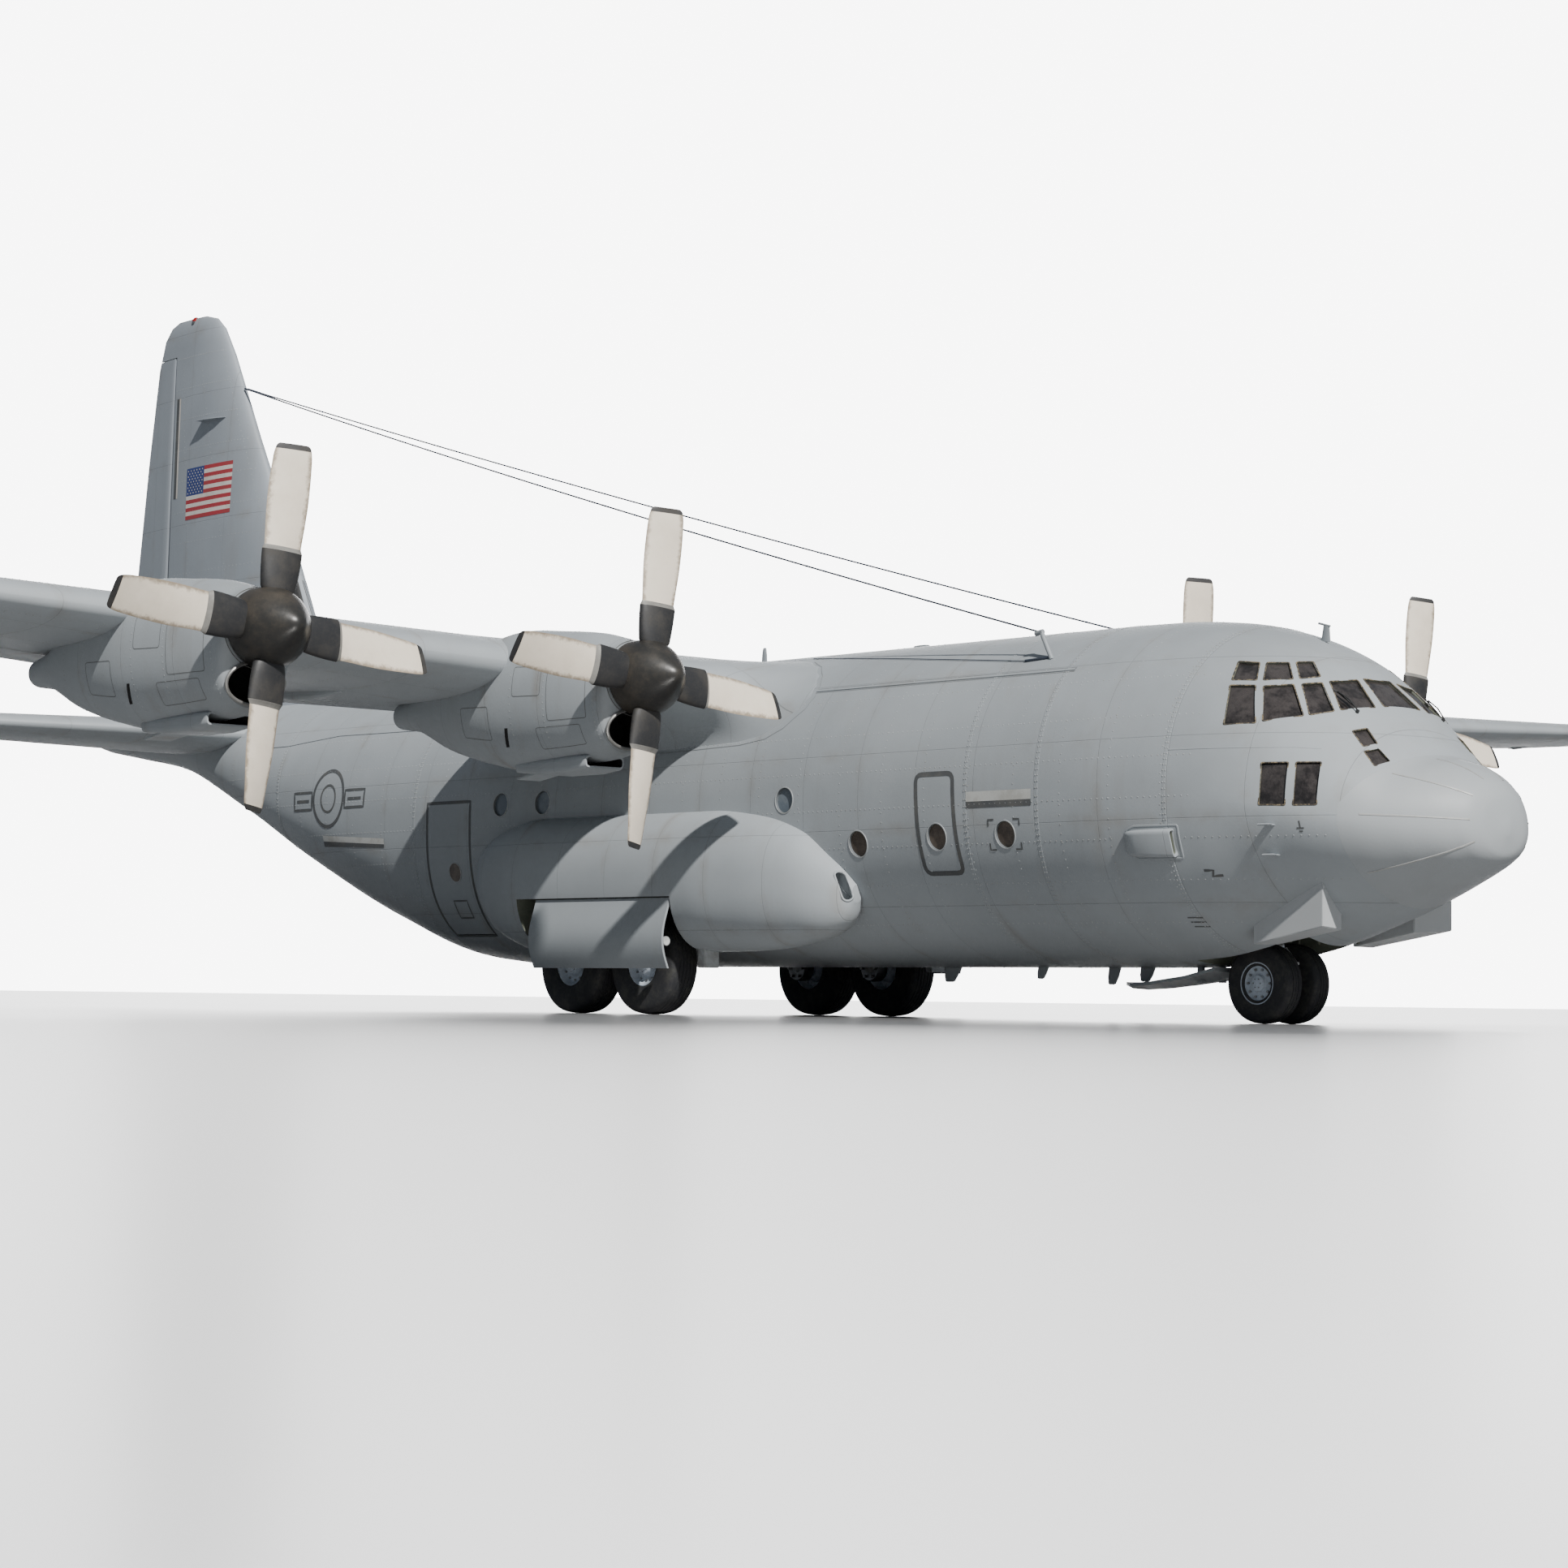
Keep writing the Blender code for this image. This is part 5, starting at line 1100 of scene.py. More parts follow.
def on_nose(p, lift=0.0):
    """A spot on the nose skin for a (distance from the middle, height) point."""
    return front_spot(p[0], p[1], lift)


def window_list():
    """Every flight-deck window as (outline, function from an outline point to a spot on the skin)."""
    windows = []
    for side in (1, -1):
        for corners in FLIGHT_WINDOWS.values():
            windows.append((rounded(corners, WINDOW_CORNER),
                            lambda p, lift=0.0, side=side: side_spot(p[0], p[1], side, lift)))
        for corners in SCREEN_WINDOWS.values():
            windows.append((rounded([(side * y, z) for y, z in corners], WINDOW_CORNER), on_nose))
    windows.append((rounded(CENTRE_PANE, WINDOW_CORNER), on_nose))
    return windows


def window_cutters():
    """Prisms through the skin for all flight-deck windows."""
    bm = bmesh.new()
    for outline, spot in window_list():
        points = [spot(p)[0] for p in outline]
        middle = sum(points, Vector()) / len(points)
        centre = sum(outline, Vector((0, 0))) / len(outline)
        inward = (Vector((10.5, 0, 3.2)) - middle).normalized()
        way = (inward * 0.3 - spot(centre)[1]).normalized()
        loft(bm, [[p - way * 0.10 for p in points], [p + way * 0.20 for p in points]], mat=1)
    return bm


def cockpit_windows():
    """Panes just inside the skin, and a bead of sealant round each opening."""
    panes, beads = bmesh.new(), bmesh.new()
    for outline, spot in window_list():
        centre = sum(outline, Vector((0, 0))) / len(outline)
        hub = panes.verts.new(spot(centre, PANE_LIFT)[0])
        ring = [panes.verts.new(spot(p, PANE_LIFT)[0]) for p in outline]
        middle = [panes.verts.new(spot((p + centre) / 2, PANE_LIFT)[0]) for p in outline]
        for k in range(len(ring)):
            j = (k + 1) % len(ring)
            panes.faces.new((ring[k], ring[j], middle[j], middle[k]))
            panes.faces.new((middle[k], middle[j], hub))
        add_ribbon(beads, [spot(p, 0.001) for p in widened(outline, 0.003)], 0.018, closed=True, thick=0.005)
    piece("cockpit_panes", panes, GLASS, nodes=["cockpit_glazing"])
    piece("cockpit_window_seals", beads, SEAL, flip=False)
    bm = bmesh.new()
    for side in (1, -1):
        wiper(bm, side * 0.781, side)
    piece("wipers", bm, BLACK)


def wiper(bm, y, side):
    """A windscreen wiper: pivot, arm and blade lying on the glass."""
    foot, _ = front_spot(y, 3.545, 0.03)
    tip, _ = front_spot(y + side * 0.038, 3.772, 0.035)
    add_rod(bm, front_spot(y, 3.545, -0.03)[0], foot, 0.022, 12)
    add_tube(bm, [foot, foot.lerp(tip, 0.5) + Vector((0.02, 0, 0.015)), tip], 0.009, 8)
    ends = [front_spot(y + side * a, b, 0.020)[0] for a, b in ((-0.02, 3.60), (0.028, 3.762), (0.05, 3.80))]
    add_tube(bm, ends, 0.010, 6)


HALF_GAP = SEAT_GAP / 2


def nose_shells():
    """The radome, and the hollow flight deck with its openings."""
    stations = [RADOME_X + HALF_GAP, 11.85] + spread(11.95, 12.75, 17) + spread(12.78, 12.93, 11)
    stations += [12.945, 12.955, 12.96]
    piece("radome_shell", solid([hull_ring(x) for x in stations]), RADOME_PAINT, nodes=["radome"])
    rear = BULKHEAD_X + HALF_GAP
    outer = [hull_ring(x) for x in [rear] + spread(8.1, 11.7, 49) + [RADOME_X - HALF_GAP]]
    inside = (rear, 8.6, 9.3, 10.0, 10.6, 11.1, 11.5, LINING_FRONT_X)
    lining = [hull_ring(x, WALL, DECK_Z, 10) for x in inside]
    door_rear, door_front = CREW_DOOR[0] - RUNNING_GAP, CREW_DOOR[1] + RUNNING_GAP
    sill, head = CREW_DOOR[2:]
    sill_y = min(skin_y(x, sill) for x in CREW_DOOR[:2])
    steps = [("DIFFERENCE", window_cutters(), True)] + cuts(
        box((NOSE_WELL_X[0], -0.64, 0.3), (NOSE_WELL_X[1], 0.64, NOSE_WELL_Z), 1),
        box((door_rear, 0.76, sill - RUNNING_GAP), (door_front, 2.6, head + RUNNING_GAP), 1),
        box((door_rear, sill_y, sill - 0.30), (door_front, 2.6, sill), 1),
        box((7.5, 0.60, 1.05), (CREW_DOOR[0] + 0.1, 1.20, 2.6), 1))
    cockpit = carve("cockpit_shell", solid(lining[::-1] + outer, inner=range(len(lining))), steps)
    place_mesh("cockpit_shell", cockpit, [HULL_PAINT, PRIMER], "airframe", ["cockpit_section"], sharp=28)


def hold_shells():
    """The forward and centre sections round the hold, with their windows, wells and side doors."""
    forward = hold_section(spread(BULKHEAD_X - HALF_GAP, WING_JOINT_X + HALF_GAP, 25), [None] * 25)
    mesh = carve("forward_shell", forward, cuts(round_holes()))
    place_mesh("forward_shell", mesh, [HULL_PAINT, PRIMER], "airframe", ["forward_fuselage"])
    stations = (WING_JOINT_X - HALF_GAP, 1.95, 1.75, -1.75, -1.95, -2.6, -3.2, -3.6, -4.0, RAMP_X + HALF_GAP)
    walls = (None, None, HOLD_HALF_WIDTH, HOLD_HALF_WIDTH) + (None,) * 6
    rear, front, sill, head = PARA_DOOR
    guides = [wing_guide((-3.0, 3.0))]
    for _, side in SIDES:
        guides.append(side_box(bmesh.new(), side, WELL[:2], (WELL[2], 3.0), (0.3, WELL[3]), 1))
        guides.append(side_box(bmesh.new(), side, (rear - PARA_GAP, front + PARA_GAP), (1.3, 2.6),
                               (sill - PARA_GAP, head + PARA_GAP), 1))
    mesh = carve("centre_shell", hold_section(stations, walls), cuts(*guides, round_holes()))
    place_mesh("centre_shell", mesh, [HULL_PAINT, PRIMER], "airframe", ["centre_fuselage"])


def aft_shell():
    """The tail section with the ramp's and the cargo door's openings and the bulkhead behind them."""
    start = RAMP_X - HALF_GAP
    outer = [hull_ring(x) for x in [start] + spread(-4.8, -16.5, 46) + [-16.65, -16.75, TAIL_X]]
    inside = (start, -5.3, -6.1, -7.2, -8.24, -9.2, -10.1, -11.6, -12.9, -14.4, -15.6)
    lining = [hull_ring(x, WALL) for x in inside]
    low, high = CARGO_DOOR_X[0] - 0.10, CARGO_DOOR_X[0] - RUNNING_GAP
    half = RAMP_HALF_WIDTH + RUNNING_GAP
    door = CARGO_DOOR_HALF_WIDTH + RUNNING_GAP
    steps = [("UNION", solid([hull_ring(low, 0.05), hull_ring(high, 0.05)], mat=1))] + cuts(
        box((low - 0.2, -0.35, 4.05), (high + 0.2, 0.35, 4.45), 1),
        box((RAMP_REAR_X, -half, 0.3), (-4.0, half, 2.4), 1),
        box((high - 0.0005, -door, 1.2), (RAMP_REAR_X + 0.01, door, 3.55), 1),
        tailplane_guide())
    mesh = carve("aft_shell", solid(lining[::-1] + outer, inner=range(len(lining))), steps)
    place_mesh("aft_shell", mesh, [HULL_PAINT, PRIMER], "airframe", ["aft_fuselage"])


def hold_section(stations, walls):
    """A stretch of the hold, open at both ends."""
    outer = [hull_ring(x) for x in stations]
    lining = [hull_ring(x, WALL, UNDERFLOOR_Z, wall=wall) for x, wall in zip(stations, walls)]
    count = len(stations)
    return solid(outer + lining[::-1], cyclic=True, inner=range(count - 1, 2 * count))


def round_holes():
    """Round holes on both sides of the hold."""
    bm = bmesh.new()
    for x, z in ROUND_WINDOWS:
        for side in (1, -1):
            y = side * skin_y(x, z)
            add_rod(bm, (x, y + side * 0.15, z), (x, y - side * 0.25, z), ROUND_WINDOW_RADIUS, 40, mat=1)
    return bm


def side_panel(x_low, x_high, z_low, z_high, side, thickness, straight=False):
    """A curved door that fills a rectangle of the side skin."""
    rings = []
    for z in spread(z_low, z_high, 28):
        rear, front = skin_y(x_low, z), skin_y(x_high, z)
        if straight and z == z_low:
            rear = front = min(rear, front)
        rings.append([(x_low, side * rear, z), (x_high, side * front, z),
                      (x_high, side * (front - thickness), z), (x_low, side * (rear - thickness), z)])
    return solid(rings)


def belly_panel(stations, half_width, top, bevel=0.0):
    """A panel of the underside, its inner face given by top(x, y) and its rear edge bevelled."""
    rings = []
    across = spread(-half_width, half_width, 33)
    for x in stations:
        shift = bevel if x == stations[0] else 0.0
        under = [(x, y, skin_bottom(x, y)) for y in across]
        over = [(x + shift, y, top(x + shift, y)) for y in reversed(across)]
        rings.append(under + over)
    return solid(rings)


def ramp_floor(x):
    """Height of the closed ramp's floor."""
    return FLOOR_Z + (RAMP_REAR_Z - FLOOR_Z) / (RAMP_REAR_X - RAMP_X) * (x - RAMP_X)


def doors():
    """Crew door, paratroop doors, loading ramp and cargo door."""
    crew_door = side_panel(*CREW_DOOR, 1, DOOR_THICKNESS, True)
    piece("crew_door_panel", crew_door, HULL_PAINT, "crew_door", ["crew_door"])
    for label, side in SIDES:
        piece(f"paratroop_door_{label}_panel", side_panel(*PARA_DOOR, side, DOOR_THICKNESS), HULL_PAINT,
              nodes=["paratroop_door_" + label])
    ramp_panel = belly_panel(spread(RAMP_REAR_X + RUNNING_GAP, RAMP_X - RUNNING_GAP, 16), RAMP_HALF_WIDTH,
                             lambda x, y: max(ramp_floor(x), skin_bottom(x, y) + 0.05), 0.13)
    piece("cargo_ramp_panel", ramp_panel, HULL_PAINT, "cargo_ramp", ["cargo_ramp"])
    x_rear, x_front = CARGO_DOOR_X
    door = belly_panel(spread(x_rear, x_front, 16), CARGO_DOOR_HALF_WIDTH,
                       lambda x, y: skin_bottom(x, y) + DOOR_THICKNESS)
    piece("cargo_door_panel", door, HULL_PAINT, "cargo_door", ["cargo_door"])


# Power plants

# distance behind the propeller, top, bottom and half width about the shaft height
NACELLE = Table((
    (0.30, 0.46, -0.46, 0.46),
    (0.42, 0.49, -0.90, 0.49),
    (0.90, 0.60, -0.99, 0.56),
    (1.60, 0.67, -1.03, 0.61),
    (2.30, 0.72, -1.05, 0.63),
    (3.10, 0.60, -0.93, 0.59),
    (3.80, 0.40, -0.76, 0.49),
    (4.60, 0.02, -0.46, 0.31),
    (5.05, -0.06, -0.40, 0.20),
))


NACELLE_FULLNESS = 2.2
# Height of the chin intake's middle from the shaft
CHIN_Z = -0.62
# Distance behind the propeller, drop below the shaft and radius of the engine's bay inside the cowling
ENGINE_BAY = ((1.10, -0.48, 0.34), (3.00, -0.46, 0.34), (4.00, -0.33, 0.18), (5.30, -0.23, 0.12))
# Distance behind the propeller, half width and half height of the chin intake's mouth
CHIN_MOUTH = ((0.2, 0.40, 0.25), (0.85, 0.28, 0.19))


def nacelle(number, hub):
    """Cowling with the chin intake, its inside painted near-black as shade, the engine's bay and the exhaust
    at its tail.
    """
    x0, y0, z0 = hub
    rings = []
    for behind in [0.30, 0.305, 0.32, 0.35, 0.38, 0.42, 0.5, 0.6, 0.75] + spread(0.9, 5.05, 34):
        top, bottom, half = NACELLE.at(behind)
        middle, height = z0 + (top + bottom) / 2, (top - bottom) / 2
        rings.append(ellipse(x0 - behind, y0, middle, half, height, 72, NACELLE_FULLNESS))
    side = 1 if y0 > 0 else -1
    spans = (3.75, 5.585) if abs(y0) < 6 else (9.0, 11.4)
    # The mouth's cut walls take the second finish: painted shade inside the intake
    mouth = solid([ellipse(x0 - b, y0, z0 + CHIN_Z, wide, high, 40) for b, wide, high in CHIN_MOUTH], mat=1)
    bay = solid([ellipse(x0 - b, y0, z0 + z, r, r, 40) for b, z, r in ENGINE_BAY], mat=2)
    steps = cuts(wing_guide([side * span for span in spans]), mouth, bay)
    mesh = carve(f"nacelle_{number}_cowl", solid(rings), steps)
    place_mesh(f"nacelle_{number}_cowl", mesh, [NACELLE_PAINT, OPENING_SHADE, SOOT], "airframe", [f"nacelle_{number}"])


# radius, chord, thickness, pitch in degrees
BLADE_LINES = Table((
    (0.30, 0.20, 0.18, 5),
    (0.44, 0.44, 0.19, 5),
    (0.86, 0.50, 0.15, 8),
    (0.90, 0.45, 0.075, 9),
    (1.40, 0.48, 0.055, 18),
    (1.95, 0.44, 0.032, 27),
    (PROP_RADIUS, 0.38, 0.020, 28),
))
# distance ahead of the blades, radius
SPINNER_LINES = ((-0.30 + SEAT_GAP, 0.12), (-0.26, 0.12), (-0.26, 0.45), (-0.20, 0.463), (0.03, 0.455),
                 (0.13, 0.415), (0.22, 0.362), (0.30, 0.303), (0.38, 0.235), (0.44, 0.178), (0.50, 0.112),
                 (0.53, 0.072), (0.55, 0.02))
# Degrees that each propeller stands turned at rest
BLADE_REST = {1: 6.7, 2: 2.4, 3: 6.15, 4: 6.2}


BLADE_STATIONS = [0.30, 0.36, 0.44, 0.55, 0.65, 0.75, 0.855, 0.86, 0.87, 0.915, 0.92]
BLADE_STATIONS += spread(0.96, 1.94, 18) + [1.96, 2.0, 2.035, 2.06, 2.08, 2.092, PROP_RADIUS]
# Radii where the cuff and the grey band end, and where the dark tip and its rounding begin
CUFF_END = 0.86
BAND_END = 0.915
TIP_PAINT = 2.03
TIP_ROUNDING = 2.05


def add_blade(bm, edge, hub, turn):
    """One blade; how far each point is from the middle of the chord is kept for the paint."""
    rows = []
    for radius in BLADE_STATIONS:
        chord, thickness, pitch = BLADE_LINES.at(radius)
        if radius > TIP_ROUNDING:
            chord *= 1 - 0.16 * ((radius - TIP_ROUNDING) / 0.05) ** 3
        sharpness = 0.65 if radius > 0.88 else 0.0
        twist = Matrix.Rotation(-math.radians(pitch), 4, "Z")
        row = []
        for a in turns(24):
            swell = math.sin(a) * abs(math.sin(a)) ** sharpness
            flat = twist @ Vector((thickness / 2 * swell, chord / 2 * math.cos(a), 0))
            vert = bm.verts.new(Vector(hub) + turn @ (flat + Vector((0, 0, radius))))
            vert[edge] = abs(math.cos(a))
            row.append(vert)
        rows.append(row)
    for radius, row, following in zip(BLADE_STATIONS, rows, rows[1:]):
        dark = radius < CUFF_END or radius > TIP_PAINT
        strip(bm, row, following, 1 if dark else 3 if radius < BAND_END else 2)
    for row in (rows[-1], rows[0]):
        bm.faces.new(row).material_index = 1


def propeller(number, hub):
    """Spinner with four blades: rubber cuffs, a grey band, cream paint and black tips."""
    bm = add_lathe(bmesh.new(), SPINNER_LINES, hub, "X", 48)
    edge = bm.verts.layers.float.new("edge")
    for blade in range(4):
        add_blade(bm, edge, hub, Matrix.Rotation(math.radians(90 * blade - BLADE_REST[number]), 4, "X"))
    piece(f"propeller_{number}_assembly", bm, [SPINNER, CUFF, BLADE, BAND], f"propeller_{number}",
          [f"propeller_{number}"], sharp=40)


# Landing gear

SPONSON_FRONT_X = 4.44
# station, height of the middle, half width, half height
SPONSON = Table((
    (SPONSON_FRONT_X, 1.56, 0.08, 0.11),
    (4.34, 1.53, 0.20, 0.28),
    (4.12, 1.55, 0.34, 0.47),
    (3.62, 1.67, 0.53, 0.72),
    (2.80, 1.73, 0.68, 0.88),
    (1.90, 1.76, 0.75, 0.93),
    (-1.70, 1.76, 0.75, 0.93),
    (-2.40, 1.78, 0.62, 0.80),
    (-3.00, 1.86, 0.36, 0.52),
    (-3.35, 1.94, 0.10, 0.20),
))
SPONSON_Y = 1.95
SPONSON_FULLNESS = 2.3


def door_bulge(t):
    """How far a main gear door curves outboard, from its hinge at 0 to its lower edge at 1."""
    return 0.11 * math.sin(math.pi * t ** 1.19) + 0.02 * t


def sponson(label, side):
    """Pod round the main gear with its open bay and its air inlet."""
    stations = [SPONSON_FRONT_X, 4.435, 4.42, 4.40] + spread(4.37, 1.9, 40) + [0.8, 0.0, -0.8, -1.7]
    stations += spread(-1.8, -3.35, 22)
    rings = []
    for x in stations:
        z, half, height = SPONSON.at(x)
        rings.append(ellipse(x, side * SPONSON_Y, z, half, height, 96, SPONSON_FULLNESS))
    hinge_y, hinge_z = GEAR_DOOR_HINGE
    inner = side_box(bmesh.new(), side, WELL[:2], (1.0, hinge_y - 0.06), (0.2, WELL[3]), 1)
    outer = side_box(bmesh.new(), side, (WELL[0], WELL[1] + 0.05), (1.0, 3.4),
                     (0.2, hinge_z + RUNNING_GAP), 1)
    beside = (5.2, 5.0, 4.0, 3.0, WING_JOINT_X, -3.2, -4.0, RAMP_X)
    seat = solid([hull_ring(x, -SEAT_GAP) for x in beside], mat=1)
    way = Vector((0.80, side * 0.55, 0.0))
    slot = solid([[p + way * reach for p in inlet_slot(side)] for reach in (0.2, -0.25)])
    mesh = carve(f"sponson_{label}_shell", solid(rings), cuts(seat, inner, outer, slot))
    place_mesh(f"sponson_{label}_shell", mesh, [POD_PAINT, PRIMER], "airframe", ["sponson_" + label])


def gear_door(label, side):
    """The bulged door over one main bay."""
    rings = []
    for t in spread(0, 1, 31):
        z = GEAR_DOOR_HINGE[1] - 0.004 - t * GEAR_DOOR_LENGTH
        out = side * GEAR_DOOR_HINGE[0] + side * door_bulge(t)
        plan = rect(GEAR_DOOR_X[0], out, GEAR_DOOR_X[1], out - side * GEAR_DOOR_THICKNESS)
        rings.append([(x, y, z) for x, y in plan])
    piece(f"gear_door_{label}_panel", solid(rings), DOOR_PAINT, "gear_door_" + label, ["gear_door_" + label])


def tyre(name, centre, radius, width, rim_radius, body, node, grooves):
    """Tyre with rounded shoulders and straight grooves round its tread."""
    half = width / 2
    profile = [(-half * 0.80, rim_radius)]
    for degrees in spread(-70, 70, 14):
        a = math.radians(degrees)
        r = rim_radius + (radius * 0.93 - rim_radius) * (0.5 + 0.5 * math.sin(a) / math.sin(math.radians(70)))
        profile.append((-half * (0.82 + 0.18 * math.cos(a) ** 0.8), r))
    tread = []
    for k in range(61):
        s = -0.80 + 1.60 * k / 60
        crown = radius * (1 - 0.055 * abs(s) ** 3)
        deep = any(abs(s - g) < 0.022 for g in grooves)
        tread.append((half * s, crown - (0.016 if deep else 0.0)))
    mirror = [(-along, r) for along, r in reversed(profile)]
    bm = add_lathe(bmesh.new(), profile + tread + mirror, centre, "Y", 96, closed=True)
    piece(name, bm, RUBBER, body, [node], sharp=38)


def add_bolts(bm, centre, radius, along, count, size, side):
    """A circle of bolt heads on the outer face of a rim."""
    for a in turns(count):
        spot = Vector(centre) + Vector((radius * math.cos(a), 0, radius * math.sin(a)))
        ends = (spot + Vector((0, side * reach, 0)) for reach in (along, along + size * 0.8))
        add_rod(bm, *ends, size / 2, 6, mat=1)


def main_wheels():
    """Tyre, dished rim, bolts and hub cap of the four main wheels."""
    rim_radius = 0.30
    for label, side in SIDES:
        for place, x in (("front", MAIN_WHEEL_X), ("rear", -MAIN_WHEEL_X)):
            name = f"{place}_{label}"
            body = "main_wheel_" + name
            centre = (x, side * MAIN_WHEEL_Y, MAIN_TYRE_RADIUS)
            tyre(f"main_tyre_{name}_tread", centre, MAIN_TYRE_RADIUS, MAIN_TYRE_WIDTH, rim_radius, body,
                 "main_tyre_" + name, (-0.48, -0.24, 0.0, 0.24, 0.48))
            rim = rim_radius - SEAT_GAP
            profile = [(side * a, r) for a, r in (
                (-0.20, 0.0665), (-0.20, 0.14), (-0.05, 0.20), (-0.05, 0.26), (-0.200, rim), (0.200, rim),
                (0.203, 0.288), (0.185, 0.272), (0.155, 0.262), (0.125, 0.235), (0.115, 0.20), (0.12, 0.165),
                (0.15, 0.148), (0.195, 0.135), (0.20, 0.12), (0.20, 0.0665))]
            bm = add_lathe(bmesh.new(), profile, centre, "Y", 64, closed=True)
            add_bolts(bm, centre, 0.222, 0.115, 12, 0.030, side)
            add_bolts(bm, centre, 0.105, 0.19, 8, 0.016, side)
            cap = [(side * a, r) for a, r in ((0.198, 0.098), (0.23, 0.098), (0.245, 0.075), (0.25, 0.02))]
            add_lathe(bm, cap, centre, "Y", 32)
            piece(f"main_rim_{name}_wheel", bm, [RIM, STEEL], body, ["main_rim_" + name])


def nose_wheels():
    """The pair of nose wheels on one axle."""
    x, z = NOSE_WHEEL_X, NOSE_TYRE_RADIUS
    rim = 0.205
    bead = rim - SEAT_GAP
    half = ((0.115, 0.055), (0.115, 0.13), (0.13, 0.17), (0.13, bead), (0.37, bead), (0.380, 0.225),
            (0.386, 0.252), (0.396, 0.250), (0.394, 0.236), (0.372, 0.215), (0.350, 0.19), (0.345, 0.150),
            (0.348, 0.11), (0.36, 0.10), (0.385, 0.095), (0.392, 0.08), (0.394, 0.01))
    profile = [(-a, r) for a, r in reversed(half)] + list(half)
    bm = add_lathe(bmesh.new(), profile, (x, 0, z), "Y", 64)
    for side in (1, -1):
        add_bolts(bm, (x, 0, z), 0.165, 0.343, 10, 0.032, side)
        add_bolts(bm, (x, 0, z), 0.055, 0.392, 6, 0.014, side)
    piece("nose_rims", bm, [RIM, STEEL], "nose_wheelset", ["nose_wheels"])
    for label, side in SIDES:
        tyre(f"nose_tyre_{label}_tread", (x, side * NOSE_WHEEL_Y, z), NOSE_TYRE_RADIUS, NOSE_TYRE_WIDTH, rim,
             "nose_wheelset", "nose_tyre_" + label, (-0.3, 0.0, 0.3))


def carried_over():
    """CAD nodes whose shape stays get their real finish."""
    finishes = {"cargo_floor": DECK, "flight_deck": DECK, "main_leg_left": GEAR, "main_leg_right": GEAR,
                "nose_leg": GEAR, "nose_fork": CHROME, "nose_aft_door": DOOR_PAINT}
    finishes.update({f"engine_{number}": SOOT for number in HUBS})
    for node, material in finishes.items():
        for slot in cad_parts[node].material_slots:
            slot.material = material


# Spots on curved skins, and what is laid on them

def hull_spot(x, a, lift=0.0):
    """A point of the fuselage skin at a station and an angle from the port side, and its normal."""
    point = Vector(hull_point(x, a))
    around = Vector(hull_point(x, a + 0.01)) - Vector(hull_point(x, a - 0.01))
    along = Vector(hull_point(x + 0.01, a)) - Vector(hull_point(x - 0.01, a))
    normal = around.cross(along).normalized()
    return point + normal * lift, normal


def nacelle_point(hub, behind, a):
    top, bottom, half = NACELLE.at(behind)
    out = half * bulged(math.cos(a), 2 / NACELLE_FULLNESS)
    rise = (top + bottom) / 2 + (top - bottom) / 2 * bulged(math.sin(a), 2 / NACELLE_FULLNESS)
    return Vector((hub[0] - behind, hub[1] + out, hub[2] + rise))


def nacelle_spot(hub, behind, a, lift=0.0):
    """A point of a cowling by its distance behind the propeller and its angle from port, and its normal."""
    around = nacelle_point(hub, behind, a + 0.01) - nacelle_point(hub, behind, a - 0.01)
    along = nacelle_point(hub, behind - 0.01, a) - nacelle_point(hub, behind + 0.01, a)
    normal = around.cross(along).normalized()
    return nacelle_point(hub, behind, a) + normal * lift, normal


def foil_spot(foil, span, fraction, side, lift=0.0):
    """A point of a lifting surface, above or below its middle, and its normal."""
    along = foil.point(span, fraction + 0.004, side) - foil.point(span, fraction - 0.004, side)
    out = foil.point(span + 0.01, fraction, side) - foil.point(span - 0.01, fraction, side)
    normal = along.cross(out).normalized()
    if normal.dot(foil.up) * side < 0:
        normal = -normal
    return foil.point(span, fraction, side) + normal * lift, normal


def dense(points, closed=True, step=0.08):
    """Points along a flat outline, close enough to follow a curved skin."""
    points = [Vector(p) for p in points]
    found = []
    for a, b in neighbours(points, closed):
        count = max(1, math.ceil((b - a).length / step))
        found += [a.lerp(b, k / count) for k in range(count)]
    return found if closed else found + [points[-1]]


def trace(bm, points, side, width, closed=True, lift=0.003, thick=0.0):
    """A line drawn on the side skin through (station, height) points."""
    spots = [side_spot(p[0], p[1], side, lift) for p in dense(points, closed)]
    return add_ribbon(bm, spots, width, 0, closed, thick)


def add_patch(bm, spot, corners, mat=0, lift=0.003, across=12, up=4):
    """A painted area between four flat corners, laid on a skin."""
    a, b, c, d = (Vector(p) for p in corners)
    rows = []
    for j in range(up + 1):
        low, high = a.lerp(d, j / up), b.lerp(c, j / up)
        rows.append([bm.verts.new(spot(low.lerp(high, k / across), lift)) for k in range(across + 1)])
    for row, following in neighbours(rows):
        strip(bm, row, following, mat, closed=False)
    return bm


def add_disc(bm, spot, centre, radius, mat=0, lift=0.003, rings=4, sides=48):
    """A round painted area laid on a skin."""
    hub = bm.verts.new(spot(Vector(centre), lift))
    rows = []
    for j in range(1, rings + 1):
        ring = circle(centre, radius * j / rings, sides)
        rows.append([bm.verts.new(spot(Vector(p), lift)) for p in ring])
    for k in range(sides):
        j = (k + 1) % sides
        bm.faces.new((hub, rows[0][k], rows[0][j])).material_index = mat
        for row, following in zip(rows, rows[1:]):
            bm.faces.new((row[k], following[k], following[j], row[j])).material_index = mat
    return bm


def circle(centre, radius, count=48):
    return [(centre[0] + radius * math.cos(a), centre[1] + radius * math.sin(a)) for a in turns(count)]


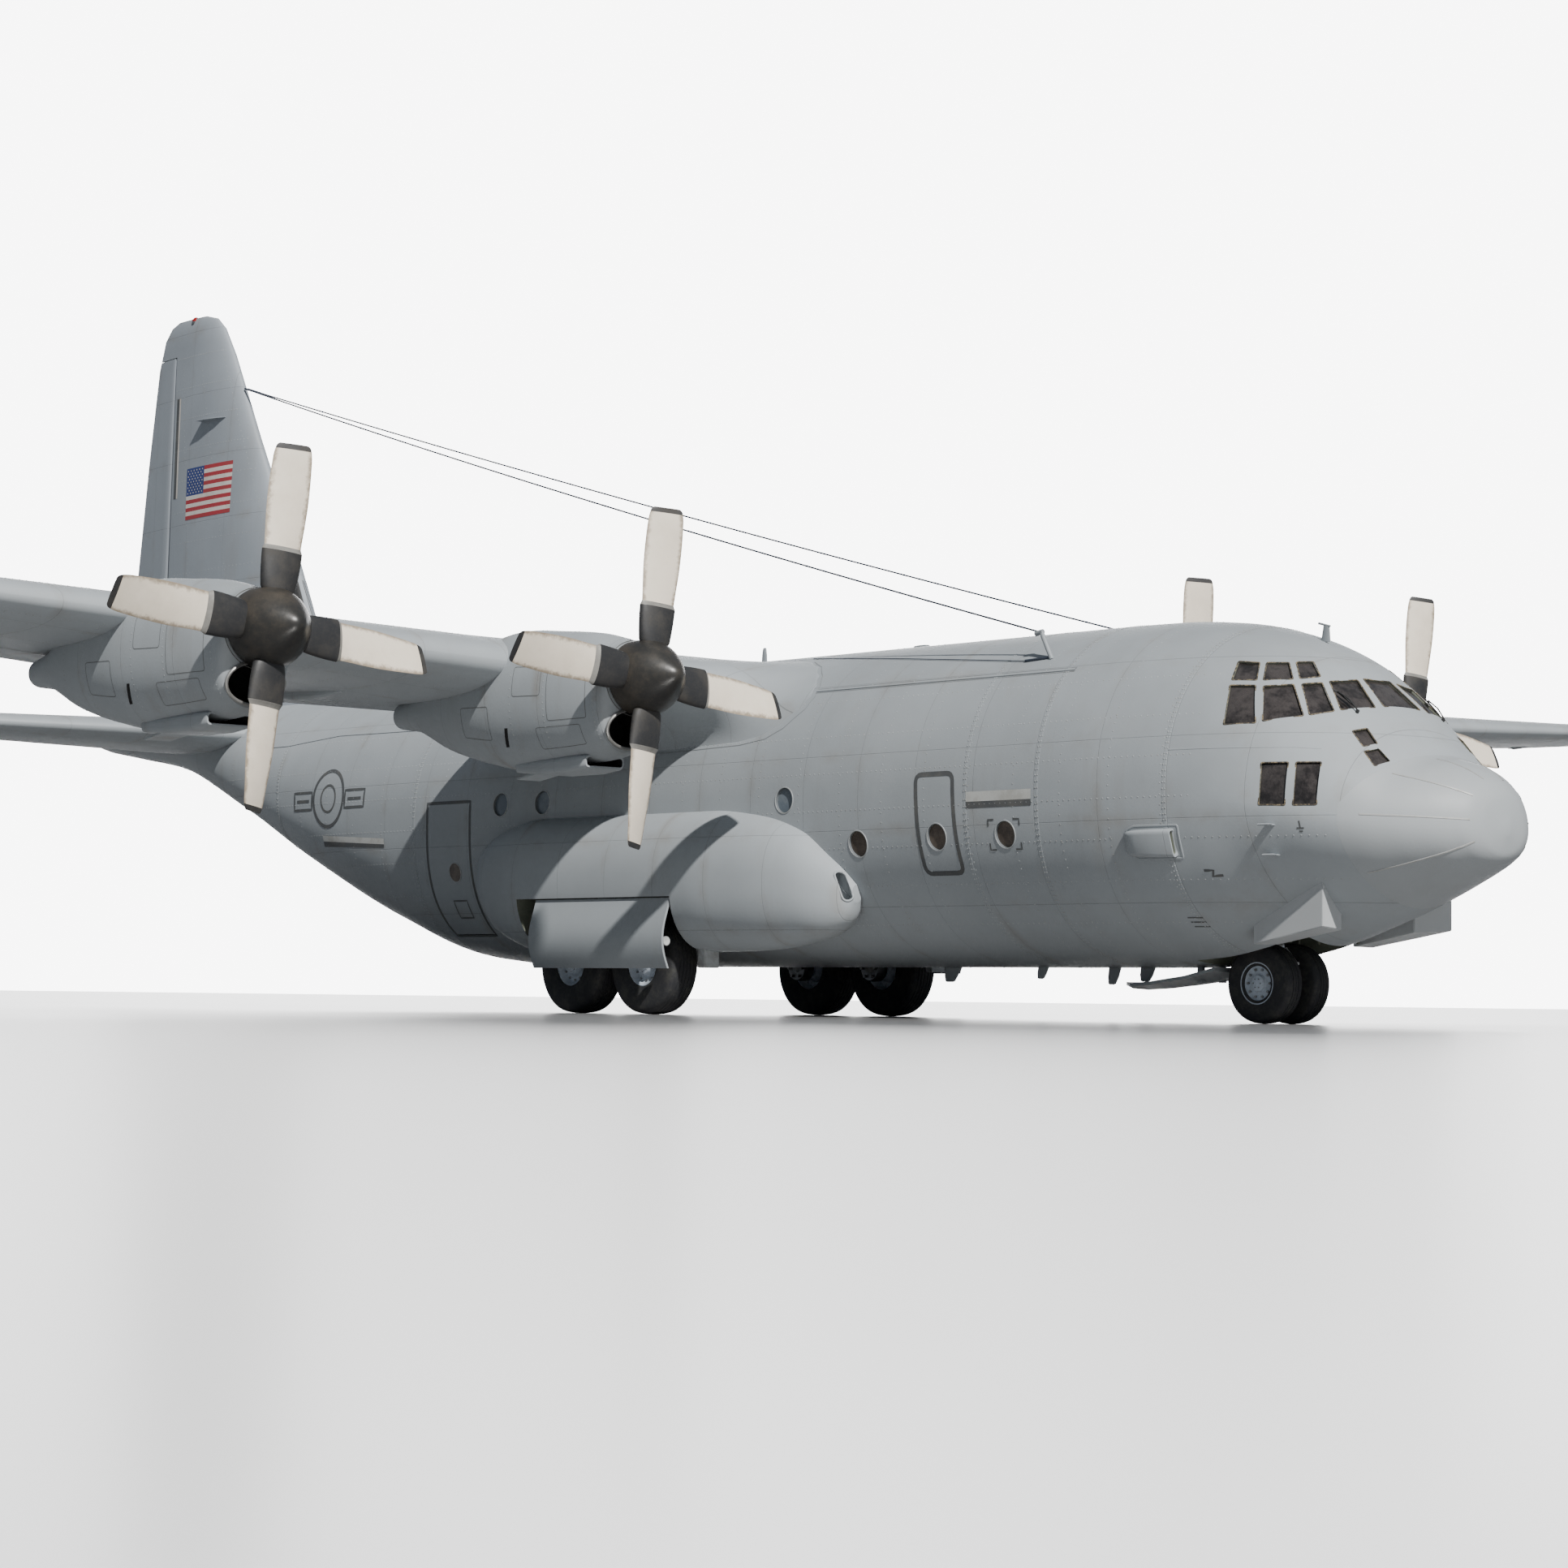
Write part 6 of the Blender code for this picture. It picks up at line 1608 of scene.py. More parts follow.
def add_loop(bm, points, radius, sides=10):
    """A closed round bead through points."""
    points = [Vector(p) for p in points]
    count = len(points)
    middle = sum(points, Vector()) / count
    rings = []
    for k, point in enumerate(points):
        way = (points[(k + 1) % count] - points[k - 1]).normalized()
        out = (point - middle).normalized()
        up = way.cross(out).normalized()
        out = up.cross(way)
        rings.append([point + (out * math.cos(a) + up * math.sin(a)) * radius for a in turns(sides)])
    return loft(bm, rings, cyclic=True)


# Painted markings, all lengths in metres on the skin

# Rear end, front end, top, change of shade, bottom and tilt of each two-shade bar
BARS = ((6.57, 7.66, 2.75, 2.63, 2.55, 0.0), (-7.24, -5.52, 2.53, 2.445, 2.395, 0.06))
# Middle of the ringed disc, by station and height
DISC = (-7.07, 3.14)
# Steps, arrow and ground symbol: width of the line, then station and height of its points
SIDE_LINES = (
    (0.020, ((9.56, 1.22), (9.74, 1.22))),
    (0.020, ((9.56, 1.17), (9.74, 1.17))),
    (0.020, ((9.56, 1.12), (9.74, 1.12))),
    (0.034, ((10.06, 1.745), (10.17, 1.745), (10.14, 1.68), (10.26, 1.69))),
    (0.018, ((11.31, 2.20), (11.39, 2.20))),
    (0.018, ((11.35, 2.20), (11.35, 2.28))),
    (0.018, ((11.33, 2.165), (11.37, 2.165))),
)
# The flag: its ends, its foot, the height of a stripe, and the inner corner and top of its field
FLAG_LEFT, FLAG_RIGHT, FLAG_LOW, STRIPE = -14.19, -12.73, 8.19, 0.0673
FIELD_RIGHT, FIELD_TOP = -13.60, 9.065
FIELD_STRIPES = 6
FLAG_STRIPES = 13


def on_side(side):
    """A function that lays a (station, height) point on one side of the hull."""
    return lambda p, lift: side_spot(p[0], p[1], side, lift)[0]


def on_fin(side):
    """A function that lays a (station, height) point on one side of the fin."""
    def spot(p, lift):
        nose, chord, _ = FIN.at(p[1])
        return foil_spot(FIN, p[1], (nose.x - p[0]) / chord, side, lift)[0]

    return spot


def hull_markings():
    """Bars, disc, door outlines and small marks; the places of the lettering stay bare."""
    for label, side in SIDES:
        spot = on_side(side)
        bm = bmesh.new()
        for left, right, top, middle, bottom, tilt in BARS:
            drop = tilt / 2
            add_patch(bm, spot, ((left, middle + tilt), (right, middle - drop), (right, top - drop),
                                 (left, top + tilt)), 1)
            add_patch(bm, spot, ((left, bottom + drop), (right, bottom - drop), (right, middle - drop),
                                 (left, middle + tilt)), 0)
        trace(bm, circle(DISC, 0.42), side, 0.055)
        trace(bm, circle(DISC, 0.20), side, 0.035)
        for way in (-1, 1):
            start = DISC[0] + way * 0.47
            low, high = sorted((start, start + way * 0.52))
            trace(bm, rect(low, 2.99, high, 3.25), side, 0.04)
            trace(bm, ((low + 0.08, 3.12), (high - 0.08, 3.12)), side, 0.045, closed=False)
        trace(bm, rect(-4.42, 1.08, -3.40, 2.97), side, 0.045)
        trace(bm, rect(-3.98, 1.33, -3.66, 1.57), side, 0.022)
        for z, drop in ((2.40, -0.08), (2.04, 0.08)):
            for x, inward in ((6.93, 0.10), (7.45, -0.10)):
                trace(bm, ((x + inward, z), (x, z), (x, z + drop)), side, 0.022, closed=False)
        for width, points in SIDE_LINES:
            trace(bm, points, side, width, closed=False)
        piece(f"hull_markings_{label}", bm, [MARK, MARK_PALE], flip=False)
    bm = bmesh.new()
    hatch = rounded(((5.69, 2.99), (6.33, 2.99), (6.39, 1.78), (5.74, 1.78)), 0.10)
    trace(bm, hatch, -1, 0.060)
    piece("exit_hatch_outline", bm, MARK, flip=False)


def fin_markings():
    """Flag with a field of small dots, the dark boot on the leading edge and a strip before the rudder."""
    bm = bmesh.new()
    field_low = FLAG_LOW + STRIPE * FIELD_STRIPES
    for side in (1, -1):
        spot = on_fin(side)
        for k in range(FLAG_STRIPES):
            left = FIELD_RIGHT if k >= FIELD_STRIPES else FLAG_LEFT
            z = FLAG_LOW + STRIPE * k
            add_patch(bm, spot, rect(left, z, FLAG_RIGHT, z + STRIPE), k % 2, across=16, up=1)
        add_patch(bm, spot, rect(FLAG_LEFT, field_low, FIELD_RIGHT, FIELD_TOP), 2)
        for row in range(9):
            odd = row % 2
            for k in range(6 - odd):
                centre = (FLAG_LEFT + 0.055 + 0.096 * k + 0.048 * odd, field_low + 0.045 + 0.0475 * row)
                add_disc(bm, spot, centre, 0.014, 1, 0.005, 1, 6)
        add_patch(bm, lambda p, lift, side=side: foil_spot(FIN, p[1], p[0], side, lift)[0],
                  ((0.0, 5.0), (0.056, 5.0), (0.060, 6.92), (0.0, 6.92)), 4, across=6, up=20)
        add_patch(bm, spot, rect(-14.66, 8.6, -14.57, 10.32), 3, across=2, up=14)
        add_patch(bm, spot, rect(-14.57, 8.6, -14.52, 10.32), 1, across=2, up=14)
    piece("fin_markings", bm, [FLAG_RED, FLAG_WHITE, FLAG_BLUE, MARK, CUFF], flip=False)


# Windows of the hold, and raised seams

# The small pane laid on each paratroop door
DOOR_WINDOW = (-3.79, 1.97)
DOOR_WINDOW_RADIUS = 0.13
PANE_DEPTH = 0.030
# Station of each lapped joint and the arc it runs over, in degrees from the port side
LAP_SEAMS = {9.70: (-56, 236), 7.75: (0, 360), 6.55: (0, 360), -4.75: (-27, 207), -8.60: (-27, 207),
             -12.95: (-27, 207)}


def hold_windows():
    """Round windows: a pane set back in its reveal, the reveal painted darker as shade, and a thin ring round
    the opening.
    """
    panes, rings = bmesh.new(), bmesh.new()
    for x, z in ROUND_WINDOWS + (DOOR_WINDOW,):
        in_door = (x, z) == DOOR_WINDOW
        radius = DOOR_WINDOW_RADIUS if in_door else ROUND_WINDOW_RADIUS
        for side in (1, -1):
            depth = 0.004 if in_door else -PANE_DEPTH
            add_disc(panes, on_side(side), (x, z), radius, 1 if z > 2.5 else 0, depth, 3)
            spots = [side_spot(p[0], p[1], side, 0.0) for p in circle((x, z), radius + 0.007)]
            add_ribbon(rings, spots, 0.016, 0, True, 0.006)
            if not in_door:
                spots = [side_spot(p[0], p[1], side, -0.02) for p in circle((x, z), radius - 0.003)]
                inner, outer = ([rings.verts.new(p + n * rise) for p, n in spots] for rise in (-0.03, 0.022))
                # The reveal wall inside the opening takes the darker painted shade
                strip(rings, inner, outer, 1)
    piece("hold_window_panes", panes, [ACRYLIC, PORTHOLE], flip=False)
    piece("hold_window_rings", rings, [FRAME_PAINT, REVEAL_SHADE], flip=False)


def raised_seams():
    """Lapped skin joints round the fuselage and the long stiffeners over the wing root."""
    bm = bmesh.new()
    for x, arc in LAP_SEAMS.items():
        low, high = (math.radians(a) for a in arc)
        whole = arc[1] - arc[0] == 360
        spots = [hull_spot(x, low + (high - low) * k / 120) for k in range(120 if whole else 121)]
        add_ribbon(bm, spots, 0.055, closed=whole, thick=0.0015)
    for side in (1, -1):
        for width, thick, points in (
                (0.046, 0.012, ((3.30, 4.193), (5.6, 4.195), (7.87, 4.196))),
                (0.03, 0.01, ((-5.2, 4.10), (-7.3, 4.12), (-8.6, 4.02), (-9.6, 4.02))),
                (0.02, 0.003, ((11.45, 3.10), (11.2, 3.12), (10.2, 3.13), (9.72, 3.13)))):
            trace(bm, points, side, width, closed=False, lift=0, thick=thick)
    piece("hull_lap_seams", bm, HULL_PAINT, flip=False)


def edge_lines():
    """Dark lines along the foot of the root fairings and beside the upper stiffeners."""
    bm = bmesh.new()
    for side in (1, -1):
        trace(bm, [(x, z) for x, z, _, _ in ROOT_FAIRING[3:-1]], side, 0.006, closed=False, lift=0.004)
        for z in (4.166, 4.222):
            trace(bm, ((3.30, z), (5.6, z + 0.002), (7.87, z + 0.003)), side, 0.006, closed=False, lift=0.002)
    piece("fairing_edge_lines", bm, EDGE, flip=False)


def lightning_strips():
    """Thin metal strips along the radome, from its rear edge towards its tip."""
    bm = bmesh.new()
    strips = (((11.95, 1.36, 2.35), (12.84, 0.53, 2.30)), ((11.82, 1.04, 1.71), (12.85, 0.46, 2.06)),
              ((12.09, 0.95, 2.82), (12.81, 0.44, 2.57)), ((12.20, 0.30, 3.01), (12.76, 0.18, 2.77)))
    for rear, front in strips:
        for side in (1, -1):
            points = [Vector(rear).lerp(Vector(front), k / 24) for k in range(25)]
            add_ribbon(bm, [front_spot(side * p.y, p.z) for p in points], 0.022, thick=0.006)
    piece("lightning_strips", bm, STRIP, flip=False)


# Outside fittings

# The wedge fairings' plan, and the slope of their underside
CHINE_PLAN = ((11.29, 1.18), (10.70, 1.13), (10.19, 1.08), (10.22, 0.68), (11.14, 0.66))
CHINE_REAR_X = 10.19
CHINE_SLOPE = 0.178
SCOOP_Z = 2.072
# Station, how far it stands out and half height of each outer ring of the scoop
SCOOP_RINGS = ((9.09, -0.02, 0.09), (9.11, 0.03, 0.115), (9.15, 0.062, 0.13), (9.21, 0.086, 0.14),
               (9.32, 0.100, 0.148), (9.50, 0.104, 0.152), (9.78, 0.105, 0.155), (9.80, 0.102, 0.152))
# Station and wall thickness of each ring inside its mouth
MOUTH_RINGS = ((9.80, 0.018), (9.78, 0.024), (9.50, 0.030))


def chines():
    """Wedge fairings low on the nose sides with a flat, sharp-edged underside."""
    for label, side in SIDES:
        low, high = [], []
        for x, y in CHINE_PLAN:
            climb = CHINE_SLOPE * (x - CHINE_REAR_X)
            low.append(Vector((x, side * y, 0.916 + climb)))
            high.append(Vector((x, side * y, max(skin_bottom(x, y), 0.93 + climb) + 0.03)))
        bm = solid([low, high])
        bmesh.ops.bevel(bm, geom=bm.edges[:], offset=0.008, segments=2, affect="EDGES")
        piece(f"nose_chine_{label}", bm, CHINE_PAINT, nodes=["cockpit_section"])


def scoop_ring(x, out, half, wall=0.0):
    """A rounded ring of the air scoop: how far it stands out, its half height, and its wall thickness."""
    root = -0.03 + 1.6 * wall
    ring = rounded(rect(root, -half, out, half), min(0.05, max(0.004, (out + 0.03) * 0.45)))
    return [side_spot(x, SCOOP_Z + p[1], -1, p[0])[0] for p in ring]


def air_scoop():
    """The hollow scoop on the starboard side with the plate it stands on."""
    rings = [scoop_ring(*row) for row in SCOOP_RINGS]
    rings += [scoop_ring(x, 0.102 - wall, 0.152 - wall, wall) for x, wall in MOUTH_RINGS]
    piece("air_scoop", solid(rings, inner=(9, 10)), [HULL_PAINT, PRIMER], nodes=["cockpit_section"])
    plate = bmesh.new()
    corners = ((9.13, 1.95), (9.13, 2.22), (9.24, 2.262), (9.86, 2.262), (9.86, 1.885), (9.24, 1.885))
    outline = rounded(corners, 0.03)
    trace(plate, outline, -1, 0.024, lift=0.0, thick=0.005)
    piece("air_scoop_plate", plate, HULL_PAINT, flip=False)


def level_oval(centre, long, wide, count):
    """A flat oval in the level plane, long in x."""
    return [centre + Vector((long * math.cos(a), wide * math.sin(a), 0)) for a in turns(count)]


def probes():
    """Pitot heads on both sides of the nose, with their masts."""
    bm = bmesh.new()
    for side in (1, -1):
        for x, z in ((11.00, 2.238), (10.93, 1.906)):
            foot = Vector((x + 0.02, side * (skin_y(x + 0.02, z) - 0.03), z))
            head = Vector((x, side * (skin_y(x, z) + 0.13), z))
            loft(bm, [[centre + Vector((long * math.cos(a), 0, thick * math.sin(a))) for a in turns(16)]
                      for centre, long, thick in ((foot, 0.060, 0.012), (head, 0.045, 0.010))])
            add_rod(bm, head - Vector((0.05, 0, 0)), head + Vector((0.10, 0, 0)), 0.013, 12)
            add_rod(bm, head + Vector((0.10, 0, 0)), head + Vector((0.16, 0, 0)), 0.013, 12, 0.005)
    piece("pitot_heads", bm, HULL_PAINT)


def blade_mast(bm, x, y, z, length, height, width=0.02, sweep=0.06):
    """A thin swept blade, up if height is positive and down if negative."""
    rings = []
    for t, scale in ((0.0, 1.0), (0.6, 0.85), (0.95, 0.6), (1.0, 0.35)):
        middle = Vector((x - sweep * t, y, z + height * t))
        rings.append(level_oval(middle, length / 2 * scale, width / 2 * scale, 20))
    return loft(bm, rings)


# Station, distance from the middle, length and height
BELLY_BLADES = ((7.60, 0.0, 0.26, -0.20), (7.05, 0.0, 0.22, -0.24), (6.02, -0.2, 0.20, -0.18),
                (4.2, 0.0, 0.30, -0.22))


def hull_aerials():
    """Blade aerials above and below, the nose aerial with its bar, and the masts of the long wires."""
    bm = bmesh.new()
    for x, y, length, height in BELLY_BLADES:
        blade_mast(bm, x, y, skin_bottom(x, y) + 0.03, length, height)
    blade_mast(bm, 0.43, 0, 4.80, 0.12, 0.27, 0.035, 0.0)
    blade_mast(bm, -4.6, 0, 4.80, 0.30, 0.30)
    blade_mast(bm, 3.6, 0, 4.80, 0.45, 0.10, 0.05)
    loft(bm, [level_oval(Vector((x, 0, z)), long, 0.016, 20)
              for x, long, z in ((10.357, 0.073, 4.48), (10.367, 0.046, 4.672))])
    add_rod(bm, (10.25, 0, 4.708), (10.42, 0, 4.662), 0.014, 12)
    for side in (1, -1):
        blade_mast(bm, -16.29, side * 0.30, 4.52, 0.20, 0.10, 0.05, -0.02)
        foot, top = Vector((7.281, side * 1.42, 4.37)), Vector((7.095, side * 1.414, 4.718))
        add_tube(bm, [foot, top], 0.030, 12)
        add_rod(bm, top - Vector((0.09, 0, 0.02)), top + Vector((0.03, 0, 0.0)), 0.032, 12)
    piece("hull_aerials", bm, DOOR_PAINT)


WIRE_START = (7.07, 1.414, 4.715)
WIRE_END = (-12.70, 0.03, 10.28)
WIRE_SAG = 0.10
# The lead on the roof: both ends' station and height, then radius
WIRE_LEADS = ((7.26, 4.385, 6.86, 4.364, 0.018), (6.86, 4.364, 4.156, 4.59, 0.006),
              (4.156, 4.59, 2.30, 4.729, 0.006))


def long_wires():
    """Two taut wires from the masts on the roof to the fin, with their leads on the skin."""
    bm = bmesh.new()
    for side in (1, -1):
        start, end = (Vector((x, side * y, z)) for x, y, z in (WIRE_START, WIRE_END))
        points = []
        for k in range(25):
            t = k / 24
            points.append(start.lerp(end, t) - Vector((0, 0, WIRE_SAG * 4 * t * (1 - t))))
        add_tube(bm, points, 0.013, 6)
        for x0, z0, x1, z1, radius in WIRE_LEADS:
            run = [side_spot(x, z, side, 0.012)[0] for x, z in zip(spread(x0, x1, 12), spread(z0, z1, 12))]
            add_tube(bm, run, radius, 6)
        add_rod(bm, end, end + (start - end).normalized() * 0.35, 0.018, 8, 0.010)
    piece("long_wires", bm, WIRE)


def beacons():
    """The red beacon on the fin tip."""
    profile = [(0.0, 0.075), (0.03, 0.078), (0.05, 0.07), (0.08, 0.064), (0.11, 0.045), (0.125, 0.02),
               (0.127, 0.005)]
    beacon = add_lathe(bmesh.new(), profile, (-14.30, 0, 11.58), "Z", 24, mats=[1, 1, 0, 0, 0, 0, 0])
    piece("beacons", beacon, [RED, STEEL])


def fin_strakes():
    """The short flat strake on each side of the fin."""
    bm = bmesh.new()
    height = 9.83
    for side in (1, -1):
        rings = []
        for x, out, thick in ((-13.04, 0.01, 0.004), (-13.20, 0.07, 0.008), (-13.50, 0.12, 0.008),
                              (-13.76, 0.13, 0.006)):
            nose, chord, _ = FIN.at(height)
            half = FIN.half_thickness(height, (nose.x - x) / chord)
            ring = rect(side * (half - 0.04), height - thick, side * (half + out), height + thick)
            rings.append([(x, y, z) for y, z in ring])
        loft(bm, rings)
    piece("fin_strakes", bm, FIN_PAINT)


# Distance behind the propeller, half width, bottom and top of each ring of the oil cooler scoop
COOLER_RINGS = ((0.86, 0.30, -1.075, -0.93), (0.90, 0.315, -1.09, -0.92), (1.20, 0.32, -1.125, -0.92),
                (1.80, 0.31, -1.13, -0.94), (2.30, 0.27, -1.09, -0.95))
# Distance behind the propeller and wall thickness of each ring inside its mouth
COOLER_MOUTH = ((1.25, 0.045), (0.89, 0.03), (0.86, 0.02))
# Its outlet flap from the side, measured from the propeller
COOLER_FLAP = ((-1.98, -1.11), (-2.38, -1.17), (-2.39, -1.15), (-1.99, -1.08))
COWL_PANELS = (rect(0.62, -0.35, 1.30, 0.45), rect(1.42, 0.0, 1.95, 0.40), rect(0.75, -0.85, 1.55, -0.45),
               rect(2.45, -0.6, 3.05, -0.1))
# Distance behind the propeller and radius of the exhaust pipe
PIPE_PROFILE = ((4.30, 0.150), (4.9, 0.135), (5.02, 0.130), (5.02, 0.118), (4.9, 0.122), (4.30, 0.13))


def intake_and_pipe(bm, hub):
    """The rolled lip of the chin intake and the exhaust pipe."""
    x0, y0, z0 = hub
    lip = []
    for a in turns(48):
        z = CHIN_Z + 0.240 * math.sin(a)
        behind = 0.30 + 0.12 * max(0.0, (-0.46 - z)) / 0.44
        lip.append((x0 - behind + 0.004, y0 + 0.385 * math.cos(a), z0 + z))
    add_loop(bm, lip, 0.022, 10)
    pipe = [(-behind, radius) for behind, radius in PIPE_PROFILE]
    add_lathe(bm, pipe, (x0, y0, z0 - 0.235), "X", 40, closed=True, mats=[1] * 6)


def cooler_scoop(bm, hub):
    """The oil cooler's flat scoop under the cowling, painted near-black as shade inside its mouth, and its
    outlet flap.
    """
    x0, y0, z0 = hub
    outlines = [(b, rounded(rect(-0.30 + wall, -1.075 + wall, 0.30 - wall, -0.95), 0.05))
                for b, wall in COOLER_MOUTH]
    outlines += [(b, rounded(rect(-wide, low, wide, high), 0.07)) for b, wide, low, high in COOLER_RINGS]
    # The walls inside the mouth and the wall deep in it take the second finish, painted shade
    loft(bm, [[(x0 - b, y0 + p[0], z0 + p[1]) for p in ring] for b, ring in outlines], inner=(0, 1))
    loft(bm, [[(x0 + x, y0 + y, z0 + z) for x, z in COOLER_FLAP] for y in (-0.18, 0.18)])


def cowl_lines(bm, hub):
    """The gap behind the spinner, a slot painted near-black as shade, and access panels on both sides of the
    cowling.
    """
    x0, y0, z0 = hub
    ring = [(x0 - 0.302, y0 + 0.462 * math.cos(a), z0 + 0.462 * math.sin(a)) for a in turns(64)]
    add_loop(bm, ring, 0.006, 6)
    for to_port in (True, False):
        def spot(p, lift, to_port=to_port):
            return nacelle_spot(hub, p[0], p[1] if to_port else math.pi - p[1], lift)

        # The slot is a flat patch of near-black painted shade
        slot = ((2.16, -0.74), (2.22, -0.74), (2.14, -0.42), (2.08, -0.42))
        add_patch(bm, lambda p, lift, spot=spot: spot(p, lift)[0], slot, 1, across=2, up=8)
        for corners in COWL_PANELS:
            spots = [spot(p, 0.0015) for p in dense(rounded(corners, 0.04), True, 0.06)]
            add_ribbon(bm, spots, 0.007, 0, True)


def nacelle_fittings():
    """What each engine carries outside its cowling, in three pieces."""
    lines, metal, scoops = bmesh.new(), bmesh.new(), bmesh.new()
    for hub in HUBS.values():
        intake_and_pipe(metal, hub)
        cooler_scoop(scoops, hub)
        cowl_lines(lines, hub)
    piece("intake_lips_and_pipes", metal, [LIP, SOOT])
    piece("oil_cooler_scoops", scoops, [NACELLE_PAINT, OPENING_SHADE])
    piece("cowl_panel_lines", lines, [SEAM, OPENING_SHADE], flip=False)


def in_sponson(out, x, z, limit=1.0):
    """Whether a point is inside a sponson, out being its distance from the sponson's middle."""
    middle, half, height = SPONSON.at(x)
    return (abs(out) / half) ** SPONSON_FULLNESS + (abs(z - middle) / height) ** SPONSON_FULLNESS < limit


def pod_nose(out, z):
    """Station of the sponson's nose skin at a distance from its middle and a height."""
    low, high = 3.2, SPONSON_FRONT_X
    for _ in range(30):
        x = (low + high) / 2
        low, high = (x, high) if in_sponson(out, x, z) else (low, x)
    return (low + high) / 2


def inlet_slot(side, reach=0.052, count=40):
    """Outline of the oblong air inlet on the outboard side of a sponson's nose."""
    top, bottom = Vector((0.157, 1.772)), Vector((0.124, 1.522))
    along = (top - bottom).normalized()
    across = Vector((along.y, -along.x))
    outline = []
    for a in turns(count, 0.5):
        end = top if math.sin(a) > 0 else bottom
        p = end + (across * math.cos(a) + along * math.sin(a)) * reach
        outline.append(Vector((pod_nose(p.x, p.y), side * (SPONSON_Y + p.x), p.y)))
    return outline


def sponson_inlets():
    """Rounded lip round the air inlet of each sponson."""
    lips = bmesh.new()
    for side in (1, -1):
        add_loop(lips, inlet_slot(side, 0.058), 0.014, 10)
    piece("sponson_inlet_lips", lips, POD_PAINT)


# How far down its door a landing lamp sits, as a part of the door's length
LAMP_DROP = 0.62


def lamps():
    """Wing tip lights, red to port and green to starboard, and landing lamps on the gear doors."""
    bm = bmesh.new()
    profile = ((-0.06, 0.03), (0.0, 0.04), (0.04, 0.035), (0.07, 0.02), (0.08, 0.004))
    for side, mat in ((1, 1), (-1, 2)):
        spot = WING_SIDES[side].middle(side * (TIP_Y - 0.10), 0.12)
        add_lathe(bm, [(side * a, r) for a, r in profile], spot, "Y", 20, mats=[mat] * 5)
    piece("wing_tip_lights", bm, [LAMP, RED, GREEN])
    profile = ((-0.02, 0.055), (0.03, 0.062), (0.045, 0.06), (0.045, 0.05), (0.035, 0.02), (0.034, 0.004))
    for label, side in SIDES:
        y = side * (GEAR_DOOR_HINGE[0] + door_bulge(LAMP_DROP) - 0.085)
        centre = (GEAR_DOOR_X[1] - 0.045, y, GEAR_DOOR_HINGE[1] - LAMP_DROP * GEAR_DOOR_LENGTH)
        lamp = add_lathe(bmesh.new(), profile, centre, "X", 24, mats=[1, 1, 1, 0, 0, 0])
        piece(f"landing_lamp_{label}", lamp, [LAMP, GEAR], "gear_door_" + label)


def gear_door_ribs():
    """Curved ribs and cross bars inside the main gear doors."""
    def inner_face(side, t):
        y = side * (GEAR_DOOR_HINGE[0] + door_bulge(t) - GEAR_DOOR_THICKNESS)
        return y, GEAR_DOOR_HINGE[1] - 0.004 - t * GEAR_DOOR_LENGTH

    for label, side in SIDES:
        bm = bmesh.new()
        for x in spread(GEAR_DOOR_X[0] + 0.10, GEAR_DOOR_X[1] - 0.10, 8):
            rings = []
            for t in spread(0.06, 0.96, 12):
                y, z = inner_face(side, t)
                rings.append([(a, b, z) for a, b in rect(x - 0.012, y, x + 0.012, y - side * 0.022)])
            loft(bm, rings)
        for t in (0.12, 0.55, 0.95):
            y, z = inner_face(side, t)
            low, high = sorted((y, y - side * 0.020))
            add_box(bm, (GEAR_DOOR_X[0] + 0.04, low, z - 0.015), (GEAR_DOOR_X[1] - 0.04, high, z + 0.015))
        piece(f"gear_door_ribs_{label}", bm, PRIMER, "gear_door_" + label)


def crew_door_steps():
    """The crew door's outer handle and the steps on its inner face."""
    bm = bmesh.new()
    x_low, x_high, z_low, _ = CREW_DOOR
    handle, normal = side_spot(x_low + 0.16, 2.02, 1)
    add_rod(bm, handle - normal * 0.02, handle + normal * 0.022, 0.05, 20)
    low, high = handle + normal * 0.022, handle + normal * 0.030
    add_box(bm, (low.x - 0.07, low.y - 0.004, low.z - 0.012), (low.x + 0.07, high.y, low.z + 0.012))
    for k in range(4):
        z = z_low + 0.22 + 0.38 * k
        y = skin_y((x_low + x_high) / 2, z) - DOOR_THICKNESS - 0.05
        add_box(bm, (x_low + 0.12, y - 0.13, z - 0.015), (x_high - 0.12, y + 0.055, z + 0.015), 1)
    piece("crew_door_steps", bm, [STEEL, DECK], "crew_door")


LEG_RADIUS = 0.121
MAIN_LEG_Y = 1.78
# Distance outboard and radius of a brake unit
BRAKE_PROFILE = ((-0.12, 0.09), (-0.12, 0.17), (-0.03, 0.185), (0.05, 0.185), (0.05, 0.09))


def torque_link(bm, knee, feet, half, radius, pin_half, pin_radius):
    """Pairs of arms that meet at a knee, and the pin through it."""
    for foot in feet:
        for out in (-half, half):
            add_rod(bm, foot + Vector((0, out, 0)), knee + Vector((0, out * 0.4, 0)), radius, 10)
    add_rod(bm, knee - Vector((0, pin_half, 0)), knee + Vector((0, pin_half, 0)), pin_radius, 12)


def add_clamp(bm, x, y, z, outer, half):
    """A flat ring round a leg."""
    profile = ((-half, LEG_RADIUS), (-half, outer), (half, outer), (half, LEG_RADIUS))
    add_lathe(bm, profile, (x, y, z), "Z", 28, closed=True)


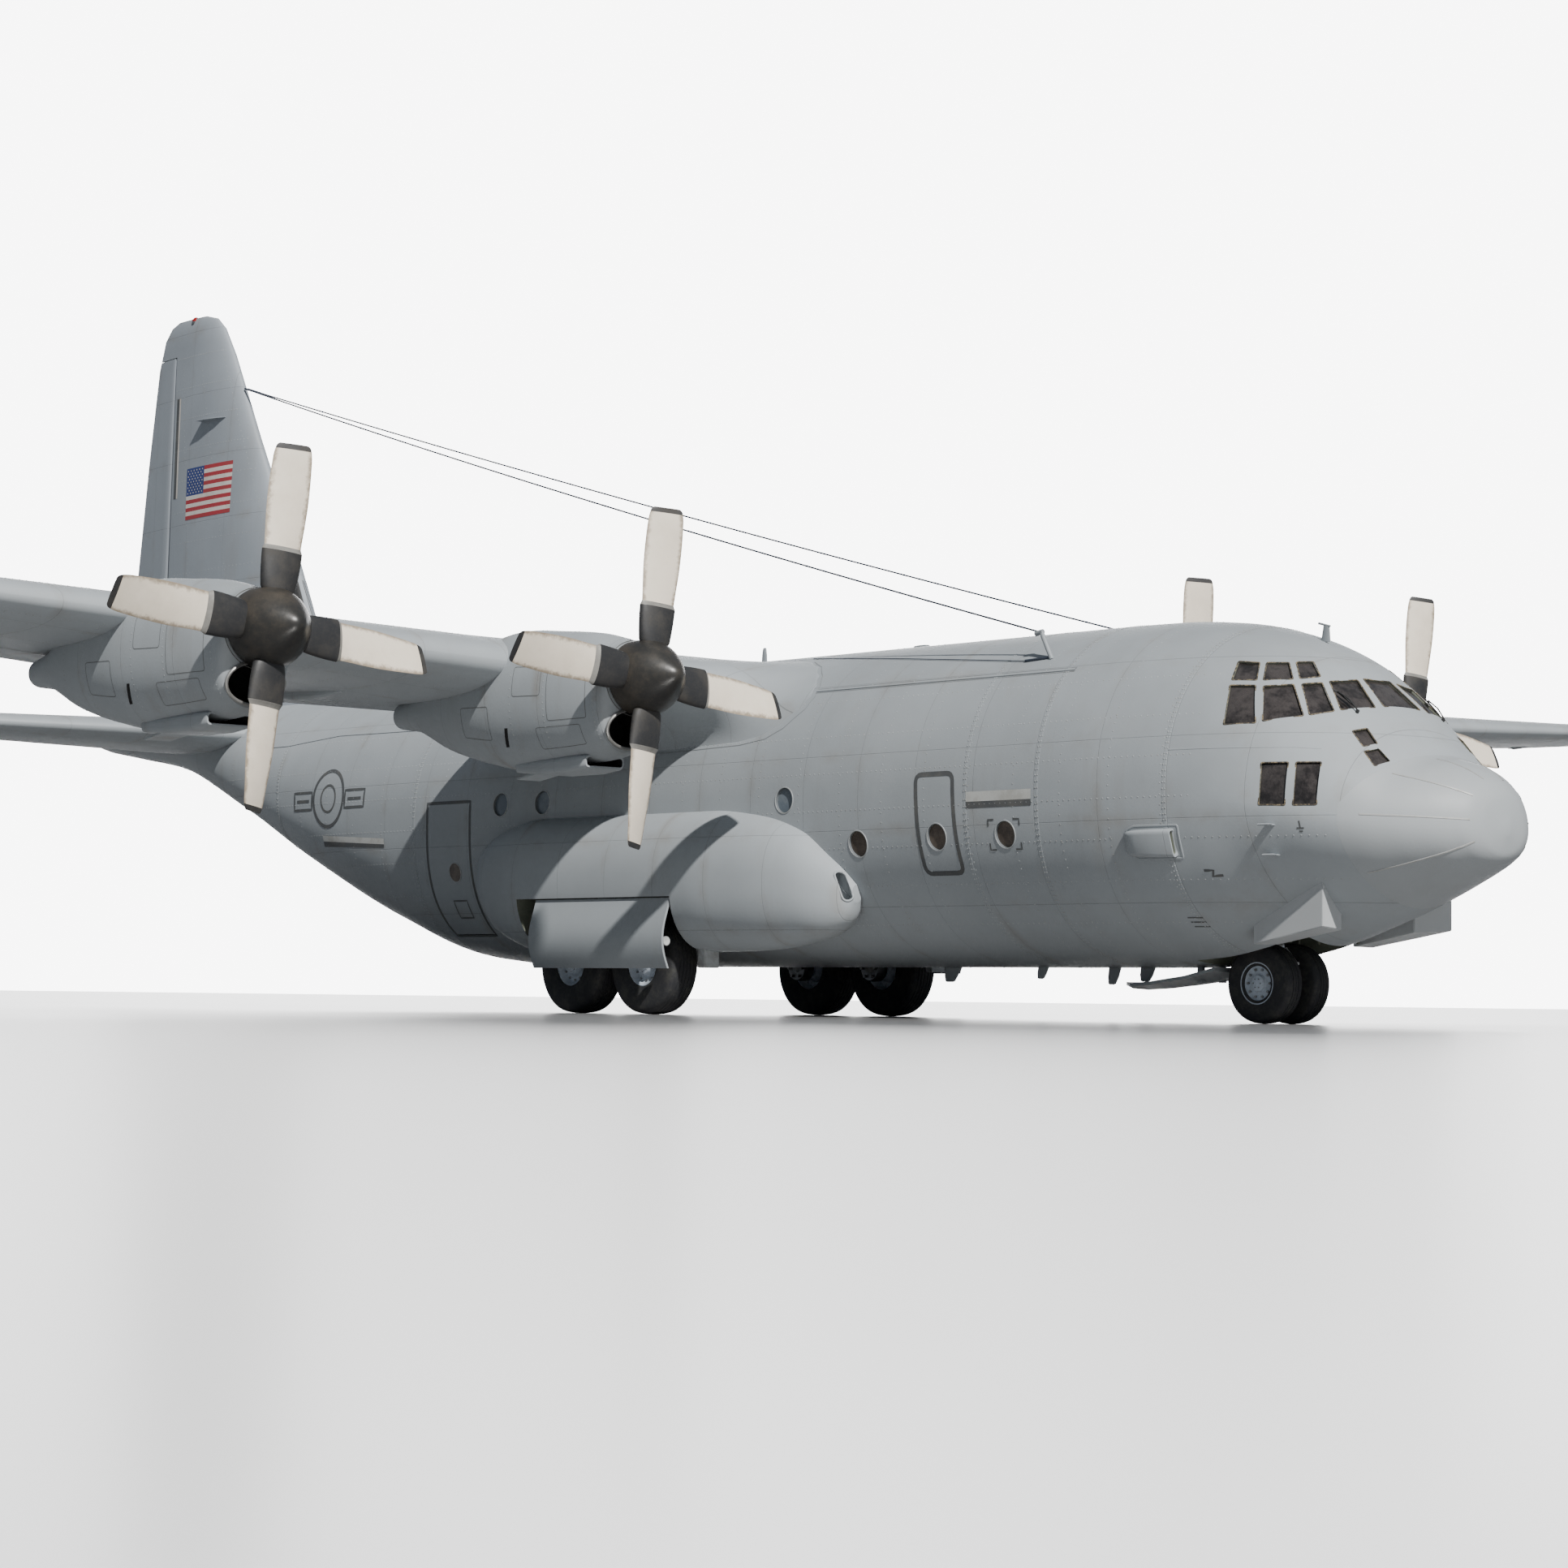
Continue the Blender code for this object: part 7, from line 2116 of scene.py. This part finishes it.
def main_leg_fittings(metal, hoses, x, side):
    """Brake unit with its pistons, torque link, two hoses and clamps of one main leg."""
    z = MAIN_TYRE_RADIUS
    leg_y = side * MAIN_LEG_Y
    way = 1 if x > 0 else -1
    add_lathe(metal, [(side * a, r) for a, r in BRAKE_PROFILE], (x, side * 1.86, z), "Y", 40, mats=[1] * 5)
    for a in turns(6):
        spot = Vector((x + 0.13 * math.cos(a), side * 1.735, z + 0.13 * math.sin(a)))
        add_rod(metal, spot, spot - Vector((0, side * 0.04, 0)), 0.022, 12, mat=1)
    feet = (Vector((x - way * 0.07, leg_y, z + 0.36)), Vector((x - way * 0.06, leg_y, z + 0.0)))
    torque_link(metal, Vector((x - way * 0.24, leg_y, z + 0.16)), feet, 0.05, 0.020, 0.05, 0.026)
    for out, sag in ((0.07, 0.06), (0.10, 0.10)):
        points = []
        for k in range(13):
            t = k / 12
            bow = sag * math.sin(math.pi * t)
            points.append((x + way * (out + bow), leg_y - side * 0.05, z + 0.12 + 0.62 * t))
        add_tube(hoses, points, 0.011, 8)
    for z_clamp in (1.05, 1.30, 1.52):
        add_clamp(metal, x, leg_y, z_clamp, 0.132, 0.015)


def main_gear_fittings():
    """What hangs on the main legs, the ribs under the roof of each bay, and the bar between the legs."""
    metal, hoses = bmesh.new(), bmesh.new()
    roof = WELL[3] - 0.002
    for side in (1, -1):
        for x in (MAIN_WHEEL_X, -MAIN_WHEEL_X):
            main_leg_fittings(metal, hoses, x, side)
        for x in spread(WELL[0] + 0.15, WELL[1] - 0.15, 7):
            side_box(metal, side, (x - 0.012, x + 0.012), (1.66, 2.52), (WELL[3] - 0.07, roof), 2)
        for y in (1.70, 2.05, 2.45):
            along = (WELL[0] + 0.02, WELL[1] - 0.02)
            side_box(metal, side, along, (y - 0.012, y + 0.012), (WELL[3] - 0.05, roof), 2)
        side_box(metal, side, (1.68, 1.80), (1.95, 2.20), (0.62, 0.95))
        add_rod(metal, (-0.55, side * 1.72, 1.29), (0.55, side * 1.72, 1.29), 0.03, 14, mat=1)
    piece("main_gear_fittings", metal, [GEAR, STEEL, PRIMER])
    piece("main_gear_hoses", hoses, HOSE)


def nose_gear_fittings():
    """Clamps and steering cylinders on the nose leg, ribs of its well, and the torque link that steers."""
    bm = bmesh.new()
    x, z = NOSE_WHEEL_X, NOSE_TYRE_RADIUS
    for z_clamp in (1.02, 1.12, 1.40):
        add_clamp(bm, x, 0, z_clamp, 0.14, 0.02)
    for side in (1, -1):
        add_rod(bm, (x - 0.10, side * 0.16, 1.12), (x - 0.42, side * 0.16, 1.12), 0.032, 14)
        add_rod(bm, (x - 0.42, side * 0.16, 1.12), (x - 0.50, side * 0.16, 1.12), 0.016, 12, mat=1)
        side_box(bm, side, (x - 0.14, x - 0.08), (0.10, 0.18), (1.09, 1.15))
        for k in range(5):
            rib = NOSE_WELL_X[0] + 0.2 + 0.3 * k
            side_box(bm, side, (rib - 0.012, rib + 0.012), (0.60, 0.635), (0.95, NOSE_WELL_Z - 0.01), 2)
    piece("nose_gear_fittings", bm, [GEAR, CHROME, PRIMER])
    bm = bmesh.new()
    feet = (Vector((x + 0.07, 0, z + 0.42)), Vector((x + 0.09, 0, z + 0.05)))
    torque_link(bm, Vector((x + 0.26, 0, z + 0.24)), feet, 0.045, 0.017, 0.04, 0.022)
    add_rod(bm, (x + 0.06, 0, z), (x + 0.13, 0, z), 0.03, 14, mat=1)
    piece("nose_torque_link", bm, [GEAR, STEEL], "nose_steering")


# Spans, how far each fairing reaches into the wing, and part of the chord, half width and depth of its rings
FLAP_TRACKS = ((2.7, 3.4, 6.6, 8.3, 11.9), 0.04, (
    (0.42, 0.01, 0.01), (0.48, 0.05, 0.05), (0.56, 0.065, 0.09), (0.64, 0.06, 0.10), (0.688, 0.045, 0.085)))
AILERON_HINGES = ((14.0, 16.4, 18.8), 0.03, (
    (0.60, 0.006, 0.01), (0.64, 0.02, 0.03), (0.70, 0.022, 0.045), (0.722, 0.02, 0.03)))


def wing_fittings():
    """Flap track fairings, aileron hinge fairings and static wicks."""
    bm = bmesh.new()
    for side in (1, -1):
        foil = WING_SIDES[side]
        for places, inside, sections in (FLAP_TRACKS, AILERON_HINGES):
            for y in places:
                rings = []
                for fraction, half, deep in sections:
                    base = foil.point(side * y, fraction, -1)
                    ring = rounded(rect(-half, inside, half, -deep), half * 0.7)
                    rings.append([base + Vector((0, p[0], 0)) + foil.up * p[1] for p in ring])
                loft(bm, rings)
    piece("wing_fairings", bm, WING_PAINT)
    bm = bmesh.new()
    for side in (1, -1):
        foil = WING_SIDES[side]
        for y in (19.78, 19.9, 20.02):
            tail_point = foil.middle(side * y, 1.0)
            add_rod(bm, tail_point + foil.back * -0.02, tail_point + foil.back * 0.14, 0.006, 6)
    piece("static_wicks", bm, BLACK)


# Inside

def hold_frames():
    """Curved frames of the hold, seen when the ramp is open."""
    bm = bmesh.new()
    section = ((-0.02, WALL - 0.01), (0.02, WALL - 0.01), (0.02, WALL + 0.06), (-0.02, WALL + 0.06))
    for x in spread(7.6, -6.9, 29):
        if -4.55 < x < -3.3:
            continue
        under_wing = -3.3 < x < 2.0
        steps = 18 if under_wing else 44
        for low, high in ((-10, 62), (118, 190)) if under_wing else ((-26, 206),):
            angles = spread(math.radians(low), math.radians(high), steps + 1)
            loft(bm, [[Vector(hull_point(x + along, a, deep)) for along, deep in section] for a in angles])
    piece("hold_frames", bm, PRIMER)


def cargo_rollers():
    """Four lanes of rollers along the hold floor."""
    bm = bmesh.new()
    for y in (-0.9, -0.35, 0.35, 0.9):
        add_box(bm, (-4.3, y - 0.05, FLOOR_Z), (7.6, y + 0.05, FLOOR_Z + 0.02))
        for x in spread(-4.2, 7.5, 60):
            add_rod(bm, (x, y - 0.045, FLOOR_Z + 0.025), (x, y + 0.045, FLOOR_Z + 0.025), 0.022, 10, mat=1)
    piece("cargo_rollers", bm, [DECK, STEEL])


def ramp_treads():
    """Cross bars on the ramp's floor."""
    bm = bmesh.new()
    for x in spread(-4.75, -7.55, 15):
        low, high = ramp_floor(x - 0.02), ramp_floor(x + 0.02)
        loft(bm, [[(x - 0.02, y, low - 0.01), (x + 0.02, y, high - 0.01), (x + 0.02, y, high + 0.012),
                   (x - 0.02, y, low + 0.012)] for y in (-1.2, 1.2)])
    piece("ramp_treads", bm, STEEL, "cargo_ramp")


# Station and distance from the middle of each seat
SEATS = ((10.05, -0.62), (10.05, 0.62), (9.0, -0.35))
# Each cushion by its low and high corner: x and y from the seat's middle, z from the ground
CUSHIONS = (((-0.20, -0.22, 2.40), (0.23, 0.22, 2.50)), ((-0.215, -0.21, 2.44), (-0.13, 0.21, 3.12)),
            ((-0.34, -0.13, 3.13), (-0.20, 0.13, 3.34)))
PANEL_X = 10.942


def seat_cushions():
    """Cushion, back and headrest of the three flight-deck seats."""
    bm = bmesh.new()
    for x, y in SEATS:
        for low, high in CUSHIONS:
            cushion = box(*((x + a, y + b, c) for a, b, c in (low, high)))
            bmesh.ops.bevel(cushion, geom=cushion.edges[:], offset=0.03, segments=3, affect="EDGES")
            mesh = bpy.data.meshes.new("cushion")
            cushion.to_mesh(mesh)
            cushion.free()
            bm.from_mesh(mesh)
            bpy.data.meshes.remove(mesh)
    piece("seat_cushions", bm, SEAT)


def cockpit_controls():
    """Yokes, throttles, instrument bezels and the glare shield."""
    bm = bmesh.new()
    for y in (-0.62, 0.60):
        add_rod(bm, (10.93, y, 2.35), (10.66, y, 2.48), 0.025, 12)
        bow = [(10.66, y + 0.17 * math.cos(a), 2.48 + 0.15 * math.sin(a)) for a in spread(-2.6, -0.55, 14)]
        add_tube(bm, [(10.66, y - 0.16, 2.66)] + bow + [(10.66, y + 0.16, 2.66)], 0.016, 10)
    for k, y in enumerate(spread(-0.10, 0.10, 4)):
        x = 10.60 + 0.02 * k
        add_rod(bm, (10.55, y, 2.44), (x, y, 2.60), 0.010, 8)
        add_rod(bm, (x, y - 0.015, 2.60), (x, y + 0.015, 2.60), 0.022, 12, mat=1)
    bezel = ((-0.012, 0.085), (-0.012, 0.10), (0.004, 0.10), (0.004, 0.085))
    for k in range(6):
        for j in range(2):
            centre = (PANEL_X, -0.82 + 0.30 * k, 2.40 + 0.26 * j)
            add_lathe(bm, bezel, centre, "X", 24, closed=True)
            add_lathe(bm, ((-0.004, 0.086), (0.0, 0.086)), centre, "X", 24, mats=[1, 1])
    shade = [(10.84, -1.0), (11.16, -1.0), (11.16, 0.85), (10.84, 0.85)]
    loft(bm, [[(x, y, z) for x, y in shade] for z in (2.885, 2.915)])
    piece("cockpit_controls", bm, [BLACK, STEEL])


# Rivets

# Radius and height of a rivet head
HULL_HEAD = (0.011, 0.006)
SMALL_HEAD = (0.010, 0.005)
FIRST_FRAME_X = 9.6435
FRAME_PITCH = 0.762
FRAMES = 33
RIVET_PITCH = 0.105
# How far the rows beside a lapped joint stand above the skin
LAP_RISE = 0.003


def scatter(name, spots, head, material):
    """Low rivet heads on (point, normal) pairs, grown by a geometry tree and kept as a plain mesh."""
    radius, height = head
    mesh = bpy.data.meshes.new(name + "_spots")
    mesh.from_pydata([to_model(p) for p, _ in spots], [], [])
    ways = mesh.attributes.new("way", "FLOAT_VECTOR", "POINT")
    ways.data.foreach_set("vector", [c for _, n in spots for c in n])
    holder = put(bpy.data.objects.new(name + "_spots", mesh))
    tree = bpy.data.node_groups.new("rivet_rows", "GeometryNodeTree")
    face = tree.interface
    face.new_socket("Geometry", in_out="INPUT", socket_type="NodeSocketGeometry")
    size = face.new_socket("Radius", in_out="INPUT", socket_type="NodeSocketFloat")
    rise = face.new_socket("Height", in_out="INPUT", socket_type="NodeSocketFloat")
    finish = face.new_socket("Finish", in_out="INPUT", socket_type="NodeSocketMaterial")
    face.new_socket("Geometry", in_out="OUTPUT", socket_type="NodeSocketGeometry")
    given = add(tree, "NodeGroupInput").outputs
    way = add(tree, "GeometryNodeInputNamedAttribute", {"Name": "way"}, data_type="FLOAT_VECTOR").outputs[0]
    turn = add(tree, "FunctionNodeAlignRotationToVector", {"Vector": way}, axis="Z").outputs[0]
    cone = add(tree, "GeometryNodeMeshCone", {"Vertices": 7, "Radius Top": 0.0, "Radius Bottom": given[1],
                                             "Depth": given[2]}, fill_type="NONE").outputs[0]
    rows = add(tree, "GeometryNodeInstanceOnPoints", {"Points": given[0], "Instance": cone, "Rotation": turn})
    real = add(tree, "GeometryNodeRealizeInstances", {"Geometry": rows.outputs[0]}).outputs[0]
    painted = add(tree, "GeometryNodeSetMaterial", {"Geometry": real, "Material": given[3]}).outputs[0]
    add(tree, "NodeGroupOutput", {0: painted})
    modifier = holder.modifiers.new("rows", "NODES")
    modifier.node_group = tree
    modifier[size.identifier] = radius * MODEL_SCALE
    modifier[rise.identifier] = height * MODEL_SCALE
    modifier[finish.identifier] = material
    graph = bpy.context.evaluated_depsgraph_get()
    grown = bpy.data.meshes.new_from_object(holder.evaluated_get(graph))
    grown.name = name
    bpy.data.objects.remove(holder)
    bpy.data.meshes.remove(mesh)
    bpy.data.node_groups.remove(tree)
    return place_mesh(name, grown, material, "airframe", sharp=80)


def within(value, low, high, margin=0.0):
    return low - margin < value < high + margin


def clear_of_openings(point):
    """Whether a rivet at this point sits on the fixed fuselage skin and on nothing else."""
    x, y, z = point
    out = abs(y)
    covered = (
        any(math.hypot(x - a, z - b) < 0.25 for a, b in ROUND_WINDOWS),
        y > 0 and within(x, *CREW_DOOR[:2], 0.04) and within(z, *CREW_DOOR[2:], 0.04),
        within(x, *PARA_DOOR[:2], 0.05) and within(z, *PARA_DOOR[2:], 0.05),
        within(x, CARGO_DOOR_X[0], RAMP_X, 0.05) and out < RAMP_HALF_WIDTH + 0.06 and z < HULL.at(x)[3],
        within(x, *NOSE_WELL_X, 0.05) and out < 0.70 and z < 2,
        within(x, -1.75, 1.75) and z < 2.0,
        -3.35 <= x <= SPONSON_FRONT_X and in_sponson(out - SPONSON_Y, x, z, 1.05),
        within(x, -3.2, 2.9) and z > 3.9,
        x < -9.4 and (out < 0.5 and z > 4.5 or within(z, 3.9, 4.75) and x > -14.6),
        within(x, 10.2, 11.35) and z < 1.45,
        y < 0 and within(x, 8.95, 9.9) and within(z, 1.85, 2.28),
        x > 10.05 and within(z, 2.38, 4.25),
    )
    return not any(covered)


def hull_rivets():
    """Rows along the frames, the lapped joints and the stringers of the fuselage."""
    rows = []
    for x in (FIRST_FRAME_X - FRAME_PITCH * k for k in range(FRAMES)):
        count = int(math.pi * (HULL.at(x)[2] * 2) / RIVET_PITCH)
        rows.append((0.0, [hull_spot(x, a) for a in turns(count)]))
    for x in LAP_SEAMS:
        for shift in (-0.017, 0.017):
            rows.append((LAP_RISE, [hull_spot(x + shift, a) for a in turns(200)]))
    for side in (1, -1):
        for z in (1.17, 1.645, 2.12, 2.595, 3.07, 3.545, 4.02):
            rows.append((0.0, [side_spot(x, z, side) for x in spread(11.6, -14.5, 300)
                               if HULL.at(x)[1] + 0.15 < z < HULL.at(x)[0] - 0.1]))
    spots = [(point + normal * rise, normal) for rise, row in rows for point, normal in row
             if clear_of_openings(point)]
    scatter("hull_rivets", spots, HULL_HEAD, RIVET)


def near_nacelle(y, face, fraction):
    """Whether a place on the wing is under a cowling."""
    gap = min(abs(y - INNER_ENGINE[1]), abs(y - OUTER_ENGINE[1]))
    return gap < 0.72 and (face < 0 or fraction < 0.35)


def wing_rivets():
    """Rows along the spars and ribs of the wing."""
    spars = [(y, fraction) for fraction in (0.06, 0.14, 0.40, 0.66) for y in spread(2.3, 19.9, 200)]
    ribs = [(2.44 + 0.61 * k, fraction) for k in range(30) for fraction in spread(0.05, 0.68, 34)]
    spots = []
    for side in (1, -1):
        foil = WING_SIDES[side]
        for face in (1, -1):
            spots += [foil_spot(foil, side * y, fraction, face) for y, fraction in spars + ribs
                      if not near_nacelle(y, face, fraction)]
    scatter("wing_rivets", spots, SMALL_HEAD, RIVET)


def tail_rivets():
    """Rows along the ribs and spars of the fin and the ribs of the tailplane."""
    spots = []
    for face in (1, -1):
        for z in spread(5.15, 11.0, 12):
            rear = min(0.70, rudder_fraction(min(z, 11.0)) - 0.04)
            spots += [foil_spot(FIN, z, fraction, face) for fraction in spread(0.05, rear, 30)]
        for fraction in (0.08, 0.35, 0.60):
            spots += [foil_spot(FIN, z, fraction, face) for z in spread(5.3, 11.0, 60)]
        for side, foil in ((1, TAILPLANE), (-1, TAILPLANE.mirrored())):
            for y in spread(1.5, 7.5, 11):
                spots += [foil_spot(foil, side * y, f, face) for f in spread(0.06, 0.62, 24)]
    scatter("tail_rivets", spots, SMALL_HEAD, RIVET)


def cowl_rivets():
    """Rings round each cowling, left out over the wing and over the oil cooler."""
    spots = []
    for hub in HUBS.values():
        for behind in (0.50, 1.36, 2.00, 3.10, 3.70, 4.30):
            for a in turns(70):
                point, normal = nacelle_spot(hub, behind, a)
                in_wing = behind > 2.0 and point.z > hub[2] + 0.02
                if not in_wing and not (behind < 2.4 and math.sin(a) < -0.80):
                    spots.append((point, normal))
    scatter("cowl_rivets", spots, SMALL_HEAD, RIVET)


add_camera()
add_sun()
add_world()
add_floor()
nose_shells()
hold_shells()
aft_shell()
doors()
cockpit_windows()
wing()
tail()
for engine_number, engine_hub in HUBS.items():
    nacelle(engine_number, engine_hub)
    propeller(engine_number, engine_hub)
for side_label, side_sign in SIDES:
    sponson(side_label, side_sign)
    gear_door(side_label, side_sign)
main_wheels()
nose_wheels()
carried_over()
hull_markings()
fin_markings()
hold_windows()
raised_seams()
edge_lines()
lightning_strips()
chines()
air_scoop()
probes()
hull_aerials()
long_wires()
beacons()
fin_strakes()
nacelle_fittings()
sponson_inlets()
lamps()
gear_door_ribs()
crew_door_steps()
main_gear_fittings()
nose_gear_fittings()
wing_fittings()
hold_frames()
cargo_rollers()
ramp_treads()
seat_cushions()
cockpit_controls()
hull_rivets()
wing_rivets()
tail_rivets()
cowl_rivets()
